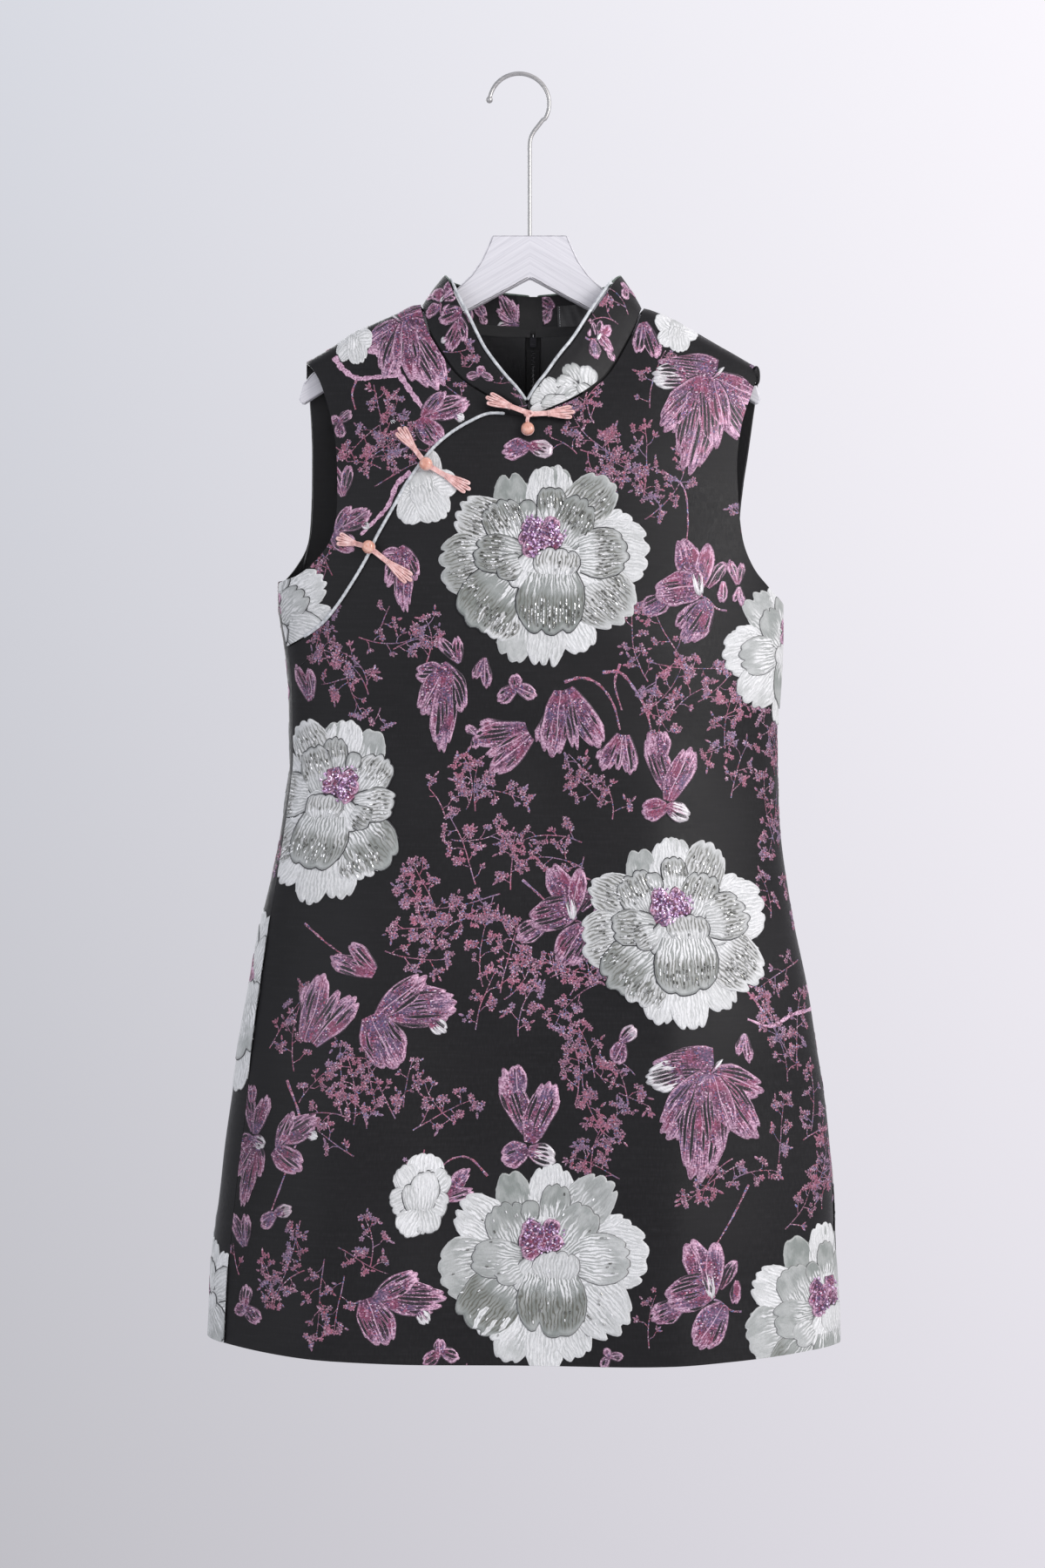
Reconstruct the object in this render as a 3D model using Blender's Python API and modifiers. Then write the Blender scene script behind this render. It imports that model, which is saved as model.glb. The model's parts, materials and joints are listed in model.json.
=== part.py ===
"""Cheongsam dress on a flat wooden hanger.

Sleeveless A-line dress with a stand collar open in a V, a slanted placket with
three knotted-cord frogs, and a concealed zip at centre back.  Metres, +Z up.
The wearer's front faces -Y.  The origin is the inner apex of the hanger's hook,
where a rail carries it.
"""
import bpy
import bmesh
import math
from mathutils import Vector
from mathutils.geometry import delaunay_2d_cdt

# ------------------------------------------------------------------ sizes (m)
CLOTH = 0.0015          # wall of the brocade panels and collar
LINING = 0.0010         # wall of the lining
LINING_GAP = 0.0020     # lining hangs this far inside the panel
SEAM = 0.00030          # gap left between pieces at a seam
ARCH_R = 0.0100         # roundness of the shoulder over the hanger
DROP_H = 0.130          # height over which the cloth falls out to full depth
GRID = 0.031            # spacing of panel points
S_SCALE = 0.235         # metres of cloth for one unit of w
SECTION_N = 2.4         # squareness of the body's cross section

HANGER_T = 0.0110       # hanger board thickness
HANGER_X = 0.0086       # hanger's centre line
WIRE_R = 0.0018         # hook wire radius
HOOK_R = 0.0248         # hook's bend, to the wire's centre
BALL_R = 0.0029         # ball on the hook's end

PIPING_R = 0.0013       # placket and collar piping radius
CB_X = 0.0115           # centre back

# --------------------------------------------------------- body cross sections
# z: height, xc: centre, a: half width, bf: front depth, bb: back depth
RINGS = [
    dict(z=-0.160, xc=0.0115, a=0.2084, bf=0.050, bb=0.036),
    dict(z=-0.290, xc=0.0112, a=0.2084, bf=0.051, bb=0.038),
    dict(z=-0.360, xc=0.0105, a=0.2084, bf=0.056, bb=0.040),
    dict(z=-0.430, xc=0.0093, a=0.2084, bf=0.062, bb=0.041),
    dict(z=-0.470, xc=0.0108, a=0.2056, bf=0.063, bb=0.041),
    dict(z=-0.510, xc=0.0117, a=0.2029, bf=0.062, bb=0.041),
    dict(z=-0.560, xc=0.0117, a=0.2014, bf=0.060, bb=0.042),
    dict(z=-0.620, xc=0.0092, a=0.2061, bf=0.061, bb=0.044),
    dict(z=-0.700, xc=0.0068, a=0.2203, bf=0.064, bb=0.047),
    dict(z=-0.790, xc=0.0071, a=0.2370, bf=0.068, bb=0.051),
    dict(z=-0.900, xc=0.0058, a=0.2515, bf=0.073, bb=0.055),
    dict(z=-0.980, xc=0.0038, a=0.2570, bf=0.076, bb=0.058),
    dict(z=-1.070, xc=0.0038, a=0.2610, bf=0.078, bb=0.060),
]
# soft vertical folds: w runs -1 left side, 0 centre, 1 right side on the front,
# and on the back from 1 at the right side to 2 at centre back (-1 to -2 left)
FOLDS = [
    dict(name="front_right", z0=-0.430, z1=-0.800, w0=0.470, w1=0.453, reach=0.42, rise=0.0130),
    dict(name="front_left", z0=-0.540, z1=-0.860, w0=-0.540, w1=-0.575, reach=0.38, rise=0.0115),
    dict(name="front_mid", z0=-0.600, z1=-0.950, w0=-0.040, w1=-0.030, reach=0.34, rise=-0.0035),
    dict(name="back_left", z0=-0.520, z1=-0.900, w0=-1.480, w1=-1.430, reach=0.34, rise=0.0090),
    dict(name="back_mid", z0=-0.640, z1=-0.950, w0=-1.860, w1=-1.830, reach=0.24, rise=0.0050),
    dict(name="back_right", z0=-0.500, z1=-0.880, w0=1.560, w1=1.520, reach=0.36, rise=0.0085),
]
# top line of the shoulders, left tip to right tip
SHOULDER = [
    dict(x=-0.1761, z=-0.2372), dict(x=-0.1552, z=-0.2252), dict(x=-0.1321, z=-0.2108),
    dict(x=-0.1012, z=-0.1968), dict(x=-0.0815, z=-0.1896), dict(x=0.1024, z=-0.1926),
    dict(x=0.1177, z=-0.1974), dict(x=0.1415, z=-0.2100), dict(x=0.1703, z=-0.2258),
    dict(x=0.1983, z=-0.2426),
]
# armholes: x of the cut edge, down from the shoulder tip to the underarm
ARM_FRONT_L = [
    dict(x=-0.1761, z=-0.2372), dict(x=-0.1652, z=-0.2522), dict(x=-0.1559, z=-0.2799),
    dict(x=-0.1500, z=-0.3090), dict(x=-0.1482, z=-0.3444), dict(x=-0.1500, z=-0.3740),
    dict(x=-0.1577, z=-0.3938), dict(x=-0.1778, z=-0.4131), dict(x=-0.1975, z=-0.4202),
]
ARM_BACK_L = [
    dict(x=-0.1761, z=-0.2372), dict(x=-0.1768, z=-0.2492), dict(x=-0.1750, z=-0.2616),
    dict(x=-0.1733, z=-0.2905), dict(x=-0.1728, z=-0.3140), dict(x=-0.1736, z=-0.3520),
    dict(x=-0.1765, z=-0.3846), dict(x=-0.1855, z=-0.4039), dict(x=-0.1975, z=-0.4202),
]
ARM_FRONT_R = [
    dict(x=0.1983, z=-0.2426), dict(x=0.1900, z=-0.2669), dict(x=0.1825, z=-0.2890),
    dict(x=0.1780, z=-0.3190), dict(x=0.1780, z=-0.3480), dict(x=0.1795, z=-0.3707),
    dict(x=0.1832, z=-0.3919), dict(x=0.1921, z=-0.4107), dict(x=0.2043, z=-0.4245),
    dict(x=0.2170, z=-0.4378),
]
ARM_BACK_R = [
    dict(x=0.1983, z=-0.2426), dict(x=0.1978, z=-0.2562), dict(x=0.1948, z=-0.2784),
    dict(x=0.1908, z=-0.3091), dict(x=0.1866, z=-0.3380), dict(x=0.1840, z=-0.3670),
    dict(x=0.1856, z=-0.3890), dict(x=0.1926, z=-0.4090), dict(x=0.2051, z=-0.4250),
    dict(x=0.2170, z=-0.4378),
]
# neckline: where the collar is sewn on
NECK_FRONT_L = [
    dict(x=-0.0815, z=-0.1896), dict(x=-0.0770, z=-0.2078), dict(x=-0.0695, z=-0.2238),
    dict(x=-0.0517, z=-0.2507), dict(x=-0.0314, z=-0.2665), dict(x=-0.0116, z=-0.2770),
    dict(x=0.0058, z=-0.2868),
]
NECK_FRONT_R = [
    dict(x=0.1024, z=-0.1926), dict(x=0.0970, z=-0.2066), dict(x=0.0899, z=-0.2214),
    dict(x=0.0718, z=-0.2521), dict(x=0.0499, z=-0.2693), dict(x=0.0255, z=-0.2802),
    dict(x=0.0058, z=-0.2868),
]
NECK_BACK_L = [
    dict(x=-0.0815, z=-0.1896), dict(x=-0.0698, z=-0.1990), dict(x=-0.0482, z=-0.2051),
    dict(x=-0.0192, z=-0.2084), dict(x=0.0115, z=-0.2092),
]
NECK_BACK_R = [
    dict(x=0.1024, z=-0.1926), dict(x=0.0929, z=-0.1990), dict(x=0.0749, z=-0.2056),
    dict(x=0.0460, z=-0.2086), dict(x=0.0115, z=-0.2092),
]
# placket: from the neckline at centre front to the left side seam
PLACKET = [
    dict(x=0.0052, z=-0.2872), dict(x=-0.0180, z=-0.2848), dict(x=-0.0286, z=-0.2862),
    dict(x=-0.0393, z=-0.2914), dict(x=-0.0501, z=-0.2976), dict(x=-0.0624, z=-0.3066),
    dict(x=-0.0730, z=-0.3172), dict(x=-0.0837, z=-0.3311), dict(x=-0.0929, z=-0.3448),
    dict(x=-0.1005, z=-0.3587), dict(x=-0.1083, z=-0.3723), dict(x=-0.1160, z=-0.3862),
    dict(x=-0.1222, z=-0.3999), dict(x=-0.1298, z=-0.4136), dict(x=-0.1374, z=-0.4256),
    dict(x=-0.1468, z=-0.4394), dict(x=-0.1595, z=-0.4545), dict(x=-0.1739, z=-0.4648),
    dict(x=-0.1891, z=-0.4730),
]
# side seams, by height: the left one sits forward of the body's widest line
SIDE_L = [
    dict(z=-0.4202, w=-0.945), dict(z=-0.4730, w=-0.925), dict(z=-0.5500, w=-0.925),
    dict(z=-0.6200, w=-0.918), dict(z=-0.7300, w=-0.890), dict(z=-0.8700, w=-0.870),
    dict(z=-1.0600, w=-0.875),
]
SIDE_R = [
    dict(z=-0.4378, w=0.962), dict(z=-0.5200, w=0.970), dict(z=-0.7000, w=0.975),
    dict(z=-1.0600, w=0.968),
]
# hem height across the front and the back
HEM = [
    dict(w=-2.00, z=-1.0470), dict(w=-1.50, z=-1.0450), dict(w=-1.00, z=-1.0390),
    dict(w=-0.90, z=-1.0405), dict(w=-0.60, z=-1.0470), dict(w=-0.20, z=-1.0515),
    dict(w=0.20, z=-1.0520), dict(w=0.60, z=-1.0490), dict(w=0.98, z=-1.0440),
    dict(w=1.50, z=-1.0460), dict(w=2.00, z=-1.0470),
]
# collar: top edge measured from the seam, t = 0 at centre back, 1 at centre front
COLLAR_L = [
    dict(t=0.00, dx=0.0010, dy=-0.0020, dz=0.0300), dict(t=0.15, dx=0.0020, dy=-0.0020, dz=0.0325),
    dict(t=0.30, dx=0.0080, dy=-0.0030, dz=0.0330), dict(t=0.45, dx=0.0236, dy=-0.0020, dz=0.0238),
    dict(t=0.58, dx=0.0268, dy=-0.0030, dz=0.0225), dict(t=0.72, dx=0.0262, dy=-0.0040, dz=0.0155),
    dict(t=0.86, dx=0.0172, dy=-0.0035, dz=0.0122), dict(t=0.95, dx=0.0090, dy=-0.0025, dz=0.0080),
    dict(t=1.00, dx=0.0030, dy=-0.0020, dz=0.0060),
]
COLLAR_R = [
    dict(t=0.00, dx=-0.0010, dy=-0.0020, dz=0.0300), dict(t=0.15, dx=-0.0020, dy=-0.0020, dz=0.0325),
    dict(t=0.30, dx=-0.0080, dy=-0.0030, dz=0.0330), dict(t=0.44, dx=-0.0240, dy=-0.0020, dz=0.0270),
    dict(t=0.57, dx=-0.0278, dy=-0.0030, dz=0.0290), dict(t=0.72, dx=-0.0300, dy=-0.0040, dz=0.0260),
    dict(t=0.86, dx=-0.0205, dy=-0.0035, dz=0.0185), dict(t=0.95, dx=-0.0100, dy=-0.0025, dz=0.0105),
    dict(t=1.00, dx=-0.0010, dy=-0.0020, dz=0.0060),
]
# hanger board: right half outline, d from the centre line
HANGER = [
    dict(d=0.0313, z=-0.1332), dict(d=0.0345, z=-0.1412), dict(d=0.0400, z=-0.1534),
    dict(d=0.0485, z=-0.1655), dict(d=0.0600, z=-0.1765), dict(d=0.0780, z=-0.1870),
    dict(d=0.0901, z=-0.1976), dict(d=0.1136, z=-0.2062), dict(d=0.1407, z=-0.2200),
    dict(d=0.1650, z=-0.2345), dict(d=0.1800, z=-0.2468), dict(d=0.1868, z=-0.2550),
    dict(d=0.1905, z=-0.2680), dict(d=0.1888, z=-0.2712), dict(d=0.1860, z=-0.2714),
    dict(d=0.1690, z=-0.2604), dict(d=0.1100, z=-0.2270), dict(d=0.0520, z=-0.1955),
    dict(d=0.0040, z=-0.1698), dict(d=0.0000, z=-0.1678),
]
# S-bend from the hook's round part down to the straight shank
HOOK_NECK = [
    dict(x=0.0191, z=-0.0367), dict(x=0.0152, z=-0.0418), dict(x=0.0116, z=-0.0465),
    dict(x=0.0092, z=-0.0515), dict(x=0.0084, z=-0.0570), dict(x=0.0084, z=-0.0640),
]
# frogs: bead, and the two wings' far ends; lift clears the piping near the bead
FROGS = [
    dict(n=1, bx=0.0067, bz=-0.2985, kx=0.0074, kz=-0.2868, lx=-0.0258, lz=-0.2742, rx=0.0433, rz=-0.2852, off_l=0.0064, off_r=0.0040),
    dict(n=2, bx=-0.0751, bz=-0.3272, kx=-0.0751, kz=-0.3272, lx=-0.0973, lz=-0.2975, rx=-0.0408, rz=-0.3470, off_l=0.0010, off_r=0.0010),
    dict(n=3, bx=-0.1209, bz=-0.3943, kx=-0.1209, kz=-0.3943, lx=-0.1472, lz=-0.3862, rx=-0.0878, rz=-0.4208, off_l=0.0010, off_r=0.0010),
]
# half width of a frog's wing along its length (0 at the bead, 1 at the far end)
WING = [
    dict(f=0.00, half=0.0022), dict(f=0.25, half=0.0022), dict(f=0.55, half=0.0023),
    dict(f=0.70, half=0.0032), dict(f=0.86, half=0.0052), dict(f=0.95, half=0.0058),
    dict(f=1.00, half=0.0044),
]
WING_T = 0.0020

ZIP_TOP = -0.2240       # top of the closed coil
ZIP_END = -0.6600       # bottom stop
ZIP_HALF = 0.0055       # half width of the two tapes
PULL_BAR_Z = -0.2160    # the pull tab's bar, its hinge
PULL_LEN = 0.0220
PULL_HALF = 0.0022


# ------------------------------------------------------------------ scene setup
for obj in list(bpy.data.objects):
    bpy.data.objects.remove(obj, do_unlink=True)

parts = bpy.data.collections.new("cheongsam_dress_on_hanger")
cutters = bpy.data.collections.new("cutters")
bpy.context.scene.collection.children.link(parts)
bpy.context.scene.collection.children.link(cutters)


def material(name, color, roughness, metallic=0.0):
    mat = bpy.data.materials.new(name)
    mat.use_nodes = True
    bsdf = mat.node_tree.nodes["Principled BSDF"]
    bsdf.inputs["Base Color"].default_value = (*color, 1.0)
    bsdf.inputs["Roughness"].default_value = roughness
    bsdf.inputs["Metallic"].default_value = metallic
    return mat


BROCADE = ((0.030, 0.029, 0.033), 0.55)
SATIN = ((0.012, 0.012, 0.013), 0.40)
PIPING = ((0.52, 0.55, 0.58), 0.45)
CORD = ((0.80, 0.42, 0.37), 0.40)


# -------------------------------------------------------------- table readers
def read(rows, key, col, at):
    """Smooth monotone reading of a table column, held flat past its ends."""
    n = len(rows)
    xs = [r[key] for r in rows]
    ys = [r[col] for r in rows]
    if xs[0] > xs[-1]:
        xs.reverse()
        ys.reverse()
    if at <= xs[0]:
        return ys[0]
    if at >= xs[-1]:
        return ys[-1]
    i = 0
    while at > xs[i + 1]:
        i += 1
    slope = [(ys[k + 1] - ys[k]) / (xs[k + 1] - xs[k]) for k in range(n - 1)]

    def tangent(k):
        if k == 0:
            return slope[0]
        if k == n - 1:
            return slope[-1]
        if slope[k - 1] * slope[k] <= 0:
            return 0.0
        h0, h1 = xs[k] - xs[k - 1], xs[k + 1] - xs[k]
        w0, w1 = 2 * h1 + h0, h1 + 2 * h0
        return (w0 + w1) / (w0 / slope[k - 1] + w1 / slope[k])

    h = xs[i + 1] - xs[i]
    t = (at - xs[i]) / h
    m0, m1 = tangent(i) * h, tangent(i + 1) * h
    return ((2 * t**3 - 3 * t**2 + 1) * ys[i] + (t**3 - 2 * t**2 + t) * m0
            + (-2 * t**3 + 3 * t**2) * ys[i + 1] + (t**3 - t**2) * m1)


def path(rows, step):
    """Points along a table's (x, z) curve, smooth, about step apart."""
    pts = [Vector((r["x"], r["z"])) for r in rows]
    out = [pts[0]]
    for i in range(len(pts) - 1):
        p0 = pts[i - 1] if i else pts[i] * 2 - pts[i + 1]
        p1, p2 = pts[i], pts[i + 1]
        p3 = pts[i + 2] if i + 2 < len(pts) else pts[i + 1] * 2 - pts[i]
        k = max(1, round((p2 - p1).length / step))
        for j in range(1, k + 1):
            t = j / k
            out.append(0.5 * (2 * p1 + (p2 - p0) * t + (2 * p0 - 5 * p1 + 4 * p2 - p3) * t * t
                              + (3 * p1 - p0 - 3 * p2 + p3) * t**3))
    return out


# ------------------------------------------------------------- the body's form
def make_section(n, aspect, steps=900):
    xs, ys, length = [0.0], [1.0], [0.0]
    for i in range(1, steps + 1):
        a = 0.5 * math.pi * i / steps
        x, y = math.sin(a) ** (2 / n), max(0.0, math.cos(a)) ** (2 / n)
        length.append(length[-1] + math.hypot(x - xs[-1], (y - ys[-1]) * aspect))
        xs.append(x)
        ys.append(y)
    return xs, ys, [v / length[-1] for v in length]


SEC_X, SEC_Y, SEC_U = make_section(SECTION_N, 0.27)


def lookup(table, values, at):
    lo, hi = 0, len(table) - 1
    while hi - lo > 1:
        mid = (lo + hi) // 2
        if table[mid] <= at:
            lo = mid
        else:
            hi = mid
    span = table[hi] - table[lo]
    t = 0.0 if span == 0 else min(1.0, max(0.0, (at - table[lo]) / span))
    return values[lo] + (values[hi] - values[lo]) * t


def section(w):
    a = abs(w)
    q = 2.0 - a if a > 1.0 else a
    x = lookup(SEC_U, SEC_X, q)
    y = lookup(SEC_U, SEC_Y, q)
    return math.copysign(x, w), (y if a > 1.0 else -y)


def ring(z, col):
    return read(RINGS, "z", col, z)


def fold(w, z):
    out = 0.0
    for f in FOLDS:
        g = min(1.0, max(0.0, (f["z0"] - z) / (f["z0"] - f["z1"])))
        if g <= 0:
            continue
        g = g * g * (3 - 2 * g)
        wc = f["w0"] + (f["w1"] - f["w0"]) * g
        d = abs(w - wc) / f["reach"]
        if d < 1:
            e = 0.14
            s = 1 - (math.sqrt(d * d + e * e) - e) / (math.sqrt(1 + e * e) - e)
            out += f["rise"] * g * s ** 1.5
    return out


def body(w, z):
    """Outer face of the dress at w around it and height z."""
    sx, sy = section(w)
    x = ring(z, "xc") + ring(z, "a") * sx
    t = max(0.0, read(SHOULDER, "x", "z", x) - z)
    r = min(t / ARCH_R, 1.0)
    arch = ARCH_R * math.sqrt(max(0.0, 1 - (1 - r) ** 2))
    q = min(t / DROP_H, 1.0)
    side = abs(sy)
    if sy < 0:
        ramp = 1 - (1 - q) ** 1.7
        depth = side * ring(z, "bf") + fold(w, z) * min(1.0, side * 1.6)
    else:
        ramp = 1 - (1 - q) ** 1.8
        depth = side * ring(z, "bb") + fold(w, z) * min(1.0, side * 1.6)
    out = depth * ramp + arch * (1 - ramp)
    return Vector((x, math.copysign(out, sy), z))


def body_normal(w, z):
    e, d = 2e-4, 2e-6
    zt = z - d
    a = body(w + e, zt) - body(w - e, zt)
    b = body(w, zt - d) - body(w, zt + d)
    n = b.cross(a)
    n.normalize()
    return n


def w_front(x, z):
    q = (x - ring(z, "xc")) / ring(z, "a")
    return math.copysign(lookup(SEC_X, SEC_U, min(1.0, abs(q))), q)


def w_back(x, z):
    w = w_front(x, z)
    return math.copysign(2.0 - abs(w), w)


def to_w(points, reader):
    return [(reader(p.x, p.y), p.y) for p in points]


# ---------------------------------------------------------------- mesh makers
def add_object(name, verts, faces, mat, smooth=True, angle=50):
    mesh = bpy.data.meshes.new(name)
    mesh.from_pydata([tuple(v) for v in verts], [], faces)
    bm = bmesh.new()
    bm.from_mesh(mesh)
    bmesh.ops.recalc_face_normals(bm, faces=bm.faces)
    bm.to_mesh(mesh)
    bm.free()
    if smooth:
        mesh.shade_smooth()
        mesh.set_sharp_from_angle(angle=math.radians(angle))
    obj = bpy.data.objects.new(name, mesh)
    mesh.materials.append(mat)
    parts.objects.link(obj)
    return obj


def inside(poly, p):
    hit = False
    n = len(poly)
    for i in range(n):
        a, b = poly[i], poly[(i + 1) % n]
        if (a[1] > p[1]) != (b[1] > p[1]):
            if p[0] < a[0] + (p[1] - a[1]) * (b[0] - a[0]) / (b[1] - a[1]):
                hit = not hit
    return hit


def edge_distance(poly, p):
    best = 1e9
    n = len(poly)
    for i in range(n):
        ax, ay = poly[i]
        bx, by = poly[(i + 1) % n]
        dx, dy = bx - ax, by - ay
        t = ((p[0] - ax) * dx + (p[1] - ay) * dy) / max(1e-12, dx * dx + dy * dy)
        t = min(1.0, max(0.0, t))
        best = min(best, math.hypot(ax + dx * t - p[0], ay + dy * t - p[1]))
    return best


def triangulate(outline, points, clear):
    """Triangles of a flat outline, with extra points kept clear of its edge."""
    flat = [tuple(p) for p in outline]
    extra = [p for p in points if inside(flat, p) and edge_distance(flat, p) > clear]
    verts = [Vector(p) for p in flat + extra]
    out = delaunay_2d_cdt(verts, [], [list(range(len(flat)))], 1, 1e-7)
    return [tuple(v) for v in out[0]], [list(f) for f in out[2]]


def shell(name, flat, faces, face_at, normal_at, thickness, mat, push=0.0):
    """A closed wall: the outer face, the inner face and the rim between them."""
    outer = [face_at(*p) - normal_at(*p) * push for p in flat]
    inner = [face_at(*p) - normal_at(*p) * (push + thickness) for p in flat]
    n = len(flat)
    edges = {}
    for f in faces:
        for i in range(len(f)):
            a, b = f[i], f[(i + 1) % len(f)]
            if (b, a) in edges:
                del edges[(b, a)]
            else:
                edges[(a, b)] = True
    tris = [list(f) for f in faces] + [[i + n for i in reversed(f)] for f in faces]
    for a, b in edges:
        tris.append([b, a, a + n, b + n])
    return add_object(name, outer + inner, tris, mat)


def grid_points(w0, w1, spacing=GRID, z0=-0.19, z1=-1.06):
    """Rows of points, closer where the body turns at its sides."""
    cols = []
    for side in (-1, 1):
        for base in (0.0, 2.0):
            k = 0.0
            step = spacing / S_SCALE
            while k < 0.86:
                cols.append(side * abs(base - k))
                k += step
            cols += [side * abs(base - v) for v in (0.905, 0.965)]
        cols.append(side * 1.0)
    rows = []
    z = z0
    while z > z1:
        rows.append(z)
        z -= spacing
    pts = []
    for i, z in enumerate(rows):
        for w in cols:
            if w0 < w < w1:
                pts.append((w * S_SCALE, z))
    return pts


def shoulder_points(x0, x1, reader, depths):
    """Extra rows just under the shoulder line, where the cloth arches over."""
    pts = []
    n = max(2, round((x1 - x0) / 0.024))
    for i in range(n + 1):
        x = x0 + (x1 - x0) * i / n
        for d in depths:
            z = read(SHOULDER, "x", "z", x) - d
            pts.append((reader(x, z) * S_SCALE, z))
    return pts


ARCH_ROWS = (0.0008, 0.0030, 0.0062, 0.0105)


def panel(name, outline, w0, w1, mat, extra=(), thickness=CLOTH, push=0.0, spacing=GRID, clear=0.42):
    flat = [(w * S_SCALE, z) for w, z in outline]
    points = [p for p in grid_points(w0, w1, spacing)]
    near = []
    for p in extra:
        near.append(p)
    kept = [p for p in points
            if all(math.hypot(p[0] - q[0], p[1] - q[1]) > spacing * 0.45 for q in near)]
    flat_in = [tuple(p) for p in flat]
    inner = [p for p in kept if inside(flat_in, p) and edge_distance(flat_in, p) > spacing * clear]
    inner += [p for p in near if inside(flat_in, p) and edge_distance(flat_in, p) > 0.0004]
    verts = [Vector(p) for p in flat_in + inner]
    out = delaunay_2d_cdt(verts, [], [list(range(len(flat_in)))], 1, 1e-7)
    pts = [(v[0] / S_SCALE, v[1]) for v in out[0]]
    faces = [list(f) for f in out[2]]
    return shell(name, pts, faces, body, body_normal, thickness, mat, push)


def shift(points, dw=0.0, dz=0.0):
    return [(w + dw, z + dz) for w, z in points]


def inset(points, distance, closed=False):
    """Move a flat (w, z) line sideways, to its left, by a distance of cloth."""
    out = []
    n = len(points)
    for i in range(n):
        a = points[max(0, i - 1)]
        b = points[min(n - 1, i + 1)]
        dx, dz = (b[0] - a[0]) * S_SCALE, b[1] - a[1]
        ln = math.hypot(dx, dz) or 1.0
        out.append((points[i][0] - dz / ln * distance / S_SCALE, points[i][1] + dx / ln * distance))
    return out


# ----------------------------------------------------------- panel outline parts
def side_line(rows, z_top, z_bottom, step=0.030):
    """Side seam from top to bottom as (w, z)."""
    n = max(1, round((z_top - z_bottom) / step))
    out = []
    for i in range(n + 1):
        z = z_top + (z_bottom - z_top) * i / n
        out.append((read(rows, "z", "w", z), z))
    return out


def hem_line(w0, w1, lift=0.0, step=0.026):
    n = max(1, round(abs(w1 - w0) * S_SCALE / step))
    out = []
    for i in range(n + 1):
        w = w0 + (w1 - w0) * i / n
        out.append((w, read(HEM, "w", "z", w) + lift))
    return out


def shoulder_line(x0, x1, reader, drop=0.0, step=0.022):
    n = max(2, round(abs(x1 - x0) / step))
    out = []
    for i in range(n + 1):
        x = x0 + (x1 - x0) * i / n
        z = read(SHOULDER, "x", "z", x) - drop
        out.append((reader(x, z), z))
    return out


HALF = SEAM / 2
W_GAP = HALF / S_SCALE
HEM_L = read(HEM, "w", "z", -0.875)
HEM_R = read(HEM, "w", "z", 0.968)

side_left_hi = side_line(SIDE_L, -0.4202, -0.4730, 0.018)
side_left_lo = side_line(SIDE_L, -0.4730, HEM_L)
side_right = side_line(SIDE_R, -0.4378, HEM_R)
hem_front = hem_line(side_left_lo[-1][0], side_right[-1][0])
placket = to_w(path(PLACKET, 0.014), w_front)
placket[-1] = side_left_lo[0]
arm_fl = to_w(path(ARM_FRONT_L, 0.014), w_front)
arm_fl[-1] = side_left_hi[0]
arm_fr = to_w(path(ARM_FRONT_R, 0.014), w_front)
arm_fr[-1] = side_right[0]
neck_fl = to_w(path(NECK_FRONT_L, 0.012), w_front)
neck_fr = to_w(path(NECK_FRONT_R, 0.012), w_front)
top_fl = shoulder_line(-0.0815, -0.1761, w_front)
top_fr = shoulder_line(0.1024, 0.1983, w_front)

mat_brocade = material("brocade", *BROCADE)

# front_main, anticlockwise seen from the front: hem left to right, up the right
# side, armhole, shoulder, neckline, placket back to the left side, down it
front_main_outline = (
    shift(hem_front[:-1], 0, 0)
    + shift(list(reversed(side_right))[:-1], -W_GAP, 0)
    + list(reversed(arm_fr))[:-1]
    + shift(list(reversed(top_fr))[:-1], 0, -0.0000012)
    + inset(neck_fr, 0.0004)[:-1]
    + inset(placket, HALF)[:-1]
    + shift(side_left_lo[:-1], W_GAP, 0)
)
# keep the two lower corners on the seam gap
front_main_outline[0] = (front_main_outline[0][0] + W_GAP, front_main_outline[0][1])
arch_fr = shoulder_points(0.1060, 0.1960, w_front, ARCH_ROWS)
panel("front_main", front_main_outline, -0.97, 0.985, mat_brocade, arch_fr)

# front_shoulder: neckline left, shoulder, armhole, side seam down to the placket
front_shoulder_outline = (
    inset(list(reversed(placket)), HALF)[:-1]
    + inset(list(reversed(neck_fl)), 0.0004)[:-1]
    + shift(top_fl[:-1], 0, -0.0000012)
    + arm_fl[:-1]
    + shift(side_left_hi[:-1], W_GAP, 0)
)
arch_fl = shoulder_points(-0.1740, -0.0850, w_front, ARCH_ROWS)
panel("front_shoulder", front_shoulder_outline, -0.97, 0.2, material("brocade_shoulder", *BROCADE), arch_fl, spacing=0.027)

# ------------------------------------------------------------------- back panels
arm_bl = to_w(path(ARM_BACK_L, 0.014), w_back)
arm_bl[-1] = side_left_hi[0]
arm_br = to_w(path(ARM_BACK_R, 0.014), w_back)
arm_br[-1] = side_right[0]
neck_bl = to_w(path(NECK_BACK_L, 0.014), w_back)
neck_br = to_w(path(NECK_BACK_R, 0.014), w_back)
top_bl = shoulder_line(-0.0815, -0.1761, w_back)
top_br = shoulder_line(0.1024, 0.1983, w_back)


def centre_back(sign, half_low, half_top, z_top, z_bottom):
    """Centre-back edge: a seam gap below the slider, a small notch at the top."""
    rows = [dict(z=z_top, h=half_top), dict(z=-0.2215, h=half_top), dict(z=-0.2245, h=half_low),
            dict(z=-1.10, h=half_low)]
    zs = [z_top, -0.2215, -0.2245]
    z = -0.2500
    while z > z_bottom + 0.015:
        zs.append(z)
        z -= GRID
    zs.append(z_bottom)
    out = []
    for z in zs:
        h = read(rows, "z", "h", z)
        out.append((sign * (2.0 - h / S_SCALE), z))
    return out


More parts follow.
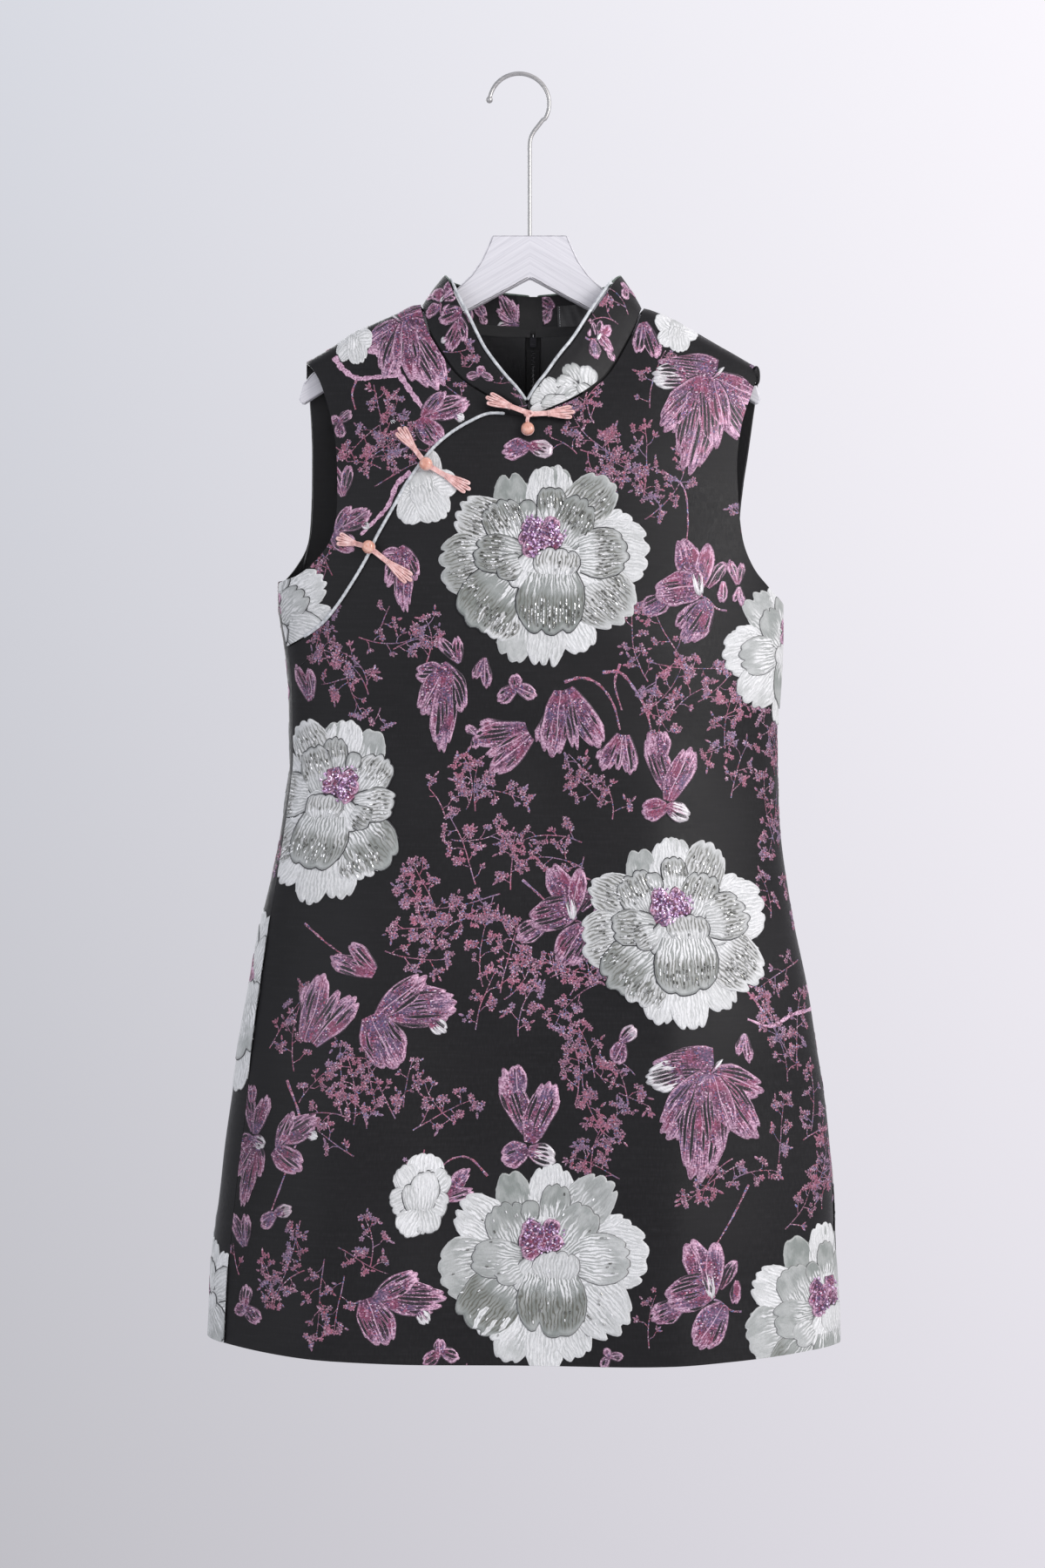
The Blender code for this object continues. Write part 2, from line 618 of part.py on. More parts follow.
NOTCH = 0.0016
HEM_CB = read(HEM, "w", "z", 2.0)
cb_r = centre_back(1, HALF, NOTCH, -0.2096, HEM_CB)
cb_l = centre_back(-1, HALF, NOTCH, -0.2096, HEM_CB)

# the left seam passes round w = -1 with the same heights as the front's
side_left_all = side_left_hi[:-1] + side_left_lo
hem_bl = hem_line(-2.0 + W_GAP, side_left_lo[-1][0])
hem_br = hem_line(side_right[-1][0], 2.0 - W_GAP)

back_right_outline = (
    shift(list(reversed(cb_r)), 0, 0)[:-1]
    + inset(list(reversed(neck_br)), 0.0004)[:-1]
    + shift(top_br[:-1], 0, -0.0000012)
    + arm_br[:-1]
    + shift(side_right[:-1], W_GAP, 0)
    + hem_br[:-1]
)
back_right_outline[len(back_right_outline) - len(hem_br[:-1])] = (
    hem_br[0][0] + W_GAP, hem_br[0][1])
arch_br = shoulder_points(0.1050, 0.1960, w_back, ARCH_ROWS)
arch_bl = shoulder_points(-0.1740, -0.0840, w_back, ARCH_ROWS)
panel("back_right", back_right_outline, 0.99, 1.985, material("brocade_back_right", *BROCADE), arch_br)

back_left_outline = (
    cb_l[:-1]
    + hem_bl[:-1]
    + shift(list(reversed(side_left_all))[:-1], -W_GAP, 0)
    + list(reversed(arm_bl))[:-1]
    + shift(list(reversed(top_bl))[:-1], 0, -0.0000012)
    + inset(neck_bl, 0.0004)[:-1]
)
panel("back_left", back_left_outline, -1.985, -0.93, material("brocade_back_left", *BROCADE), arch_bl)


# ---------------------------------------------------------------- back lining
def lining_edge(x0, x1, reader, under):
    """Top edge of the lining, a set distance under the shoulder line."""
    return shoulder_line(x0, x1, reader, drop=under, step=0.030)


mat_satin = material("lining_satin", *SATIN)
LINING_IN = CLOTH + LINING_GAP
LINING_HEM = 0.030
LIN_STEP = 0.046
SIDE_IN = 0.020


def down(w_of, z0, z1, step):
    n = max(1, round((z0 - z1) / step))
    return [(w_of(z0 + (z1 - z0) * i / n), z0 + (z1 - z0) * i / n) for i in range(n + 1)]


def lining(name, sign, neck_rows, arm_rows, x_neck, x_tip, side_rows, side_z, hem_line_pts, mat):
    """One half of the back lining, a little smaller than the panel it hangs in."""
    cb = down(lambda z: sign * (2.0 - 0.0068 / S_SCALE), -0.2122, hem_line_pts[-1][1], LIN_STEP)
    neck = [(w, z - 0.0030) for w, z in to_w(path(neck_rows, 0.020), w_back)]
    neck = [p for p in neck if abs(p[0]) < 2.0 - 0.012 / S_SCALE and p[1] < read(SHOULDER, "x", "z", x_neck) - 0.0095]
    top = lining_edge(x_neck, x_tip, w_back, 0.0125)
    arm = [p for p in to_w(path(arm_rows, 0.022), w_back) if p[1] < top[-1][1] - 0.012]
    arm = [p for p in arm if p[1] > side_z + 0.030]
    side = down(lambda z: read(side_rows, "z", "w", z) + sign * SIDE_IN / S_SCALE, side_z - 0.045,
                hem_line_pts[0][1], LIN_STEP)
    # neck point towards the centre, then down, hem, side, armhole, shoulder
    loop = list(reversed(neck))[0:] + top + arm + side + hem_line_pts[1:-1] + list(reversed(cb))
    return panel(name, loop, -3, 3, mat, thickness=LINING, push=LINING_IN, spacing=LIN_STEP, clear=0.40)


lin_hem_r = hem_line(0.968 + SIDE_IN / S_SCALE, 2.0 - 0.0068 / S_SCALE, LINING_HEM, 0.040)
lin_hem_l = hem_line(-0.875 - SIDE_IN / S_SCALE, -2.0 + 0.0068 / S_SCALE, LINING_HEM, 0.040)
lining("lining_back_right", 1, NECK_BACK_R, ARM_BACK_R, 0.0990, 0.1900, SIDE_R, -0.4378, lin_hem_r,
       mat_satin)
lining("lining_back_left", -1, NECK_BACK_L, ARM_BACK_L, -0.0780, -0.1690, SIDE_L, -0.4202, lin_hem_l,
       material("lining_satin_left", *SATIN))

# --------------------------------------------------------------------- collar
def seam_points(side):
    """The neck seam from centre back round to centre front, with its length."""
    back = list(reversed(path(NECK_BACK_L if side < 0 else NECK_BACK_R, 0.006)))
    front = path(NECK_FRONT_L if side < 0 else NECK_FRONT_R, 0.006)
    pts = [body(w_back(p.x, p.y), p.y) for p in back] + [body(w_front(p.x, p.y), p.y) for p in front[1:]]
    length = [0.0]
    for i in range(1, len(pts)):
        length.append(length[-1] + (pts[i] - pts[i - 1]).length)
    return pts, [v / length[-1] for v in length], length[-1]


SEAMS = {-1: seam_points(-1), 1: seam_points(1)}


def seam_at(side, t):
    pts, us, _ = SEAMS[side]
    out = []
    for c in range(3):
        # averaged over a short stretch, which rounds the turn at the shoulder
        out.append(sum(lookup(us, [p[c] for p in pts], min(1.0, max(0.0, t + k * 0.012)))
                       for k in (-2, -1, 0, 1, 2)) / 5)
    return Vector(out)


def collar_face(side, t, h):
    """Outer face of the stand collar: h = 0 at the seam, 1 at the top edge."""
    rows = COLLAR_L if side < 0 else COLLAR_R
    d = Vector((read(rows, "t", "dx", t), read(rows, "t", "dy", t), read(rows, "t", "dz", t)))
    base = seam_at(side, t)
    along = seam_at(side, min(1.0, t + 0.01)) - seam_at(side, max(0.0, t - 0.01))
    out = d.cross(along) * side
    out.normalize()
    return base + d * h + out * (0.0016 * 4 * h * (1 - h))


def collar_normal(side, t, h):
    e = 0.01
    a = collar_face(side, min(1.0, t + e), h) - collar_face(side, max(0.0, t - e), h)
    b = collar_face(side, t, h + 0.05) - collar_face(side, t, h - 0.05)
    n = b.cross(a) * side
    n.normalize()
    return n


def collar(name, side, mat):
    length = SEAMS[side][2]
    tall = 0.033
    lo, hi = 0.0016 / tall, 1.0 - 0.0018 / tall
    t0 = 0.0020 / length
    # bottom edge to centre front, tapered end, top edge back, rounded corner
    bottom = [(t0 + (0.985 - t0) * i / 20, lo) for i in range(21)]
    end = [(0.992, 0.45)]
    top = [(0.980 - (0.980 - 0.060) * i / 18, hi) for i in range(19)]
    corner = [(t0 + 0.010, hi - 0.06), (t0, hi - 0.22), (t0, 0.42)]
    loop = bottom + end + top + corner
    flat = [(t * length, h * tall) for t, h in loop]
    extra = [(t0 * length + (length * 0.97) * i / 22, tall * 0.5) for i in range(1, 22)]
    pts, faces = triangulate(flat, extra, 0.006)
    uv = [(p[0] / length, p[1] / tall) for p in pts]
    if side < 0:
        faces = [list(reversed(f)) for f in faces]
    return shell(name, uv, faces, lambda t, h: collar_face(side, t, h),
                 lambda t, h: collar_normal(side, t, h), CLOTH, mat)


collar("collar_left", -1, material("brocade_collar_left", *BROCADE))
collar("collar_right", 1, material("brocade_collar_right", *BROCADE))


# ------------------------------------------------------------- tubes and piping
def tube(name, points, radius, mat, resolution=2):
    """A round cord along points, as a closed mesh with welded caps."""
    curve = bpy.data.curves.new(name + "_path", "CURVE")
    curve.dimensions = "3D"
    curve.bevel_depth = radius
    curve.bevel_resolution = resolution
    curve.use_fill_caps = True
    spline = curve.splines.new("POLY")
    spline.points.add(len(points) - 1)
    for p, q in zip(spline.points, points):
        p.co = (*q, 1.0)
    guide = bpy.data.objects.new(name + "_path", curve)
    parts.objects.link(guide)
    graph = bpy.context.evaluated_depsgraph_get()
    mesh = bpy.data.meshes.new_from_object(guide.evaluated_get(graph))
    mesh.name = name
    bm = bmesh.new()
    bm.from_mesh(mesh)
    bmesh.ops.remove_doubles(bm, verts=bm.verts, dist=1e-6)
    bmesh.ops.recalc_face_normals(bm, faces=bm.faces)
    bm.to_mesh(mesh)
    bm.free()
    mesh.materials.clear()
    mesh.materials.append(mat)
    mesh.shade_smooth()
    mesh.set_sharp_from_angle(angle=math.radians(60))
    obj = bpy.data.objects.new(name, mesh)
    obj.matrix_world = guide.matrix_world.copy()
    bpy.data.objects.remove(guide, do_unlink=True)
    parts.objects.link(obj)
    return obj


mat_piping = material("piping", *PIPING)


def collar_edge(side, t):
    """Centre of the piping that caps the collar's front edge."""
    d = collar_face(side, t, 1.0) - collar_face(side, t, 0.9)
    d.normalize()
    return collar_face(side, t, 1.0) + d * 0.0006 - collar_normal(side, t, 0.98) * (CLOTH / 2)


for side, name, t0 in ((-1, "piping_collar_left", 0.44), (1, "piping_collar_right", 0.43)):
    pts = [collar_edge(side, t0 + (0.930 - t0) * i / 22) for i in range(23)]
    tube(name, pts, PIPING_R - 0.0001, mat_piping)


def on_body(x, z, lift):
    w = w_front(x, z)
    return body(w, z) + body_normal(w, z) * lift


placket_pts = []
for w, z in placket[2:-1]:
    placket_pts.append(body(w, z) + body_normal(w, z) * (PIPING_R + 0.0004))
tube("piping_placket", placket_pts, PIPING_R, mat_piping)

# ---------------------------------------------------------------------- frogs
def wing(name, frog, side, mat):
    """A doubled cord lying on the cloth, opening into a flat fan at its end."""
    k = Vector((frog["kx"], frog["kz"]))
    end = Vector((frog["lx"], frog["lz"])) if side < 0 else Vector((frog["rx"], frog["rz"]))
    off = frog["off_l"] if side < 0 else frog["off_r"]
    along = (end - k).normalized()
    across = Vector((-along.y, along.x))
    start = 0.0012 if frog["n"] == 1 else BEAD_R + 0.0006
    full = (end - k).length
    rings = []
    steps = 12
    for i in range(steps + 1):
        f = i / steps
        c = k + along * (start + (full - start) * f)
        h = read(WING, "f", "half", f)
        ring_pts = []
        lift = 0.0 if frog["n"] == 1 else (2 * PIPING_R + 0.0006) * max(0.0, 1 - (full - start) * f / 0.0110)
        for u, v in ((-1, 0.15), (-0.8, 0.85), (0, 1), (0.8, 0.85), (1, 0.15), (0.7, 0), (-0.7, 0)):
            q = c + across * (h * u)
            w = w_front(q.x, q.y)
            ring_pts.append(body(w, q.y) + body_normal(w, q.y) * (off + lift + WING_T * v))
        rings.append(ring_pts)
    m = len(rings[0])
    verts = [p for r in rings for p in r]
    faces = [list(range(m)), [steps * m + j for j in reversed(range(m))]]
    for i in range(steps):
        for j in range(m):
            a, b = i * m + j, i * m + (j + 1) % m
            faces.append([a, a + m, b + m, b])
    return add_object(name, verts, faces, mat, angle=60)


BEAD_R = 0.0053
BEAD_FLAT = 0.70
mat_cord = material("frog_cord", *CORD)
mat_bead = material("frog_bead", (0.80, 0.30, 0.22), 0.15)
for frog in FROGS:
    wing("frog_%d_loop" % frog["n"], frog, -1, mat_cord)
    wing("frog_%d_knot" % frog["n"], frog, 1, mat_cord)
    w = w_front(frog["bx"], frog["bz"])
    normal = body_normal(w, frog["bz"])
    lift = 2 * PIPING_R + 0.0009 + BEAD_R * BEAD_FLAT if frog["n"] > 1 else 0.0012 + BEAD_R * BEAD_FLAT
    bm = bmesh.new()
    bmesh.ops.create_uvsphere(bm, u_segments=14, v_segments=9, radius=BEAD_R)
    bmesh.ops.scale(bm, vec=(1.0, 1.0, BEAD_FLAT), verts=bm.verts)
    mesh = bpy.data.meshes.new("frog_%d_bead" % frog["n"])
    bm.to_mesh(mesh)
    bm.free()
    mesh.shade_smooth()
    mesh.materials.append(mat_bead)
    bead = bpy.data.objects.new("frog_%d_bead" % frog["n"], mesh)
    bead.location = body(w, frog["bz"]) + normal * lift
    bead.rotation_mode = "QUATERNION"
    bead.rotation_quaternion = normal.to_track_quat("Z", "Y")
    parts.objects.link(bead)

# ------------------------------------------------------------------------ zip
mat_zip = material("zip_tape", (0.010, 0.010, 0.011), 0.6)
mat_slider = material("zip_metal", (0.05, 0.05, 0.055), 0.30, 0.9)


def loft(name, rings, mat, smooth=True):
    m = len(rings[0])
    verts = [p for r in rings for p in r]
    last = (len(rings) - 1) * m
    faces = [list(range(m)), [last + j for j in reversed(range(m))]]
    for i in range(len(rings) - 1):
        for j in range(m):
            a, b = i * m + j, i * m + (j + 1) % m
            faces.append([a, a + m, b + m, b])
    return add_object(name, verts, faces, mat, smooth, 40)


rings = []
n = round((ZIP_TOP - ZIP_END) / 0.031)
for i in range(n + 1):
    z = ZIP_TOP + (ZIP_END - ZIP_TOP) * i / n
    r = []
    for sign, depth in ((1, 0.0007), (-1, 0.0007), (-1, 0.0017), (1, 0.0017)):
        w = sign * (2.0 - ZIP_HALF / S_SCALE)
        r.append(body(w, z) - body_normal(w, z) * (CLOTH + depth))
    rings.append(r)
loft("zip_chain", rings, mat_zip)

foot = body(2.0, PULL_BAR_Z)
tip = body(2.0, PULL_BAR_Z - PULL_LEN)
lean = math.atan2(tip.y - foot.y, foot.z - tip.z)
BAR_OUT = 0.0016        # bar's centre, out from the cloth


def local_box(bm, x, y, z):
    """A box between the given limits."""
    made = bmesh.ops.create_cube(bm, size=1.0)["verts"]
    bmesh.ops.scale(bm, vec=(x[1] - x[0], y[1] - y[0], z[1] - z[0]), verts=made)
    bmesh.ops.translate(bm, vec=((x[0] + x[1]) / 2, (y[0] + y[1]) / 2, (z[0] + z[1]) / 2), verts=made)


def extruded(name, outline, half, collection, mat=None):
    """A flat (y, z) outline given thickness along x."""
    bm = bmesh.new()
    face = bm.faces.new([bm.verts.new((-half, y, z)) for y, z in outline])
    grown = bmesh.ops.extrude_face_region(bm, geom=[face])["geom"]
    bmesh.ops.translate(bm, vec=(2 * half, 0, 0), verts=[g for g in grown if isinstance(g, bmesh.types.BMVert)])
    bmesh.ops.recalc_face_normals(bm, faces=bm.faces)
    mesh = bpy.data.meshes.new(name)
    bm.to_mesh(mesh)
    bm.free()
    if mat:
        mesh.materials.append(mat)
    obj = bpy.data.objects.new(name, mesh)
    collection.objects.link(obj)
    return obj


bm = bmesh.new()
local_box(bm, (-0.0027, 0.0027), (-0.0049, -0.0020), (-0.0052, 0.0032))
bmesh.ops.bevel(bm, geom=[e for e in bm.edges], offset=0.0006, segments=2, affect="EDGES")
mesh = bpy.data.meshes.new("zip_slider")
bm.to_mesh(mesh)
bm.free()
mesh.materials.append(mat_slider)
slider = bpy.data.objects.new("zip_slider", mesh)
parts.objects.link(slider)
# the bridge: two legs through the opening and a crown outside it
bridge = extruded("slider_bridge", [
    (-0.0030, 0.0018), (0.0033, 0.0018), (0.0033, -0.0020), (-0.0030, -0.0020),
    (-0.0030, -0.0010), (0.0023, -0.0010), (0.0023, 0.0008), (-0.0030, 0.0008),
], 0.0005, cutters)
bridge.hide_render = True
bridge.display_type = "WIRE"
for obj in (slider, bridge):
    obj.location = foot
    obj.rotation_euler = (lean, 0, 0)
union = slider.modifiers.new("bridge", "BOOLEAN")
union.operation = "UNION"
union.object = bridge

# pull tab: its bar lies under the bridge and is the hinge
curve = bpy.data.curves.new("zip_pull_outline", "CURVE")
curve.dimensions = "2D"
curve.fill_mode = "BOTH"
curve.extrude = 0.0004
outer = [(-0.0022, 0.0004), (-0.0022, -0.0060), (-0.0019, -0.0100), (-0.0022, -0.0190),
         (-0.0016, -0.0213), (0.0, -PULL_LEN), (0.0016, -0.0213), (0.0022, -0.0190),
         (0.0019, -0.0100), (0.0022, -0.0060), (0.0022, 0.0004)]
hole = [(-0.0010, -0.0004), (0.0010, -0.0004), (0.0010, -0.0034), (-0.0010, -0.0034)]
for ring_pts in (outer, hole):
    spline = curve.splines.new("POLY")
    spline.points.add(len(ring_pts) - 1)
    for p, q in zip(spline.points, ring_pts):
        p.co = (q[0], q[1], 0.0, 1.0)
    spline.use_cyclic_u = True
guide = bpy.data.objects.new("zip_pull_outline", curve)
parts.objects.link(guide)
graph = bpy.context.evaluated_depsgraph_get()
mesh = bpy.data.meshes.new_from_object(guide.evaluated_get(graph))
bpy.data.objects.remove(guide, do_unlink=True)
bm = bmesh.new()
bm.from_mesh(mesh)
bmesh.ops.remove_doubles(bm, verts=bm.verts, dist=1e-6)
# stand the flat outline up: its own y becomes z
for v in bm.verts:
    v.co = Vector((v.co.x, -v.co.z, v.co.y))
bmesh.ops.recalc_face_normals(bm, faces=bm.faces)
bm.to_mesh(mesh)
bm.free()
mesh.materials.clear()
mesh.materials.append(mat_slider)
pull = bpy.data.objects.new("zip_pull", mesh)
pull.location = foot + Vector((0, math.cos(lean), math.sin(lean))) * BAR_OUT
pull.rotation_euler = (lean, 0, 0)
parts.objects.link(pull)

# ---------------------------------------------------------------------- label
LABEL_T = (0.081, 0.250)
LABEL_H = (0.10, 0.66)
flat, faces = [], []
for i in range(6):
    for j in range(3):
        flat.append((LABEL_T[0] + (LABEL_T[1] - LABEL_T[0]) * i / 5, LABEL_H[0] + (LABEL_H[1] - LABEL_H[0]) * j / 2))
for i in range(5):
    for j in range(2):
        a = i * 3 + j
        faces.append([a, a + 3, a + 4, a + 1])
shell("label", flat, faces, lambda t, h: collar_face(1, t, h), lambda t, h: collar_normal(1, t, h),
      0.0010, material("label", (0.015, 0.015, 0.016), 0.55), CLOTH + 0.0004)

# --------------------------------------------------------------------- hanger
right = [(HANGER_X + r["d"], r["z"]) for r in HANGER]
left = [(HANGER_X - r["d"], r["z"]) for r in reversed(HANGER[:-1])]
curve = bpy.data.curves.new("hanger_outline", "CURVE")
curve.dimensions = "2D"
curve.fill_mode = "BOTH"
curve.extrude = HANGER_T / 2
spline = curve.splines.new("POLY")
spline.points.add(len(right) + len(left) - 1)
for p, q in zip(spline.points, right + left):
    p.co = (q[0], q[1], 0.0, 1.0)
spline.use_cyclic_u = True
guide = bpy.data.objects.new("hanger_outline", curve)
parts.objects.link(guide)
graph = bpy.context.evaluated_depsgraph_get()
mesh = bpy.data.meshes.new_from_object(guide.evaluated_get(graph))
bpy.data.objects.remove(guide, do_unlink=True)
bm = bmesh.new()
bm.from_mesh(mesh)
bmesh.ops.remove_doubles(bm, verts=bm.verts, dist=1e-6)
for v in bm.verts:
    v.co = Vector((v.co.x, -v.co.z, v.co.y))
bmesh.ops.recalc_face_normals(bm, faces=bm.faces)
bm.to_mesh(mesh)
bm.free()
mesh.materials.clear()
mesh.materials.append(material("hanger_wood", (0.74, 0.74, 0.77), 0.55))
board = bpy.data.objects.new("hanger_plate", mesh)
parts.objects.link(board)

SHANK_X = 0.0084
HOLE_DEEP = 0.018
bm = bmesh.new()
bmesh.ops.create_cone(bm, cap_ends=True, segments=16, radius1=WIRE_R + 0.0004, radius2=WIRE_R + 0.0004,
                      depth=HOLE_DEEP + 0.010)
mesh = bpy.data.meshes.new("hook_hole")
bm.to_mesh(mesh)
bm.free()
hole_cut = bpy.data.objects.new("hook_hole", mesh)
hole_cut.location = (SHANK_X, 0, -0.1332 - HOLE_DEEP + (HOLE_DEEP + 0.010) / 2)
hole_cut.hide_render = True
hole_cut.display_type = "WIRE"
cutters.objects.link(hole_cut)
soft = board.modifiers.new("edges", "BEVEL")
soft.width = 0.0012
soft.segments = 2
soft.limit_method = "ANGLE"
soft.angle_limit = math.radians(50)
cut = board.modifiers.new("hole", "BOOLEAN")
cut.operation = "DIFFERENCE"
cut.object = hole_cut

# hook: round bend over the origin, a short S, then the straight shank
centre = Vector((-0.0003, WIRE_R - HOOK_R))
pts = []
A0, A1 = math.radians(170), math.radians(-30)
for i in range(23):
    a = A0 + (A1 - A0) * i / 22
    pts.append(Vector((centre.x + HOOK_R * math.cos(a), 0, centre.y + HOOK_R * math.sin(a))))
neck = path(HOOK_NECK, 0.0045)
pts += [Vector((p.x, 0, p.y)) for p in neck if (Vector((p.x, 0, p.y)) - pts[-1]).length > 0.002]
pts.append(Vector((SHANK_X, 0, -0.1332 - HOLE_DEEP + 0.0015)))
mat_wire = material("hook_wire", (0.62, 0.61, 0.58), 0.22, 1.0)
hook = tube("hook", pts, WIRE_R, mat_wire, 2)
bm = bmesh.new()
bmesh.ops.create_uvsphere(bm, u_segments=12, v_segments=8, radius=BALL_R)
mesh = bpy.data.meshes.new("hook_ball")
bm.to_mesh(mesh)
bm.free()
ball = bpy.data.objects.new("hook_ball", mesh)
ball.location = pts[0] + Vector((-0.0002, 0, -0.0012))
ball.hide_render = True
ball.display_type = "WIRE"
cutters.objects.link(ball)
join = hook.modifiers.new("ball", "BOOLEAN")
join.operation = "UNION"
join.object = ball
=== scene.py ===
"""Looks for the cheongsam on its hanger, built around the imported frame.

Everything is worked out from named sizes, short tables and rules: the cloth
follows the same body surface as the solids, and the brocade's flowers, leaves
and sprigs are grown on it as raised woven pieces.
"""
import json
import math
import random

import bpy
import bmesh
import numpy as np
from mathutils import Vector, Matrix
from mathutils.geometry import delaunay_2d_cdt

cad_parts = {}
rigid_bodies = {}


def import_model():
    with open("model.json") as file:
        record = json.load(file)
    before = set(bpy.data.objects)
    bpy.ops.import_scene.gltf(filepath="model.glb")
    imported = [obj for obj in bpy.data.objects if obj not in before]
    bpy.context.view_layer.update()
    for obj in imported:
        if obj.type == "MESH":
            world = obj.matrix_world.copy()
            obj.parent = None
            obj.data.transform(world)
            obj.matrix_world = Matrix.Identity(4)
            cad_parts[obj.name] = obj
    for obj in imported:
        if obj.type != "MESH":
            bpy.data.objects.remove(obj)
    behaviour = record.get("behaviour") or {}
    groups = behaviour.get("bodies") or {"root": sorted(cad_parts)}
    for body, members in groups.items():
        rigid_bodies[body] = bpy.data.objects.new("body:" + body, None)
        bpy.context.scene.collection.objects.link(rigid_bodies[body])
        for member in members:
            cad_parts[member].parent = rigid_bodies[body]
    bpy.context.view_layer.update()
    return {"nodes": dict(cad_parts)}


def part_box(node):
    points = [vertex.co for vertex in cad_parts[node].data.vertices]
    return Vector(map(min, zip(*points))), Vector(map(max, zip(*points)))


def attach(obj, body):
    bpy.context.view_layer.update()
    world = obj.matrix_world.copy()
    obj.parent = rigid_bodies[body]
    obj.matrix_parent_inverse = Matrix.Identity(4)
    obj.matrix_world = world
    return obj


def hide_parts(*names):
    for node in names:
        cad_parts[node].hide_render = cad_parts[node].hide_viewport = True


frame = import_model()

GARMENT = "garment"

# ------------------------------------------------------------------ sizes (m)
CLOTH = 0.0015
LINING = 0.0010
LINING_GAP = 0.0020
SEAM = 0.00030
ARCH_R = 0.0100
DROP_H = 0.130
S_SCALE = 0.235
SECTION_N = 2.4
PIPING_R = 0.0013
BEAD_R = 0.0053
BEAD_FLAT = 0.70
WING_T = 0.0020
ZIP_TOP = -0.2240
ZIP_END = -0.6600
ZIP_HALF = 0.0055
WIRE_R = 0.0018
HOOK_R = 0.0248
BALL_R = 0.0029
SHANK_X = 0.0084
HANGER_X = 0.0086

# view: metres in one pixel of a 1200 x 1800 frame at y = 0, and the eye
K = 0.00072
EYE = Vector((0.0025, -2.5, -0.58536))

RINGS = [
    dict(z=-0.160, xc=0.0115, a=0.2084, bf=0.050, bb=0.036),
    dict(z=-0.290, xc=0.0112, a=0.2084, bf=0.051, bb=0.038),
    dict(z=-0.360, xc=0.0105, a=0.2084, bf=0.056, bb=0.040),
    dict(z=-0.430, xc=0.0093, a=0.2084, bf=0.062, bb=0.041),
    dict(z=-0.470, xc=0.0108, a=0.2056, bf=0.063, bb=0.041),
    dict(z=-0.510, xc=0.0117, a=0.2029, bf=0.062, bb=0.041),
    dict(z=-0.560, xc=0.0117, a=0.2014, bf=0.060, bb=0.042),
    dict(z=-0.620, xc=0.0092, a=0.2061, bf=0.061, bb=0.044),
    dict(z=-0.700, xc=0.0068, a=0.2203, bf=0.064, bb=0.047),
    dict(z=-0.790, xc=0.0071, a=0.2370, bf=0.068, bb=0.051),
    dict(z=-0.900, xc=0.0058, a=0.2515, bf=0.073, bb=0.055),
    dict(z=-0.980, xc=0.0038, a=0.2570, bf=0.076, bb=0.058),
    dict(z=-1.070, xc=0.0038, a=0.2610, bf=0.078, bb=0.060),
]
FOLDS = [
    dict(name="front_right", z0=-0.430, z1=-0.800, w0=0.470, w1=0.453, reach=0.42, rise=0.0130),
    dict(name="front_left", z0=-0.540, z1=-0.860, w0=-0.540, w1=-0.575, reach=0.38, rise=0.0115),
    dict(name="front_mid", z0=-0.600, z1=-0.950, w0=-0.040, w1=-0.030, reach=0.34, rise=-0.0035),
    dict(name="back_left", z0=-0.520, z1=-0.900, w0=-1.480, w1=-1.430, reach=0.34, rise=0.0090),
    dict(name="back_mid", z0=-0.640, z1=-0.950, w0=-1.860, w1=-1.830, reach=0.24, rise=0.0050),
    dict(name="back_right", z0=-0.500, z1=-0.880, w0=1.560, w1=1.520, reach=0.36, rise=0.0085),
]
SHOULDER = [
    dict(x=-0.1761, z=-0.2372), dict(x=-0.1552, z=-0.2252), dict(x=-0.1321, z=-0.2108),
    dict(x=-0.1012, z=-0.1968), dict(x=-0.0815, z=-0.1896), dict(x=0.1024, z=-0.1926),
    dict(x=0.1177, z=-0.1974), dict(x=0.1415, z=-0.2100), dict(x=0.1703, z=-0.2258),
    dict(x=0.1983, z=-0.2426),
]
ARM_FRONT_L = [
    dict(x=-0.1761, z=-0.2372), dict(x=-0.1652, z=-0.2522), dict(x=-0.1559, z=-0.2799),
    dict(x=-0.1500, z=-0.3090), dict(x=-0.1482, z=-0.3444), dict(x=-0.1500, z=-0.3740),
    dict(x=-0.1577, z=-0.3938), dict(x=-0.1778, z=-0.4131), dict(x=-0.1975, z=-0.4202),
]
ARM_BACK_L = [
    dict(x=-0.1761, z=-0.2372), dict(x=-0.1768, z=-0.2492), dict(x=-0.1750, z=-0.2616),
    dict(x=-0.1733, z=-0.2905), dict(x=-0.1728, z=-0.3140), dict(x=-0.1736, z=-0.3520),
    dict(x=-0.1765, z=-0.3846), dict(x=-0.1855, z=-0.4039), dict(x=-0.1975, z=-0.4202),
]
ARM_FRONT_R = [
    dict(x=0.1983, z=-0.2426), dict(x=0.1900, z=-0.2669), dict(x=0.1825, z=-0.2890),
    dict(x=0.1780, z=-0.3190), dict(x=0.1780, z=-0.3480), dict(x=0.1795, z=-0.3707),
    dict(x=0.1832, z=-0.3919), dict(x=0.1921, z=-0.4107), dict(x=0.2043, z=-0.4245),
    dict(x=0.2170, z=-0.4378),
]
ARM_BACK_R = [
    dict(x=0.1983, z=-0.2426), dict(x=0.1978, z=-0.2562), dict(x=0.1948, z=-0.2784),
    dict(x=0.1908, z=-0.3091), dict(x=0.1866, z=-0.3380), dict(x=0.1840, z=-0.3670),
    dict(x=0.1856, z=-0.3890), dict(x=0.1926, z=-0.4090), dict(x=0.2051, z=-0.4250),
    dict(x=0.2170, z=-0.4378),
]
NECK_FRONT_L = [
    dict(x=-0.0815, z=-0.1896), dict(x=-0.0770, z=-0.2078), dict(x=-0.0695, z=-0.2238),
    dict(x=-0.0517, z=-0.2507), dict(x=-0.0314, z=-0.2665), dict(x=-0.0116, z=-0.2770),
    dict(x=0.0058, z=-0.2868),
]
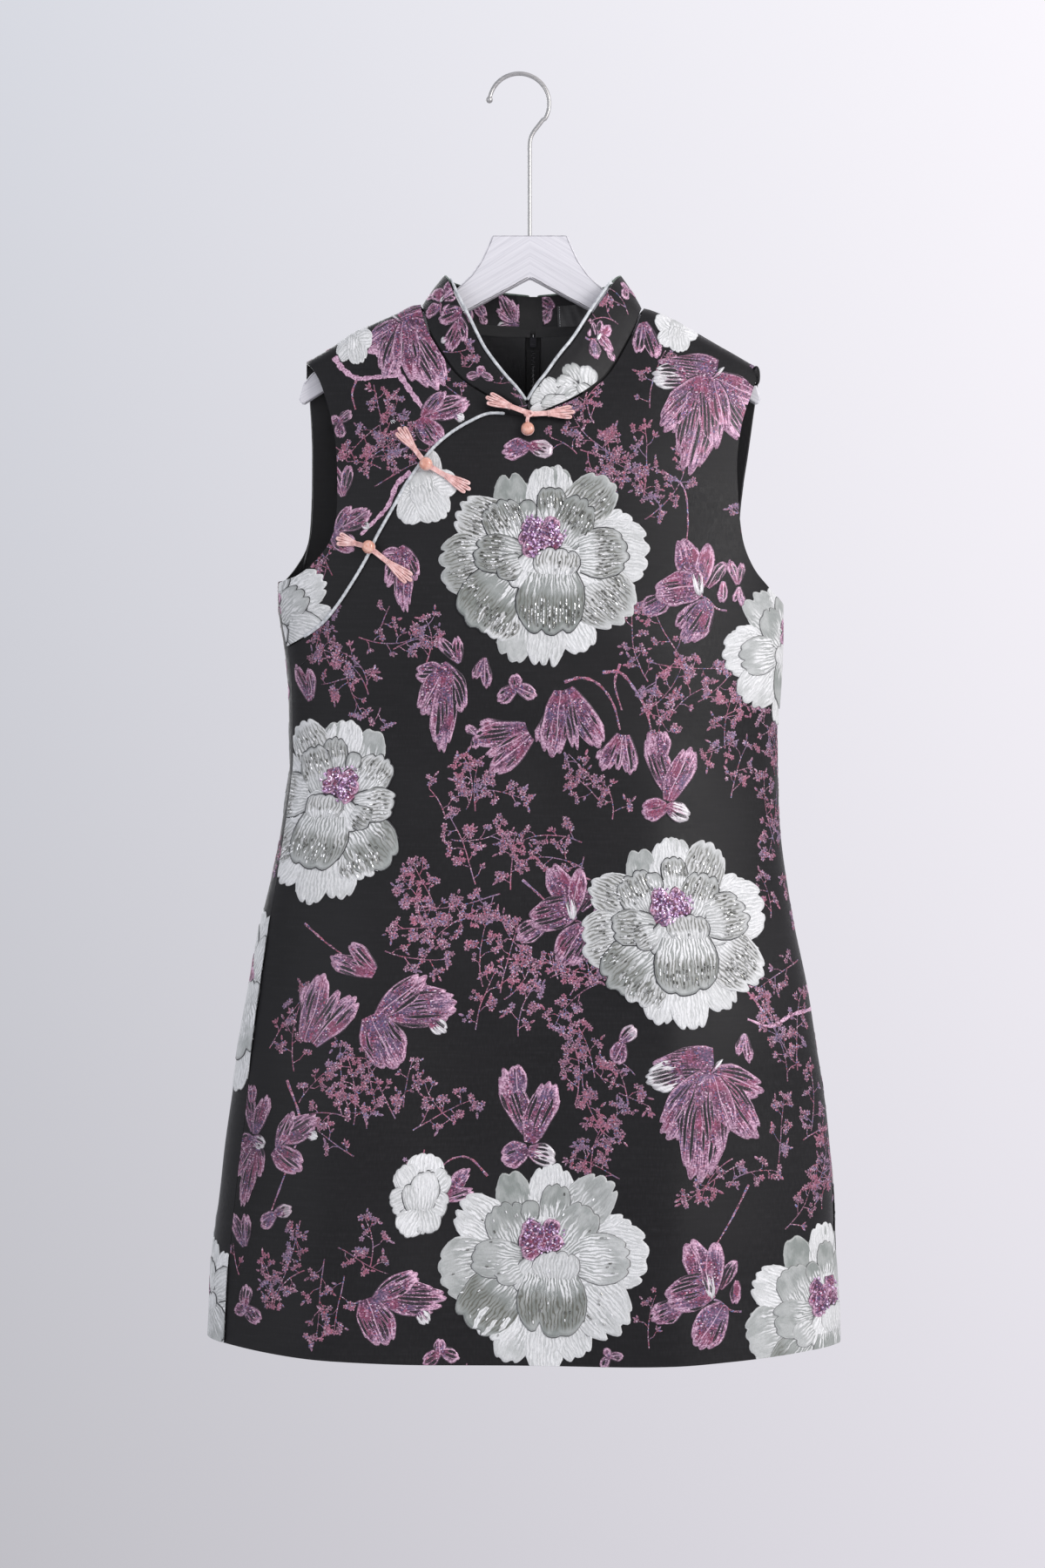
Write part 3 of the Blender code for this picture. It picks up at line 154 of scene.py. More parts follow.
NECK_FRONT_R = [
    dict(x=0.1024, z=-0.1926), dict(x=0.0970, z=-0.2066), dict(x=0.0899, z=-0.2214),
    dict(x=0.0718, z=-0.2521), dict(x=0.0499, z=-0.2693), dict(x=0.0255, z=-0.2802),
    dict(x=0.0058, z=-0.2868),
]
NECK_BACK_L = [
    dict(x=-0.0815, z=-0.1896), dict(x=-0.0698, z=-0.1990), dict(x=-0.0482, z=-0.2051),
    dict(x=-0.0192, z=-0.2084), dict(x=0.0115, z=-0.2092),
]
NECK_BACK_R = [
    dict(x=0.1024, z=-0.1926), dict(x=0.0929, z=-0.1990), dict(x=0.0749, z=-0.2056),
    dict(x=0.0460, z=-0.2086), dict(x=0.0115, z=-0.2092),
]
PLACKET = [
    dict(x=0.0052, z=-0.2872), dict(x=-0.0180, z=-0.2848), dict(x=-0.0286, z=-0.2862),
    dict(x=-0.0393, z=-0.2914), dict(x=-0.0501, z=-0.2976), dict(x=-0.0624, z=-0.3066),
    dict(x=-0.0730, z=-0.3172), dict(x=-0.0837, z=-0.3311), dict(x=-0.0929, z=-0.3448),
    dict(x=-0.1005, z=-0.3587), dict(x=-0.1083, z=-0.3723), dict(x=-0.1160, z=-0.3862),
    dict(x=-0.1222, z=-0.3999), dict(x=-0.1298, z=-0.4136), dict(x=-0.1374, z=-0.4256),
    dict(x=-0.1468, z=-0.4394), dict(x=-0.1595, z=-0.4545), dict(x=-0.1739, z=-0.4648),
    dict(x=-0.1891, z=-0.4730),
]
SIDE_L = [
    dict(z=-0.4202, w=-0.945), dict(z=-0.4730, w=-0.925), dict(z=-0.5500, w=-0.925),
    dict(z=-0.6200, w=-0.918), dict(z=-0.7300, w=-0.890), dict(z=-0.8700, w=-0.870),
    dict(z=-1.0600, w=-0.875),
]
SIDE_R = [
    dict(z=-0.4378, w=0.962), dict(z=-0.5200, w=0.970), dict(z=-0.7000, w=0.975),
    dict(z=-1.0600, w=0.968),
]
HEM = [
    dict(w=-2.00, z=-1.0470), dict(w=-1.50, z=-1.0450), dict(w=-1.00, z=-1.0390),
    dict(w=-0.90, z=-1.0405), dict(w=-0.60, z=-1.0470), dict(w=-0.20, z=-1.0515),
    dict(w=0.20, z=-1.0520), dict(w=0.60, z=-1.0490), dict(w=0.98, z=-1.0440),
    dict(w=1.50, z=-1.0460), dict(w=2.00, z=-1.0470),
]
COLLAR_L = [
    dict(t=0.00, dx=0.0010, dy=-0.0020, dz=0.0300), dict(t=0.15, dx=0.0020, dy=-0.0020, dz=0.0325),
    dict(t=0.30, dx=0.0080, dy=-0.0030, dz=0.0330), dict(t=0.45, dx=0.0236, dy=-0.0020, dz=0.0238),
    dict(t=0.58, dx=0.0268, dy=-0.0030, dz=0.0225), dict(t=0.72, dx=0.0262, dy=-0.0040, dz=0.0155),
    dict(t=0.86, dx=0.0172, dy=-0.0035, dz=0.0122), dict(t=0.95, dx=0.0090, dy=-0.0025, dz=0.0080),
    dict(t=1.00, dx=0.0030, dy=-0.0020, dz=0.0060),
]
COLLAR_R = [
    dict(t=0.00, dx=-0.0010, dy=-0.0020, dz=0.0300), dict(t=0.15, dx=-0.0020, dy=-0.0020, dz=0.0325),
    dict(t=0.30, dx=-0.0080, dy=-0.0030, dz=0.0330), dict(t=0.44, dx=-0.0240, dy=-0.0020, dz=0.0270),
    dict(t=0.57, dx=-0.0278, dy=-0.0030, dz=0.0290), dict(t=0.72, dx=-0.0300, dy=-0.0040, dz=0.0260),
    dict(t=0.86, dx=-0.0205, dy=-0.0035, dz=0.0185), dict(t=0.95, dx=-0.0100, dy=-0.0025, dz=0.0105),
    dict(t=1.00, dx=-0.0010, dy=-0.0020, dz=0.0060),
]
HOOK_NECK = [
    dict(x=0.0191, z=-0.0367), dict(x=0.0152, z=-0.0418), dict(x=0.0116, z=-0.0465),
    dict(x=0.0092, z=-0.0515), dict(x=0.0084, z=-0.0570), dict(x=0.0084, z=-0.0640),
]
FROGS = [
    dict(n=1, bx=0.0067, bz=-0.2985, kx=0.0074, kz=-0.2868, lx=-0.0258, lz=-0.2742, rx=0.0433, rz=-0.2852, off_l=0.0064, off_r=0.0040),
    dict(n=2, bx=-0.0751, bz=-0.3272, kx=-0.0751, kz=-0.3272, lx=-0.0973, lz=-0.2975, rx=-0.0408, rz=-0.3470, off_l=0.0010, off_r=0.0010),
    dict(n=3, bx=-0.1209, bz=-0.3943, kx=-0.1209, kz=-0.3943, lx=-0.1472, lz=-0.3862, rx=-0.0878, rz=-0.4208, off_l=0.0010, off_r=0.0010),
]


# ------------------------------------------------------------- table readers
class Curve:
    """Smooth monotone reading of a table column, held flat past its ends."""

    def __init__(self, rows, key, col):
        x = np.array([r[key] for r in rows], float)
        y = np.array([r[col] for r in rows], float)
        if x[0] > x[-1]:
            x, y = x[::-1].copy(), y[::-1].copy()
        s = np.diff(y) / np.diff(x)
        m = np.zeros_like(y)
        m[0], m[-1] = s[0], s[-1]
        for k in range(1, len(x) - 1):
            if s[k - 1] * s[k] > 0:
                h0, h1 = x[k] - x[k - 1], x[k + 1] - x[k]
                w0, w1 = 2 * h1 + h0, h1 + 2 * h0
                m[k] = (w0 + w1) / (w0 / s[k - 1] + w1 / s[k])
        self.x, self.y, self.m = x, y, m

    def __call__(self, at):
        at = np.clip(np.asarray(at, float), self.x[0], self.x[-1])
        i = np.clip(np.searchsorted(self.x, at, side="left") - 1, 0, len(self.x) - 2)
        h = self.x[i + 1] - self.x[i]
        t = (at - self.x[i]) / h
        m0, m1 = self.m[i] * h, self.m[i + 1] * h
        return ((2 * t**3 - 3 * t**2 + 1) * self.y[i] + (t**3 - 2 * t**2 + t) * m0
                + (-2 * t**3 + 3 * t**2) * self.y[i + 1] + (t**3 - t**2) * m1)


def path(rows, step):
    """Points along a table's (x, z) curve, smooth, about step apart."""
    pts = [np.array((r["x"], r["z"])) for r in rows]
    out = [pts[0]]
    for i in range(len(pts) - 1):
        p0 = pts[i - 1] if i else pts[i] * 2 - pts[i + 1]
        p1, p2 = pts[i], pts[i + 1]
        p3 = pts[i + 2] if i + 2 < len(pts) else pts[i + 1] * 2 - pts[i]
        k = max(1, round(float(np.linalg.norm(p2 - p1)) / step))
        for j in range(1, k + 1):
            t = j / k
            out.append(0.5 * (2 * p1 + (p2 - p0) * t + (2 * p0 - 5 * p1 + 4 * p2 - p3) * t * t
                              + (3 * p1 - p0 - 3 * p2 + p3) * t**3))
    return np.array(out)


def smooth_step(a, b, v):
    t = np.clip((v - a) / (b - a), 0, 1)
    return t * t * (3 - 2 * t)


# -------------------------------------------------------- the body's surface
def make_section(n, aspect, steps=900):
    a = 0.5 * math.pi * np.arange(steps + 1) / steps
    x = np.sin(a) ** (2 / n)
    y = np.maximum(0.0, np.cos(a)) ** (2 / n)
    d = np.hypot(np.diff(x), np.diff(y) * aspect)
    u = np.concatenate([[0], np.cumsum(d)])
    return x, y, u / u[-1]


SEC_X, SEC_Y, SEC_U = make_section(SECTION_N, 0.27)
RING = {c: Curve(RINGS, "z", c) for c in ("xc", "a", "bf", "bb")}
SHOULDER_Z = Curve(SHOULDER, "x", "z")
HEM_Z = Curve(HEM, "w", "z")
SIDE_L_W = Curve(SIDE_L, "z", "w")
SIDE_R_W = Curve(SIDE_R, "z", "w")


def section(w):
    a = np.abs(w)
    q = np.where(a > 1.0, 2.0 - a, a)
    q = np.clip(np.abs(q), 0, 1)
    x = np.interp(q, SEC_U, SEC_X)
    y = np.interp(q, SEC_U, SEC_Y)
    return np.copysign(x, w), np.where(a > 1.0, y, -y)


def fold(w, z):
    out = np.zeros(np.broadcast(w, z).shape)
    for f in FOLDS:
        g = np.clip((f["z0"] - z) / (f["z0"] - f["z1"]), 0, 1)
        g = g * g * (3 - 2 * g)
        wc = f["w0"] + (f["w1"] - f["w0"]) * g
        d = np.minimum(np.abs(w - wc) / f["reach"], 1.0)
        e = 0.14
        s = 1 - (np.sqrt(d * d + e * e) - e) / (math.sqrt(1 + e * e) - e)
        out += f["rise"] * g * np.maximum(s, 0) ** 1.5
    return out


def body(w, z):
    """Outer face of the dress, as arrays: w round it, z its height."""
    w = np.asarray(w, float)
    z = np.asarray(z, float)
    # past centre back the cloth runs on into the other half
    w = np.where(w > 2.0, w - 4.0, np.where(w < -2.0, w + 4.0, w))
    w, z = np.broadcast_arrays(w, z)
    sx, sy = section(w)
    x = RING["xc"](z) + RING["a"](z) * sx
    t = np.maximum(0.0, SHOULDER_Z(x) - z)
    r = np.minimum(t / ARCH_R, 1.0)
    arch = ARCH_R * np.sqrt(np.maximum(0.0, 1 - (1 - r) ** 2))
    q = np.minimum(t / DROP_H, 1.0)
    side = np.abs(sy)
    front = sy < 0
    ramp = np.where(front, 1 - (1 - q) ** 1.7, 1 - (1 - q) ** 1.8)
    depth = side * np.where(front, RING["bf"](z), RING["bb"](z)) + fold(w, z) * np.minimum(1.0, side * 1.6)
    out = depth * ramp + arch * (1 - ramp)
    return np.stack([x, np.copysign(out, sy), z], axis=-1)


def unit(v):
    return v / np.maximum(1e-12, np.linalg.norm(v, axis=-1, keepdims=True))


def body_normal(w, z):
    e, d = 2e-4, 2e-6
    zt = np.asarray(z, float) - d
    a = body(w + e, zt) - body(w - e, zt)
    b = body(w, zt - d) - body(w, zt + d)
    return unit(np.cross(b, a))


def wrinkle(w, z):
    """Small soft waves in the hanging cloth, as a distance out."""
    low = smooth_step(-0.42, -0.95, z)
    v = 0.00045 * np.sin(w * 9.1 + 2.2 * np.sin(z * 7.0)) * (0.3 + 0.7 * low)
    v += 0.00035 * np.sin(w * 17.3 + z * 6.0 + 1.1) * low
    v += 0.00028 * np.sin(z * 46.0 + 3.0 * np.sin(w * 4.0))
    v += 0.00022 * np.sin(z * 71.0 + w * 11.0)
    v += 0.0006 * np.exp(-((z + 0.455) / 0.03) ** 2) * np.sin(w * 5.0 + 0.6)
    return v


def on_cloth(w, z, off=0.0):
    w = np.asarray(w, float)
    z = np.asarray(z, float)
    off = np.asarray(off, float) + wrinkle(w, z)
    return body(w, z) + body_normal(w, z) * off[..., None]


def w_front(x, z):
    q = (np.asarray(x) - RING["xc"](z)) / RING["a"](z)
    return np.copysign(np.interp(np.minimum(1.0, np.abs(q)), SEC_X, SEC_U), q)


def w_back(x, z):
    w = w_front(x, z)
    return np.copysign(2.0 - np.abs(w), w)


def at_pixel(px, py):
    """The front cloth's (w, z) seen at a place of the 1200 x 1800 frame."""
    y = -0.06
    for _ in range(6):
        m = K * (1 + y / 2.5)
        x, z = 0.0025 + (px - 600) * m, EYE.z - (py - 900) * m
        w = float(w_front(x, z))
        y = float(body(w, z)[1])
    return w, z


def cloth_scale(w, z):
    """Metres of cloth in one unit of w."""
    a, b = body(w + 0.01, z), body(w - 0.01, z)
    return float(np.linalg.norm(a - b)) / 0.02


# -------------------------------------------------------------- mesh makers
rng = np.random.default_rng(20261124)


def new_object(name, verts, faces, mats, index=None, smooth=True, attrs=None, uv=None, angle=None):
    mesh = bpy.data.meshes.new(name)
    mesh.from_pydata(np.asarray(verts, float).tolist(), [], faces if isinstance(faces, list) else faces.tolist())
    for m in mats:
        mesh.materials.append(m)
    if index is not None:
        mesh.polygons.foreach_set("material_index", np.asarray(index, np.int32))
    for key, data in (attrs or {}).items():
        a = mesh.attributes.new(key, "FLOAT_VECTOR", "POINT")
        a.data.foreach_set("vector", np.asarray(data, np.float32).ravel())
    if uv is not None:
        layer = mesh.uv_layers.new(name="UVMap")
        loops = np.zeros(len(mesh.loops), np.int32)
        mesh.loops.foreach_get("vertex_index", loops)
        layer.data.foreach_set("uv", np.asarray(uv, np.float32)[loops].ravel())
    if smooth:
        mesh.shade_smooth()
        if angle:
            mesh.set_sharp_from_angle(angle=math.radians(angle))
    mesh.update()
    obj = bpy.data.objects.new(name, mesh)
    bpy.context.scene.collection.objects.link(obj)
    return obj


def segment_field(poly, pts):
    """Signed distance to a closed outline, positive inside."""
    a = np.asarray(poly, float)
    b = np.roll(a, -1, axis=0)
    d = b - a
    ln = np.maximum(1e-14, (d * d).sum(1))
    out = np.empty(len(pts))
    for i in range(0, len(pts), 4000):
        p = pts[i:i + 4000]
        ap = p[:, None, :] - a[None]
        t = np.clip((ap * d[None]).sum(2) / ln[None], 0, 1)
        q = ap - d[None] * t[..., None]
        dist = np.sqrt((q * q).sum(2)).min(1)
        cross = ((a[None, :, 1] > p[:, None, 1]) != (b[None, :, 1] > p[:, None, 1]))
        dy = np.where(np.abs(d[:, 1]) < 1e-14, 1e-14, d[:, 1])
        xi = a[None, :, 0] + (p[:, None, 1] - a[None, :, 1]) * (d[None, :, 0] / dy[None])
        inside = ((cross & (p[:, None, 0] < xi)).sum(1) % 2) == 1
        out[i:i + 4000] = np.where(inside, dist, -dist)
    return out


def triangulate(outline, points, clear):
    poly = np.asarray(outline, float)
    pts = np.asarray(points, float)
    if len(pts):
        pts = pts[segment_field(poly, pts) > clear]
    flat = [Vector(p) for p in poly.tolist()] + [Vector(p) for p in pts.tolist()]
    out = delaunay_2d_cdt(flat, [], [list(range(len(poly)))], 1, 1e-7)
    return np.array([tuple(v) for v in out[0]]), np.array([list(f) for f in out[2]], dtype=int)


def rim_edges(faces):
    """Edges used once, in the direction their face runs."""
    e = np.concatenate([faces[:, [0, 1]], faces[:, [1, 2]], faces[:, [2, 0]]])
    key = np.sort(e, axis=1)
    _, inv, count = np.unique(key, axis=0, return_inverse=True, return_counts=True)
    return e[count[inv.ravel()] == 1]


def shell(name, flat, tris, place, thickness, mats, push=0.0, rim=0.00012, uv=None, flip=False):
    """A closed wall with its outer face, inner face and a rounded rim.
    place(points, off) gives the surface; mats are the outer and inner cloth."""
    outer = place(flat, -push)
    mid = place(flat, -push - thickness / 2)
    inner = place(flat, -push - thickness)
    n = len(flat)
    edges = rim_edges(tris)
    # outward direction in the cloth at each rim point
    grow = np.zeros_like(flat)
    side = flat[edges[:, 1]] - flat[edges[:, 0]]
    nrm = np.stack([side[:, 1], -side[:, 0]], axis=1)
    nrm /= np.maximum(1e-12, np.linalg.norm(nrm, axis=1, keepdims=True))
    for k in (0, 1):
        np.add.at(grow, edges[:, k], nrm)
    a = flat[tris[:, 0]]
    area = np.cross(flat[tris[:, 1]] - a, flat[tris[:, 2]] - a).sum()
    if area < 0:
        grow = -grow
    ids = np.unique(edges)
    gl = grow[ids] / np.maximum(1e-9, np.linalg.norm(grow[ids], axis=1, keepdims=True))
    pushed = place(flat[ids] + gl * 0.001, -push - thickness / 2) - mid[ids]
    pushed = mid[ids] + unit(pushed) * rim
    back = {int(v): i for i, v in enumerate(ids)}
    verts = np.concatenate([outer, inner, pushed])
    faces = [list(map(int, f)) for f in tris] + [[int(i) + n for i in reversed(f)] for f in tris]
    index = [0] * len(tris) + [1] * len(tris)
    for a, b in edges:
        ma, mb = 2 * n + back[int(a)], 2 * n + back[int(b)]
        faces.append([int(b), int(a), ma, mb])
        faces.append([mb, ma, int(a) + n, int(b) + n])
        index += [0, 0]
    obj_uv = None
    if uv is not None:
        obj_uv = np.concatenate([uv, uv, uv[ids]])
    obj = new_object(name, verts, faces, mats, index, uv=obj_uv)
    bm = bmesh.new()
    bm.from_mesh(obj.data)
    bmesh.ops.recalc_face_normals(bm, faces=bm.faces)
    bm.to_mesh(obj.data)
    bm.free()
    obj.data.set_sharp_from_angle(angle=math.radians(60))
    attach(obj, GARMENT)
    return obj


def tube(name, pts, radius, mat, sides=10, closed=False, flat=1.0, normals=None, uv_len=None):
    """A round or flattened cord along points, with rounded ends, as one mesh."""
    pts = np.asarray(pts, float)
    n = len(pts)
    rad = np.broadcast_to(np.asarray(radius, float), (n,)).copy()
    tang = np.gradient(pts, axis=0)
    if closed:
        tang = np.roll(pts, -1, axis=0) - np.roll(pts, 1, axis=0)
    tang = unit(tang)
    if normals is None:
        ref = np.array((0.0, -1.0, 0.0))
        normals = np.broadcast_to(ref, (n, 3))
    nb = normals - tang * (normals * tang).sum(1, keepdims=True)
    bad = np.linalg.norm(nb, axis=1) < 1e-3
    if bad.any():
        alt = np.array((1.0, 0.0, 0.0))
        nb[bad] = alt - tang[bad] * (tang[bad] @ alt)[:, None]
    nb = unit(nb)
    bb = np.cross(tang, nb)
    ang = np.linspace(0, 2 * math.pi, sides, endpoint=False)
    if not closed:
        # rounded ends
        head, tail = [], []
        for f in (0.95, 0.75, 0.35):
            head.append((pts[0] - tang[0] * rad[0] * f, rad[0] * math.sqrt(1 - f * f), 0))
            tail.append((pts[-1] + tang[-1] * rad[-1] * f, rad[-1] * math.sqrt(1 - f * f), n - 1))
        tail.reverse()
        pts = np.concatenate([[h[0] for h in head], pts, [t[0] for t in tail]])
        rad = np.concatenate([[h[1] for h in head], rad, [t[1] for t in tail]])
        nb = np.concatenate([np.repeat(nb[:1], 3, 0), nb, np.repeat(nb[-1:], 3, 0)])
        bb = np.concatenate([np.repeat(bb[:1], 3, 0), bb, np.repeat(bb[-1:], 3, 0)])
        n = len(pts)
    ring = (nb[:, None, :] * (np.cos(ang)[None, :, None] * flat) + bb[:, None, :] * np.sin(ang)[None, :, None])
    verts = (pts[:, None, :] + ring * rad[:, None, None]).reshape(-1, 3)
    run = np.concatenate([[0], np.cumsum(np.linalg.norm(np.diff(pts, axis=0), axis=1))])
    uv = np.stack([np.repeat(run, sides), np.tile(ang / (2 * math.pi), n) * rad.max() * 6.28], axis=1)
    faces = []
    last = n if closed else n - 1
    for i in range(last):
        j2 = (i + 1) % n
        for j in range(sides):
            k = (j + 1) % sides
            faces.append([i * sides + j, i * sides + k, j2 * sides + k, j2 * sides + j])
    if not closed:
        faces.append(list(range(sides))[::-1])
        faces.append([(n - 1) * sides + j for j in range(sides)])
    obj = new_object(name, verts, faces, [mat], uv=uv)
    bm = bmesh.new()
    bm.from_mesh(obj.data)
    bmesh.ops.recalc_face_normals(bm, faces=bm.faces)
    bm.to_mesh(obj.data)
    bm.free()
    return obj


def joined(name, objects):
    """One piece from several."""
    deps = bpy.context.view_layer
    for o in bpy.data.objects:
        o.select_set(False)
    for o in objects:
        o.select_set(True)
    deps.objects.active = objects[0]
    bpy.ops.object.join()
    out = bpy.context.view_layer.objects.active
    out.name = name
    out.data.name = name
    return out
# the studio's backdrop tones, as 8-bit sRGB
WALL_LOW_LEFT = (191, 190, 196)
WALL_LOW_RIGHT = (225, 222, 230)
WALL_HIGH_LEFT = (216, 218, 226)
WALL_HIGH_RIGHT = (252, 249, 255)



# ---------------------------------------------------------------- materials
class Mat:
    """A node material, written as short calls."""

    def __init__(self, name, **sockets):
        self.m = bpy.data.materials.new(name)
        self.m.use_nodes = True
        self.t = self.m.node_tree
        self.t.nodes.clear()
        out = self.t.nodes.new("ShaderNodeOutputMaterial")
        self.p = self.t.nodes.new("ShaderNodeBsdfPrincipled")
        self.t.links.new(self.p.outputs[0], out.inputs[0])
        for key, value in sockets.items():
            self.p.inputs[key.replace("_", " ")].default_value = value

    def node(self, kind, ins=(), **props):
        n = self.t.nodes.new(kind)
        for key, value in props.items():
            setattr(n, key, value)
        for key, value in (ins.items() if isinstance(ins, dict) else enumerate(ins)):
            if value is None:
                continue
            if isinstance(value, bpy.types.NodeSocket):
                self.t.links.new(value, n.inputs[key])
            else:
                n.inputs[key].default_value = value
        return n

    def math(self, op, a, b=None, c=None, clamp=False):
        return self.node("ShaderNodeMath", (a, b, c), operation=op, use_clamp=clamp).outputs[0]

    def attr(self, name):
        a = self.node("ShaderNodeAttribute", attribute_name=name, attribute_type="GEOMETRY")
        s = self.node("ShaderNodeSeparateXYZ", (a.outputs["Vector"],))
        return a.outputs["Vector"], s.outputs[0], s.outputs[1], s.outputs[2]

    def vec(self, x=0.0, y=0.0, z=0.0):
        return self.node("ShaderNodeCombineXYZ", (x, y, z)).outputs[0]

    def scale(self, v, s):
        return self.node("ShaderNodeVectorMath", {0: v, 1: s}, operation="MULTIPLY").outputs[0]

    def noise(self, v, scale, detail=2.0, rough=0.5, warp=0.0):
        n = self.node("ShaderNodeTexNoise", {"Vector": v, "Scale": scale, "Detail": detail, "Roughness": rough,
                                            "Distortion": warp})
        return n.outputs[0]

    def white(self, v):
        n = self.node("ShaderNodeTexWhiteNoise", {"Vector": v}, noise_dimensions="3D")
        return n.outputs["Value"], n.outputs["Color"]

    def step(self, v, a, b, lo=0.0, hi=1.0):
        n = self.node("ShaderNodeMapRange", {0: v, 1: a, 2: b, 3: lo, 4: hi}, interpolation_type="SMOOTHSTEP")
        return n.outputs[0]

    def ramp(self, fac, stops, mode="LINEAR"):
        n = self.node("ShaderNodeValToRGB", (fac,))
        r = n.color_ramp
        r.interpolation = mode
        while len(r.elements) > 1:
            r.elements.remove(r.elements[-1])
        r.elements[0].position = stops[0][0]
        r.elements[0].color = (*stops[0][1], 1)
        for pos, col in stops[1:]:
            r.elements.new(pos).color = (*col, 1)
        return n.outputs[0]

    def mix(self, fac, a, b, kind="MIX"):
        n = self.node("ShaderNodeMix", data_type="RGBA", blend_type=kind)
        for i, v in ((0, fac), (6, a), (7, b)):
            if isinstance(v, bpy.types.NodeSocket):
                self.t.links.new(v, n.inputs[i])
            else:
                n.inputs[i].default_value = (*v, 1) if isinstance(v, tuple) and len(v) == 3 else v
        return n.outputs[2]

    def set(self, socket, value):
        if isinstance(value, bpy.types.NodeSocket):
            self.t.links.new(value, self.p.inputs[socket])
        else:
            self.p.inputs[socket].default_value = value
        return self

    def bump(self, height, distance, strength=1.0):
        n = self.node("ShaderNodeBump", {"Height": height, "Distance": distance, "Strength": strength})
        self.t.links.new(n.outputs[0], self.p.inputs["Normal"])
        return self

    def object(self):
        return self.node("ShaderNodeTexCoord").outputs["Object"]


def cloth_ground(name, base, rough, line=0.00055, sheen=0.0, spec=0.4):
    """Satin ground: fine diagonal float lines, faint slubs and soft uneven dye."""
    m = Mat(name, Sheen_Weight=sheen, Sheen_Roughness=0.45, Specular_IOR_Level=spec)
    c, x, y, _ = m.attr("cloth")
    diag = m.math("ADD", m.math("MULTIPLY", x, 2 * math.pi / line), m.math("MULTIPLY", y, 2 * math.pi / (line * 1.7)))
    line_v = m.math("SINE", diag)
    grain = m.noise(m.scale(c, (900, 160, 1)), 1.0, 2.0)
    slub = m.noise(m.scale(c, (36, 420, 1)), 1.0, 3.0, 0.6)
    cloud = m.noise(m.scale(c, (14, 9, 1)), 1.0, 2.0)
    mixv = m.math("MULTIPLY_ADD", grain, 0.5, m.math("MULTIPLY", slub, 0.5))
    col = m.ramp(mixv, [(0.30, tuple(v * 0.62 for v in base)), (0.52, base), (0.72, tuple(v * 1.75 + 0.001 for v in base))])
    col = m.mix(m.step(cloud, 0.35, 0.70, 0.0, 0.35), col, tuple(v * 1.5 for v in base))
    m.set("Base Color", col)
    m.set("Roughness", m.step(grain, 0.3, 0.7, rough - 0.06, rough + 0.08))
    m.bump(m.math("ADD", m.math("MULTIPLY", line_v, 0.35), m.math("MULTIPLY", slub, 0.6)), 0.00010, 0.55)
    return m.m


BROCADE = cloth_ground("brocade_ground", (0.0070, 0.0067, 0.0076), 0.40, sheen=0.0, spec=0.20)
LINING_M = cloth_ground("lining_satin", (0.0080, 0.0078, 0.0085), 0.36, 0.0004, 0.0, 0.5)


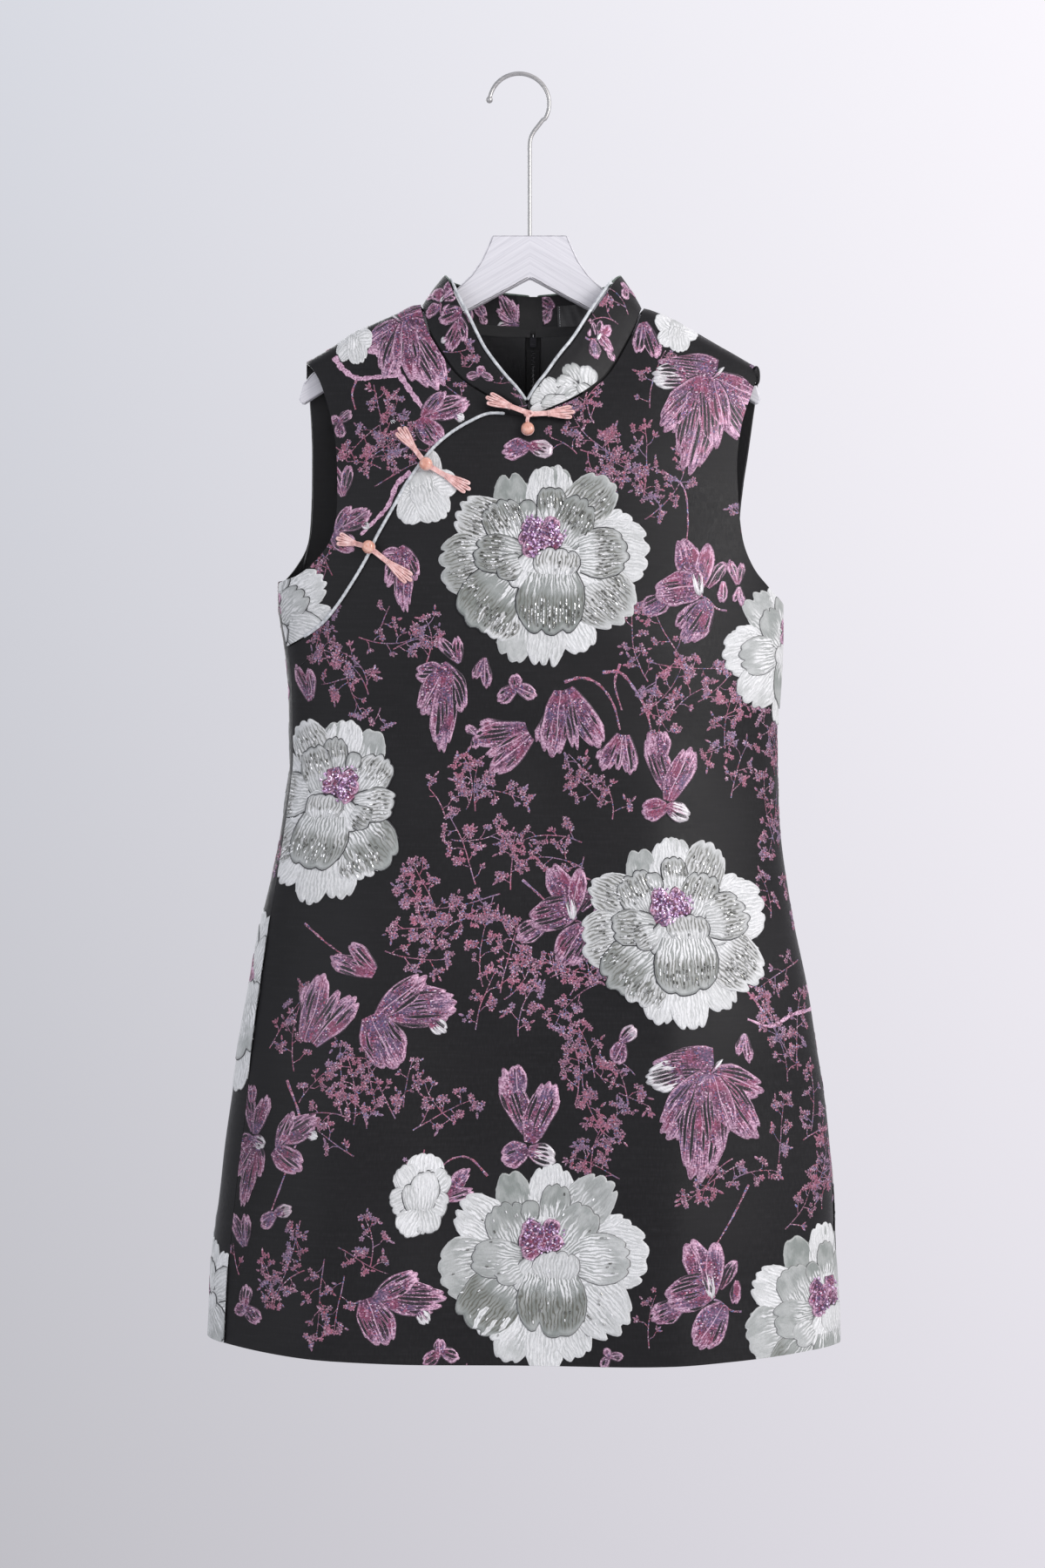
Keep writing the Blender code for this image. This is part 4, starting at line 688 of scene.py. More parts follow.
def petal_material():
    """Woven peony petals: grey satin under white ridges of float thread that
    spread from the foot, sage towards the rim, a pale rim, a thin dark outline
    where the petal has one, and an olive band under the beads.
    fan = (across -1..1, foot to tip 0..1, its own number); near = (mm across,
    mm along, mm to the edge); tone = (whiteness, outline, band)."""
    m = Mat("petal_weave", Roughness=0.48, Sheen_Weight=0.06, Sheen_Roughness=0.4, Specular_IOR_Level=0.3)
    fan, s, r, num = m.attr("fan")
    near, mx, my, edge = m.attr("near")
    tone, white, outline, band = m.attr("tone")
    c, cx, cy, _ = m.attr("cloth")
    n10 = m.math("MULTIPLY", num, 31.0)
    fine = m.noise(m.vec(m.math("MULTIPLY", mx, 1.2), m.math("MULTIPLY", my, 0.16), n10), 1.0, 2.0, 0.55, 0.2)
    cloud = m.noise(m.vec(m.math("MULTIPLY", mx, 0.10), m.math("MULTIPLY", my, 0.07), n10), 1.0, 2.0, 0.5, 0.2)
    sway = m.noise(m.vec(m.math("MULTIPLY", mx, 0.16), m.math("MULTIPLY", my, 0.09), n10), 1.0, 2.0, 0.5)
    # ridges about 2.4 mm apart that wander and break
    turn = m.math("ADD", m.math("MULTIPLY", mx, 0.33), m.math("MULTIPLY", sway, 2.2))
    teeth = m.math("PINGPONG", m.math("ADD", turn, m.math("MULTIPLY", num, 5.0)), 0.5)
    own, own_c = m.white(m.vec(m.math("FLOOR", m.math("ADD", turn, m.math("MULTIPLY", num, 5.0))), num, 0.3))
    shape = m.math("ADD", teeth, m.math("MULTIPLY", m.math("SUBTRACT", fine, 0.5), 0.55))
    # they reach further up the pale petals than up the sage ones
    reach = m.math("ADD", m.math("ADD", m.math("MULTIPLY", white, 0.80), 0.16), m.math("MULTIPLY", own, 0.32))
    live = m.step(m.math("SUBTRACT", reach, r), -0.02, 0.16)
    ridge = m.math("MULTIPLY", m.step(shape, 0.16, 0.30), live)
    low = m.mix(m.step(white, 0.10, 0.90), (0.250, 0.268, 0.256), (0.530, 0.540, 0.538))
    sage = m.mix(m.step(cloud, 0.36, 0.64), (0.220, 0.242, 0.228), (0.345, 0.362, 0.350))
    palec = m.mix(m.step(cloud, 0.36, 0.64), (0.570, 0.580, 0.578), (0.715, 0.722, 0.725))
    outer = m.mix(m.step(white, 0.10, 0.85), sage, palec)
    ground = m.mix(m.step(r, 0.20, 0.60), low, outer)
    ground = m.mix(m.step(fine, 0.34, 0.50, 0.16, 0.0), ground, (0.155, 0.165, 0.160))
    top = m.mix(m.step(fine, 0.30, 0.62), (0.665, 0.671, 0.671), (0.805, 0.809, 0.813))
    col = m.mix(ridge, ground, top)
    # each petal keeps a tone of its own
    col = m.mix(m.step(num, 0.0, 1.0, 0.0, 0.22), col, (0.210, 0.225, 0.216))
    # painted shade, darker towards the foot where the petal goes under the others
    col = m.mix(m.step(r, 0.02, 0.26, 0.45, 0.0), col, (0.200, 0.210, 0.205))
    # olive band where the beads are sewn
    bandz = m.math("MULTIPLY", m.step(m.math("ADD", r, m.math("MULTIPLY", sway, 0.15)), 0.46, 0.62), m.step(r, 0.84, 0.95, 1.0, 0.0))
    col = m.mix(m.math("MULTIPLY", m.math("MULTIPLY", bandz, band), m.step(shape, 0.05, 0.30, 0.95, 0.30)), col, (0.100, 0.100, 0.080))
    # painted shade of a soft fold beside the outline
    col = m.mix(m.math("MULTIPLY", m.step(edge, 0.8, 3.4, 0.60, 0.0), outline), col, (0.130, 0.138, 0.134))
    # pale rim
    rim_w = m.math("ADD", edge, m.math("MULTIPLY", sway, 0.8))
    rim = m.math("MULTIPLY", m.step(rim_w, 1.3, 2.0, 1.0, 0.0), m.step(r, 0.25, 0.55))
    rim = m.math("MULTIPLY", rim, m.math("SUBTRACT", 1.0, m.math("MULTIPLY", outline, 0.75)))
    rim_c = m.mix(m.step(white, 0.10, 0.80), (0.43, 0.445, 0.43), (0.68, 0.685, 0.688))
    col = m.mix(m.math("MULTIPLY", rim, 0.85), col, rim_c)
    # every petal ends in a thin grey thread, the outlined ones in a dark one
    thin = m.math("ADD", edge, m.math("MULTIPLY", m.noise(m.scale(near, (0.8, 0.8, 0)), 1.0, 1.0), 0.45))
    col = m.mix(m.step(thin, 0.42, 0.62, 0.55, 0.0), col, (0.10, 0.105, 0.10))
    line = m.math("MULTIPLY", m.step(thin, 0.95, 1.25, 1.0, 0.0), m.step(outline, 0.0, 0.6))
    col = m.mix(m.math("MINIMUM", line, 0.94), col, (0.016, 0.016, 0.019))
    # single picks of thread
    pick, _ = m.white(m.node("ShaderNodeVectorMath", {0: m.scale(c, (1900, 850, 1))}, operation="FLOOR").outputs[0])
    col = m.mix(m.step(pick, 0.0, 1.0, 0.14, 0.0), col, (0.12, 0.125, 0.125))
    m.set("Base Color", col)
    m.set("Roughness", m.step(fine, 0.3, 0.7, 0.56, 0.40))
    thr = m.math("SINE", m.math("MULTIPLY", m.math("ADD", cx, m.math("MULTIPLY", cy, 0.55)), 2 * math.pi / 0.00062))
    m.bump(m.math("ADD", m.math("MULTIPLY", thr, 0.12), m.math("ADD", ridge, m.math("MULTIPLY", fine, 0.6))), 0.00038, 0.72)
    return m.m


def leaf_material():
    """Lurex leaves: glittering purple thread with pink, red and blue picks,
    pale pink rims and streaks, and black slits combed along the blade.
    tone = (white tip, comb, dimness)."""
    m = Mat("leaf_lurex", Metallic=0.28, Roughness=0.40, Specular_IOR_Level=0.5)
    fan, s, r, num = m.attr("fan")
    near, mx, my, edge = m.attr("near")
    tone, pale_tip, comb, dim = m.attr("tone")
    c, cx, cy, _ = m.attr("cloth")
    n10 = m.math("MULTIPLY", num, 27.0)
    cell = m.node("ShaderNodeVectorMath", {0: m.scale(c, (980, 1150, 1))}, operation="FLOOR").outputs[0]
    v, vc = m.white(cell)
    drift = m.noise(m.scale(c, (90, 90, 1)), 1.0, 2.0, 0.6)
    thread = m.ramp(v, [(0.0, (0.016, 0.007, 0.018)), (0.28, (0.078, 0.028, 0.064)), (0.54, (0.150, 0.056, 0.112)),
                        (0.72, (0.280, 0.118, 0.212)), (0.82, (0.360, 0.050, 0.105)), (0.87, (0.080, 0.105, 0.270)),
                        (0.92, (0.560, 0.300, 0.450)), (0.97, (0.860, 0.700, 0.810))], "CONSTANT")
    plain = m.mix(m.step(drift, 0.32, 0.68), (0.078, 0.028, 0.062), (0.250, 0.100, 0.182))
    col = m.mix(m.step(drift, 0.30, 0.70, 0.60, 0.85), plain, thread)
    # parts of a blade lean to rose red, others to slate blue
    lean = m.noise(m.scale(c, (44, 44, 1)), 1.0, 2.0, 0.55)
    col = m.mix(m.step(lean, 0.52, 0.62, 0.0, 0.45), col, (0.270, 0.050, 0.105))
    col = m.mix(m.step(lean, 0.37, 0.47, 0.38, 0.0), col, (0.105, 0.095, 0.185))
    # pale streaks that run with the blade
    streak = m.noise(m.vec(m.math("MULTIPLY", mx, 0.75), m.math("MULTIPLY", my, 0.075), n10), 1.0, 2.0, 0.5, 0.2)
    pink = m.mix(m.step(v, 0.20, 0.75), (0.350, 0.175, 0.275), (0.660, 0.430, 0.560))
    col = m.mix(m.math("MULTIPLY", m.step(streak, 0.56, 0.66), m.step(r, 0.0, 1.0, 0.30, 0.75)), col, pink)
    # rim and tip of smooth pink
    wob = m.noise(m.scale(near, (0.22, 0.22, 0)), 1.0, 2.0)
    edge_n = m.math("ADD", edge, m.math("MULTIPLY", m.math("SUBTRACT", wob, 0.5), 2.0))
    col = m.mix(m.math("MULTIPLY", m.step(edge_n, 1.1, 2.9, 1.0, 0.0), m.step(r, 0.15, 0.60, 0.35, 0.95)), col, pink)
    tips = m.step(m.math("ADD", r, m.math("MULTIPLY", m.math("SUBTRACT", streak, 0.5), 1.2)), 0.72, 0.94)
    col = m.mix(m.math("MULTIPLY", tips, 0.70), col, pink)
    # jagged white end on some blades
    wend = m.step(m.math("ADD", r, m.math("MULTIPLY", m.math("SUBTRACT", streak, 0.5), 1.3)), 0.42, 0.50)
    whitec = m.mix(m.step(streak, 0.40, 0.60), (0.46, 0.44, 0.46), (0.72, 0.71, 0.72))
    col = m.mix(m.math("MULTIPLY", wend, m.step(pale_tip, 0.55, 0.85)), col, whitec)
    # combs: black slits, each with its own start and end
    sway = m.math("MULTIPLY", m.math("SINE", m.math("ADD", m.math("MULTIPLY", my, 0.15), n10)), 0.5)
    turn = m.math("ADD", m.math("MULTIPLY", m.math("ADD", mx, sway), 0.30), m.math("MULTIPLY", num, 3.7))
    teeth = m.math("PINGPONG", turn, 0.5)
    idv = m.vec(m.math("FLOOR", m.math("ADD", turn, 0.5)), num, 0.7)
    r1, _ = m.white(idv)
    r2, _ = m.white(m.vec(m.math("FLOOR", m.math("ADD", turn, 0.5)), num, 4.3))
    r3, _ = m.white(m.vec(m.math("FLOOR", m.math("ADD", turn, 0.5)), num, 8.9))
    start = m.math("ADD", 0.10, m.math("MULTIPLY", r1, 0.42))
    stop = m.math("ADD", 0.62, m.math("MULTIPLY", r2, 0.34))
    swell = m.math("MULTIPLY", m.step(m.math("SUBTRACT", r, start), 0.0, 0.22), m.step(m.math("SUBTRACT", stop, r), 0.0, 0.14))
    on = m.step(m.math("SUBTRACT", m.math("MULTIPLY", comb, 1.35), r3), 0.02, 0.06)
    zone = m.step(m.noise(m.vec(m.math("MULTIPLY", mx, 0.09), m.math("MULTIPLY", my, 0.02), n10), 1.0, 1.0), 0.34, 0.42)
    width = m.math("MULTIPLY", m.math("MULTIPLY", swell, m.math("MULTIPLY", on, zone)), m.math("ADD", 0.25, m.math("MULTIPLY", r2, 0.17)))
    slit = m.math("MULTIPLY", m.step(m.math("SUBTRACT", teeth, width), -0.03, 0.03, 1.0, 0.0), m.step(width, 0.02, 0.06))
    slit = m.math("MULTIPLY", slit, m.step(edge, 0.5, 1.0))
    beside = m.math("MULTIPLY", m.step(m.math("SUBTRACT", teeth, width), 0.03, 0.16, 1.0, 0.0), m.step(width, 0.02, 0.08))
    col = m.mix(m.math("MULTIPLY", beside, 0.55), col, pink)
    col = m.mix(slit, col, (0.010, 0.009, 0.012))
    # a blade with comb over one is hollow: black with a pink rim
    hollow = m.math("MULTIPLY", m.step(comb, 1.2, 1.5), m.step(edge_n, 1.4, 2.0))
    col = m.mix(m.math("MULTIPLY", hollow, m.step(streak, 0.40, 0.56, 1.0, 0.2)), col, (0.012, 0.010, 0.014))
    # a pale vein up the middle of some blades
    vein = m.math("MULTIPLY", m.step(m.math("ABSOLUTE", m.math("SUBTRACT", mx, m.math("MULTIPLY", sway, 1.4))), 0.25, 0.60, 1.0, 0.0), m.step(r, 0.70, 0.92, 1.0, 0.0))
    col = m.mix(m.math("MULTIPLY", vein, m.step(num, 0.55, 0.62, 0.0, 0.75)), col, (0.640, 0.420, 0.545))
    # black gap beside the lower part of every blade
    col = m.mix(m.math("MULTIPLY", m.step(edge, 0.60, 1.05, 1.0, 0.0), m.step(r, 0.60, 0.95, 0.95, 0.25)), col, (0.014, 0.010, 0.016))
    col = m.mix(dim, col, (0.022, 0.014, 0.024))
    m.set("Base Color", col)
    m.set("Roughness", m.step(v, 0.0, 1.0, 0.26, 0.60))
    hgt = m.math("SUBTRACT", m.math("MULTIPLY", v, 0.35), m.math("MULTIPLY", slit, 0.8))
    m.bump(hgt, 0.00028, 0.8)
    return m.m


def sprig_material():
    """Twigs and small blossoms: dusty rose with red and blue specks, paler
    rims. fan r runs from a blossom's eye (0) to its rim (1); tone =
    (paleness, eye, dimness)."""
    m = Mat("sprig_thread", Metallic=0.22, Roughness=0.46, Specular_IOR_Level=0.4)
    fan, s, r, num = m.attr("fan")
    tone, pale, eye, dim = m.attr("tone")
    c, cx, cy, _ = m.attr("cloth")
    cell = m.node("ShaderNodeVectorMath", {0: m.scale(c, (1150, 1300, 1))}, operation="FLOOR").outputs[0]
    v, vc = m.white(cell)
    col = m.ramp(v, [(0.0, (0.060, 0.026, 0.046)), (0.22, (0.200, 0.088, 0.140)), (0.52, (0.330, 0.155, 0.225)),
                     (0.74, (0.500, 0.240, 0.330)), (0.84, (0.440, 0.080, 0.120)), (0.89, (0.120, 0.180, 0.380)),
                     (0.95, (0.720, 0.560, 0.660))], "CONSTANT")
    col = m.mix(m.math("MULTIPLY", m.step(r, 0.62, 0.90), m.math("ADD", m.math("MULTIPLY", pale, 0.45), 0.35)), col, (0.520, 0.300, 0.400))
    # some clusters lean to rose red, others to slate blue
    drift = m.noise(m.scale(c, (52, 52, 1)), 1.0, 2.0, 0.55)
    col = m.mix(m.step(drift, 0.36, 0.47, 0.50, 0.0), col, (0.400, 0.115, 0.180))
    col = m.mix(m.step(drift, 0.55, 0.65, 0.0, 0.45), col, (0.230, 0.195, 0.330))
    ring = m.math("MULTIPLY", m.step(r, 0.10, 0.36, 0.85, 0.0), eye)
    col = m.mix(ring, col, (0.022, 0.012, 0.020))
    # a thin dark line round every blossom
    col = m.mix(m.math("MULTIPLY", m.step(r, 0.88, 0.97, 0.0, 0.80), eye), col, (0.026, 0.014, 0.022))
    col = m.mix(dim, col, (0.024, 0.015, 0.024))
    m.set("Base Color", col)
    m.bump(m.math("MULTIPLY", v, 0.3), 0.0002, 0.6)
    return m.m


PETAL = petal_material()
LEAF = leaf_material()
SPRIG = sprig_material()


def satin(name, shadow, base, light, rough=0.36, pitch=0.0006, sheen=0.2):
    """Rolled satin: painted sheen, the colour swinging at random between the
    shadow, base and light tones, slanted thread lines, and small creases painted in as shadow.
    """
    m = Mat(name, Sheen_Weight=sheen, Sheen_Roughness=0.35, Specular_IOR_Level=0.5)
    o = m.object()
    n1 = m.noise(m.scale(o, (260, 260, 260)), 1.0, 3.0, 0.6)
    n2 = m.noise(m.scale(o, (1400, 1400, 500)), 1.0, 1.0)
    # painted sheen: patches of the shadow, base and light tones at random
    col = m.ramp(n1, [(0.28, shadow), (0.50, base), (0.72, light)])
    # painted crease shadows: fine patches pulled towards the shadow tone
    col = m.mix(m.step(n2, 0.35, 0.65, 0.22, 0.0), col, shadow)
    m.set("Base Color", col)
    m.set("Roughness", m.step(n1, 0.3, 0.7, rough + 0.08, rough - 0.06))
    w = m.node("ShaderNodeTexWave", {"Vector": o, "Scale": 1.0 / (pitch * 10), "Distortion": 2.0, "Detail": 1.0},
               wave_type="BANDS", bands_direction="DIAGONAL").outputs[1]
    m.bump(m.math("ADD", m.math("MULTIPLY", w, 0.35), m.math("MULTIPLY", n1, 1.0)), 0.00018, 0.7)
    return m.m


PIPING_M = satin("piping_satin", (0.30, 0.315, 0.33), (0.50, 0.52, 0.54), (0.72, 0.735, 0.75), 0.34)
CORD_M = satin("frog_satin", (0.50, 0.255, 0.235), (0.72, 0.440, 0.415), (0.84, 0.620, 0.600), 0.34)
GREEN_M = satin("collar_edge_cord", (0.045, 0.065, 0.052), (0.095, 0.130, 0.105), (0.17, 0.215, 0.18), 0.40)
TAPE_M = cloth_ground("zip_tape_weave", (0.0095, 0.0093, 0.0098), 0.62, 0.0009, 0.1, 0.3)
LABEL_M = cloth_ground("label_satin", (0.0130, 0.0125, 0.0135), 0.40, 0.0005, 0.1, 0.5)
BLACK_THREAD = satin("black_thread", (0.008, 0.008, 0.009), (0.020, 0.020, 0.022), (0.050, 0.050, 0.055), 0.45, 0.0003, 0.1)
WHITE_THREAD = satin("white_thread", (0.45, 0.46, 0.47), (0.68, 0.69, 0.70), (0.85, 0.86, 0.87), 0.50, 0.0003, 0.1)


def bead_material():
    m = Mat("frog_bead_gloss", Coat_Weight=1.0, Coat_Roughness=0.04, Specular_IOR_Level=0.6, IOR=1.5,
            Subsurface_Weight=0.12)
    o = m.object()
    n = m.noise(m.scale(o, (190, 190, 190)), 1.0, 3.0)
    m.set("Base Color", m.ramp(n, [(0.30, (0.50, 0.200, 0.135)), (0.52, (0.64, 0.300, 0.225)), (0.72, (0.76, 0.45, 0.37))]))
    m.set("Roughness", m.step(n, 0.3, 0.7, 0.10, 0.24))
    m.bump(n, 0.0001, 0.4)
    return m.m


def glass_material(name, dark, mid, light, rough=0.10):
    m = Mat(name, Metallic=0.55, Specular_IOR_Level=0.8, Coat_Weight=0.6, Coat_Roughness=0.05)
    fan, s, r, num = m.attr("fan")
    v, _ = m.white(m.vec(num, 0.37, 1.7))
    # each bead takes the dark, mid or light tone at random: the dark ones are painted dark reflection, the light ones
    # painted glint
    m.set("Base Color", m.ramp(v, [(0.0, dark), (0.30, dark), (0.42, mid), (0.62, mid), (0.74, light)]))
    m.set("Roughness", m.step(v, 0.0, 1.0, rough, rough + 0.16))
    return m.m


BEAD_M = bead_material()
SILVER_M = glass_material("silver_bugle", (0.060, 0.060, 0.048), (0.42, 0.43, 0.42), (1.0, 1.0, 1.0))
LILAC_M = glass_material("lilac_crystal", (0.26, 0.13, 0.28), (0.66, 0.42, 0.68), (0.98, 0.84, 1.0))


def metal(name, base, rough, bright=None, smear=40):
    m = Mat(name, Metallic=1.0)
    o = m.object()
    n = m.noise(m.scale(o, (smear, smear, smear * 6)), 1.0, 4.0, 0.65)
    m.set("Base Color", m.ramp(n, [(0.30, tuple(v * 0.80 for v in base)), (0.55, base), (0.75, bright or base)]))
    m.set("Roughness", m.step(n, 0.3, 0.75, rough, rough + 0.10))
    m.bump(n, 0.00004, 0.4)
    return m.m


CHROME = metal("hook_chrome", (0.45, 0.445, 0.44), 0.34, (0.54, 0.535, 0.53), 120)
ZIP_METAL = metal("zip_black_metal", (0.030, 0.030, 0.033), 0.26, (0.075, 0.075, 0.08), 300)
COIL_M = Mat("zip_coil_nylon", Specular_IOR_Level=0.5)
_o = COIL_M.object()
_n = COIL_M.noise(COIL_M.scale(_o, (700, 700, 700)), 1.0, 2.0)
COIL_M.set("Base Color", COIL_M.ramp(_n, [(0.3, (0.008, 0.008, 0.009)), (0.7, (0.028, 0.028, 0.030))]))
COIL_M.set("Roughness", COIL_M.step(_n, 0.3, 0.7, 0.30, 0.48))
COIL_M = COIL_M.m


def wood_material():
    """Whitewashed wood: pale bands along the arm and thin grey pores; the dark line
    of painted shadow along the lower front edge is a separate strip."""
    m = Mat("hanger_whitewash", Specular_IOR_Level=0.35, Coat_Weight=0.12, Coat_Roughness=0.35)
    o = m.object()
    sep = m.node("ShaderNodeSeparateXYZ", (o,))
    x, y, z = sep.outputs
    ax = m.math("ABSOLUTE", m.math("SUBTRACT", x, HANGER_X))
    # grain follows the arm's fall
    across = m.math("ADD", z, m.math("MULTIPLY", ax, 0.60))
    wobble = m.noise(m.vec(m.math("MULTIPLY", x, 9.0), 0.0, m.math("MULTIPLY", across, 30.0)), 1.0, 2.0)
    g = m.math("ADD", across, m.math("MULTIPLY", wobble, 0.006))
    grain = m.noise(m.vec(m.math("MULTIPLY", x, 14.0), m.math("MULTIPLY", y, 60.0), m.math("MULTIPLY", g, 620.0)), 1.0, 4.0, 0.62)
    pores = m.noise(m.vec(m.math("MULTIPLY", x, 60.0), m.math("MULTIPLY", y, 220.0), m.math("MULTIPLY", g, 2100.0)), 1.0, 2.0)
    col = m.ramp(grain, [(0.22, (0.490, 0.486, 0.520)), (0.45, (0.600, 0.594, 0.628)), (0.62, (0.655, 0.648, 0.680)),
                         (0.80, (0.700, 0.694, 0.720))])
    col = m.mix(m.step(pores, 0.62, 0.72, 0.0, 0.35), col, (0.43, 0.43, 0.46))
    m.set("Base Color", col)
    m.set("Roughness", m.step(grain, 0.3, 0.7, 0.60, 0.46))
    m.bump(m.math("ADD", m.math("MULTIPLY", grain, 0.6), m.math("MULTIPLY", pores, -0.5)), 0.00025, 0.5)
    return m.m


WOOD = wood_material()


# ---------------------------------------------------------------- the panels
HALF = SEAM / 2
W_GAP = HALF / S_SCALE
STEP = 0.0052


def to_w(pts, reader):
    return np.stack([reader(pts[:, 0], pts[:, 1]), pts[:, 1]], axis=1)


def side_line(rows, z_top, z_bottom):
    n = max(1, round((z_top - z_bottom) / STEP))
    z = np.linspace(z_top, z_bottom, n + 1)
    return np.stack([rows(z), z], axis=1)


def hem_line(w0, w1, lift=0.0):
    n = max(1, round(abs(w1 - w0) * S_SCALE / STEP))
    w = np.linspace(w0, w1, n + 1)
    return np.stack([w, HEM_Z(w) + lift], axis=1)


def shoulder_line(x0, x1, reader, drop=0.0):
    n = max(2, round(abs(x1 - x0) / STEP))
    x = np.linspace(x0, x1, n + 1)
    z = SHOULDER_Z(x) - drop
    return np.stack([reader(x, z), z], axis=1)


def inset(pts, distance):
    a = np.concatenate([pts[:1], pts[:-1]])
    b = np.concatenate([pts[1:], pts[-1:]])
    d = (b - a) * np.array((S_SCALE, 1.0))
    ln = np.maximum(1e-12, np.hypot(d[:, 0], d[:, 1]))
    return pts + np.stack([-d[:, 1] / ln * distance / S_SCALE, d[:, 0] / ln * distance], axis=1)


def shifted(pts, dw=0.0, dz=0.0):
    return pts + np.array((dw, dz))


def flat_of(pts):
    return pts * np.array((S_SCALE, 1.0))


side_left_hi = side_line(SIDE_L_W, -0.4202, -0.4730)
side_left_lo = side_line(SIDE_L_W, -0.4730, float(HEM_Z(-0.875)))
side_right = side_line(SIDE_R_W, -0.4378, float(HEM_Z(0.968)))
hem_front = hem_line(side_left_lo[-1][0], side_right[-1][0])
placket = to_w(path(PLACKET, STEP), w_front)
placket[-1] = side_left_lo[0]
arm_fl = to_w(path(ARM_FRONT_L, STEP), w_front)
arm_fl[-1] = side_left_hi[0]
arm_fr = to_w(path(ARM_FRONT_R, STEP), w_front)
arm_fr[-1] = side_right[0]
neck_fl = to_w(path(NECK_FRONT_L, STEP), w_front)
neck_fr = to_w(path(NECK_FRONT_R, STEP), w_front)
top_fl = shoulder_line(-0.0815, -0.1761, w_front)
top_fr = shoulder_line(0.1024, 0.1983, w_front)
arm_bl = to_w(path(ARM_BACK_L, STEP), w_back)
arm_bl[-1] = side_left_hi[0]
arm_br = to_w(path(ARM_BACK_R, STEP), w_back)
arm_br[-1] = side_right[0]
neck_bl = to_w(path(NECK_BACK_L, STEP), w_back)
neck_br = to_w(path(NECK_BACK_R, STEP), w_back)
top_bl = shoulder_line(-0.0815, -0.1761, w_back)
top_br = shoulder_line(0.1024, 0.1983, w_back)

out_main = np.concatenate([
    hem_front[:-1], shifted(side_right[::-1][:-1], -W_GAP), arm_fr[::-1][:-1],
    shifted(top_fr[::-1][:-1], 0, -0.0000012), inset(neck_fr, 0.0004)[:-1],
    inset(placket, HALF)[:-1], shifted(side_left_lo[:-1], W_GAP)])
out_main[0, 0] += W_GAP
out_shoulder = np.concatenate([
    inset(placket[::-1], HALF)[:-1], inset(neck_fl[::-1], 0.0004)[:-1],
    shifted(top_fl[:-1], 0, -0.0000012), arm_fl[:-1], shifted(side_left_hi[:-1], W_GAP)])


def centre_back(sign):
    zs = np.concatenate([[-0.2096, -0.2155, -0.2215, -0.2245, -0.2280],
                         np.arange(-0.2330, float(HEM_Z(2.0)) + STEP * 0.5, -STEP), [float(HEM_Z(2.0))]])
    half = np.where(zs > -0.2230, 0.0016, HALF)
    return np.stack([sign * (2.0 - half / S_SCALE), zs], axis=1)


cb_r, cb_l = centre_back(1), centre_back(-1)
side_left_all = np.concatenate([side_left_hi[:-1], side_left_lo])
hem_bl = hem_line(-2.0 + W_GAP, side_left_lo[-1][0])
hem_br = hem_line(side_right[-1][0], 2.0 - W_GAP)
out_back_r = np.concatenate([
    cb_r[::-1][:-1], inset(neck_br[::-1], 0.0004)[:-1], shifted(top_br[:-1], 0, -0.0000012),
    arm_br[:-1], shifted(side_right[:-1], W_GAP), hem_br[:-1]])
out_back_r[len(out_back_r) - len(hem_br[:-1]), 0] += W_GAP
out_back_l = np.concatenate([
    cb_l[:-1], hem_bl[:-1], shifted(side_left_all[::-1][:-1], -W_GAP), arm_bl[::-1][:-1],
    shifted(top_bl[::-1][:-1], 0, -0.0000012), inset(neck_bl, 0.0004)[:-1]])


def fill(outline, spacing):
    lo, hi = outline.min(0), outline.max(0)
    rows = []
    j = 0
    z = lo[1]
    while z <= hi[1]:
        x0 = lo[0] + (spacing / 2 if j % 2 else 0)
        xs = np.arange(x0, hi[0], spacing)
        rows.append(np.stack([xs, np.full(len(xs), z)], axis=1))
        z += spacing * 0.866
        j += 1
    return np.concatenate(rows)


def arch_rows(x0, x1, reader):
    """Close rows under the shoulder line, where the cloth arches over."""
    out = []
    for d in (0.0007, 0.0016, 0.0030, 0.0048, 0.0070, 0.0100):
        n = round((x1 - x0) / 0.004)
        x = np.linspace(x0, x1, n + 1)
        z = SHOULDER_Z(x) - d
        out.append(np.stack([reader(x, z) * S_SCALE, z], axis=1))
    return np.concatenate(out)


def cloth_place(flat, off):
    return on_cloth(flat[:, 0] / S_SCALE, flat[:, 1], off)


GRIDS = {}


def panel(name, outline, extra=None, thickness=CLOTH, push=0.0, spacing=STEP, mats=None, node=None):
    flat_out = flat_of(outline)
    pts = fill(flat_out, spacing)
    if extra is not None:
        gap = segment_near(pts, extra)
        pts = np.concatenate([pts[gap > spacing * 0.55], extra])
        clear = 0.0005
    else:
        clear = spacing * 0.4
    d = segment_field(flat_out, pts)
    if extra is not None:
        near = np.concatenate([np.full(len(pts) - len(extra), spacing * 0.4), np.full(len(extra), clear)])
    else:
        near = clear
    flat, tris = triangulate(flat_out, pts[d > near], 0.0001)
    uv = flat.copy()
    obj = shell(name, flat, tris, cloth_place, thickness, mats or [BROCADE, BROCADE], push)
    n = len(flat)
    ids = np.unique(rim_edges(tris))
    data = np.concatenate([flat, flat, flat[ids]])
    data = np.concatenate([data, np.zeros((len(data), 1))], axis=1)
    a = obj.data.attributes.new("cloth", "FLOAT_VECTOR", "POINT")
    a.data.foreach_set("vector", data.astype(np.float32).ravel())
    if node:
        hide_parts(node)
    return obj


def segment_near(pts, others):
    """Distance from each point to the nearest of the others."""
    from mathutils.kdtree import KDTree
    tree = KDTree(len(others))
    for i, p in enumerate(others):
        tree.insert((p[0], p[1], 0), i)
    tree.balance()
    return np.array([tree.find((p[0], p[1], 0))[2] for p in pts])


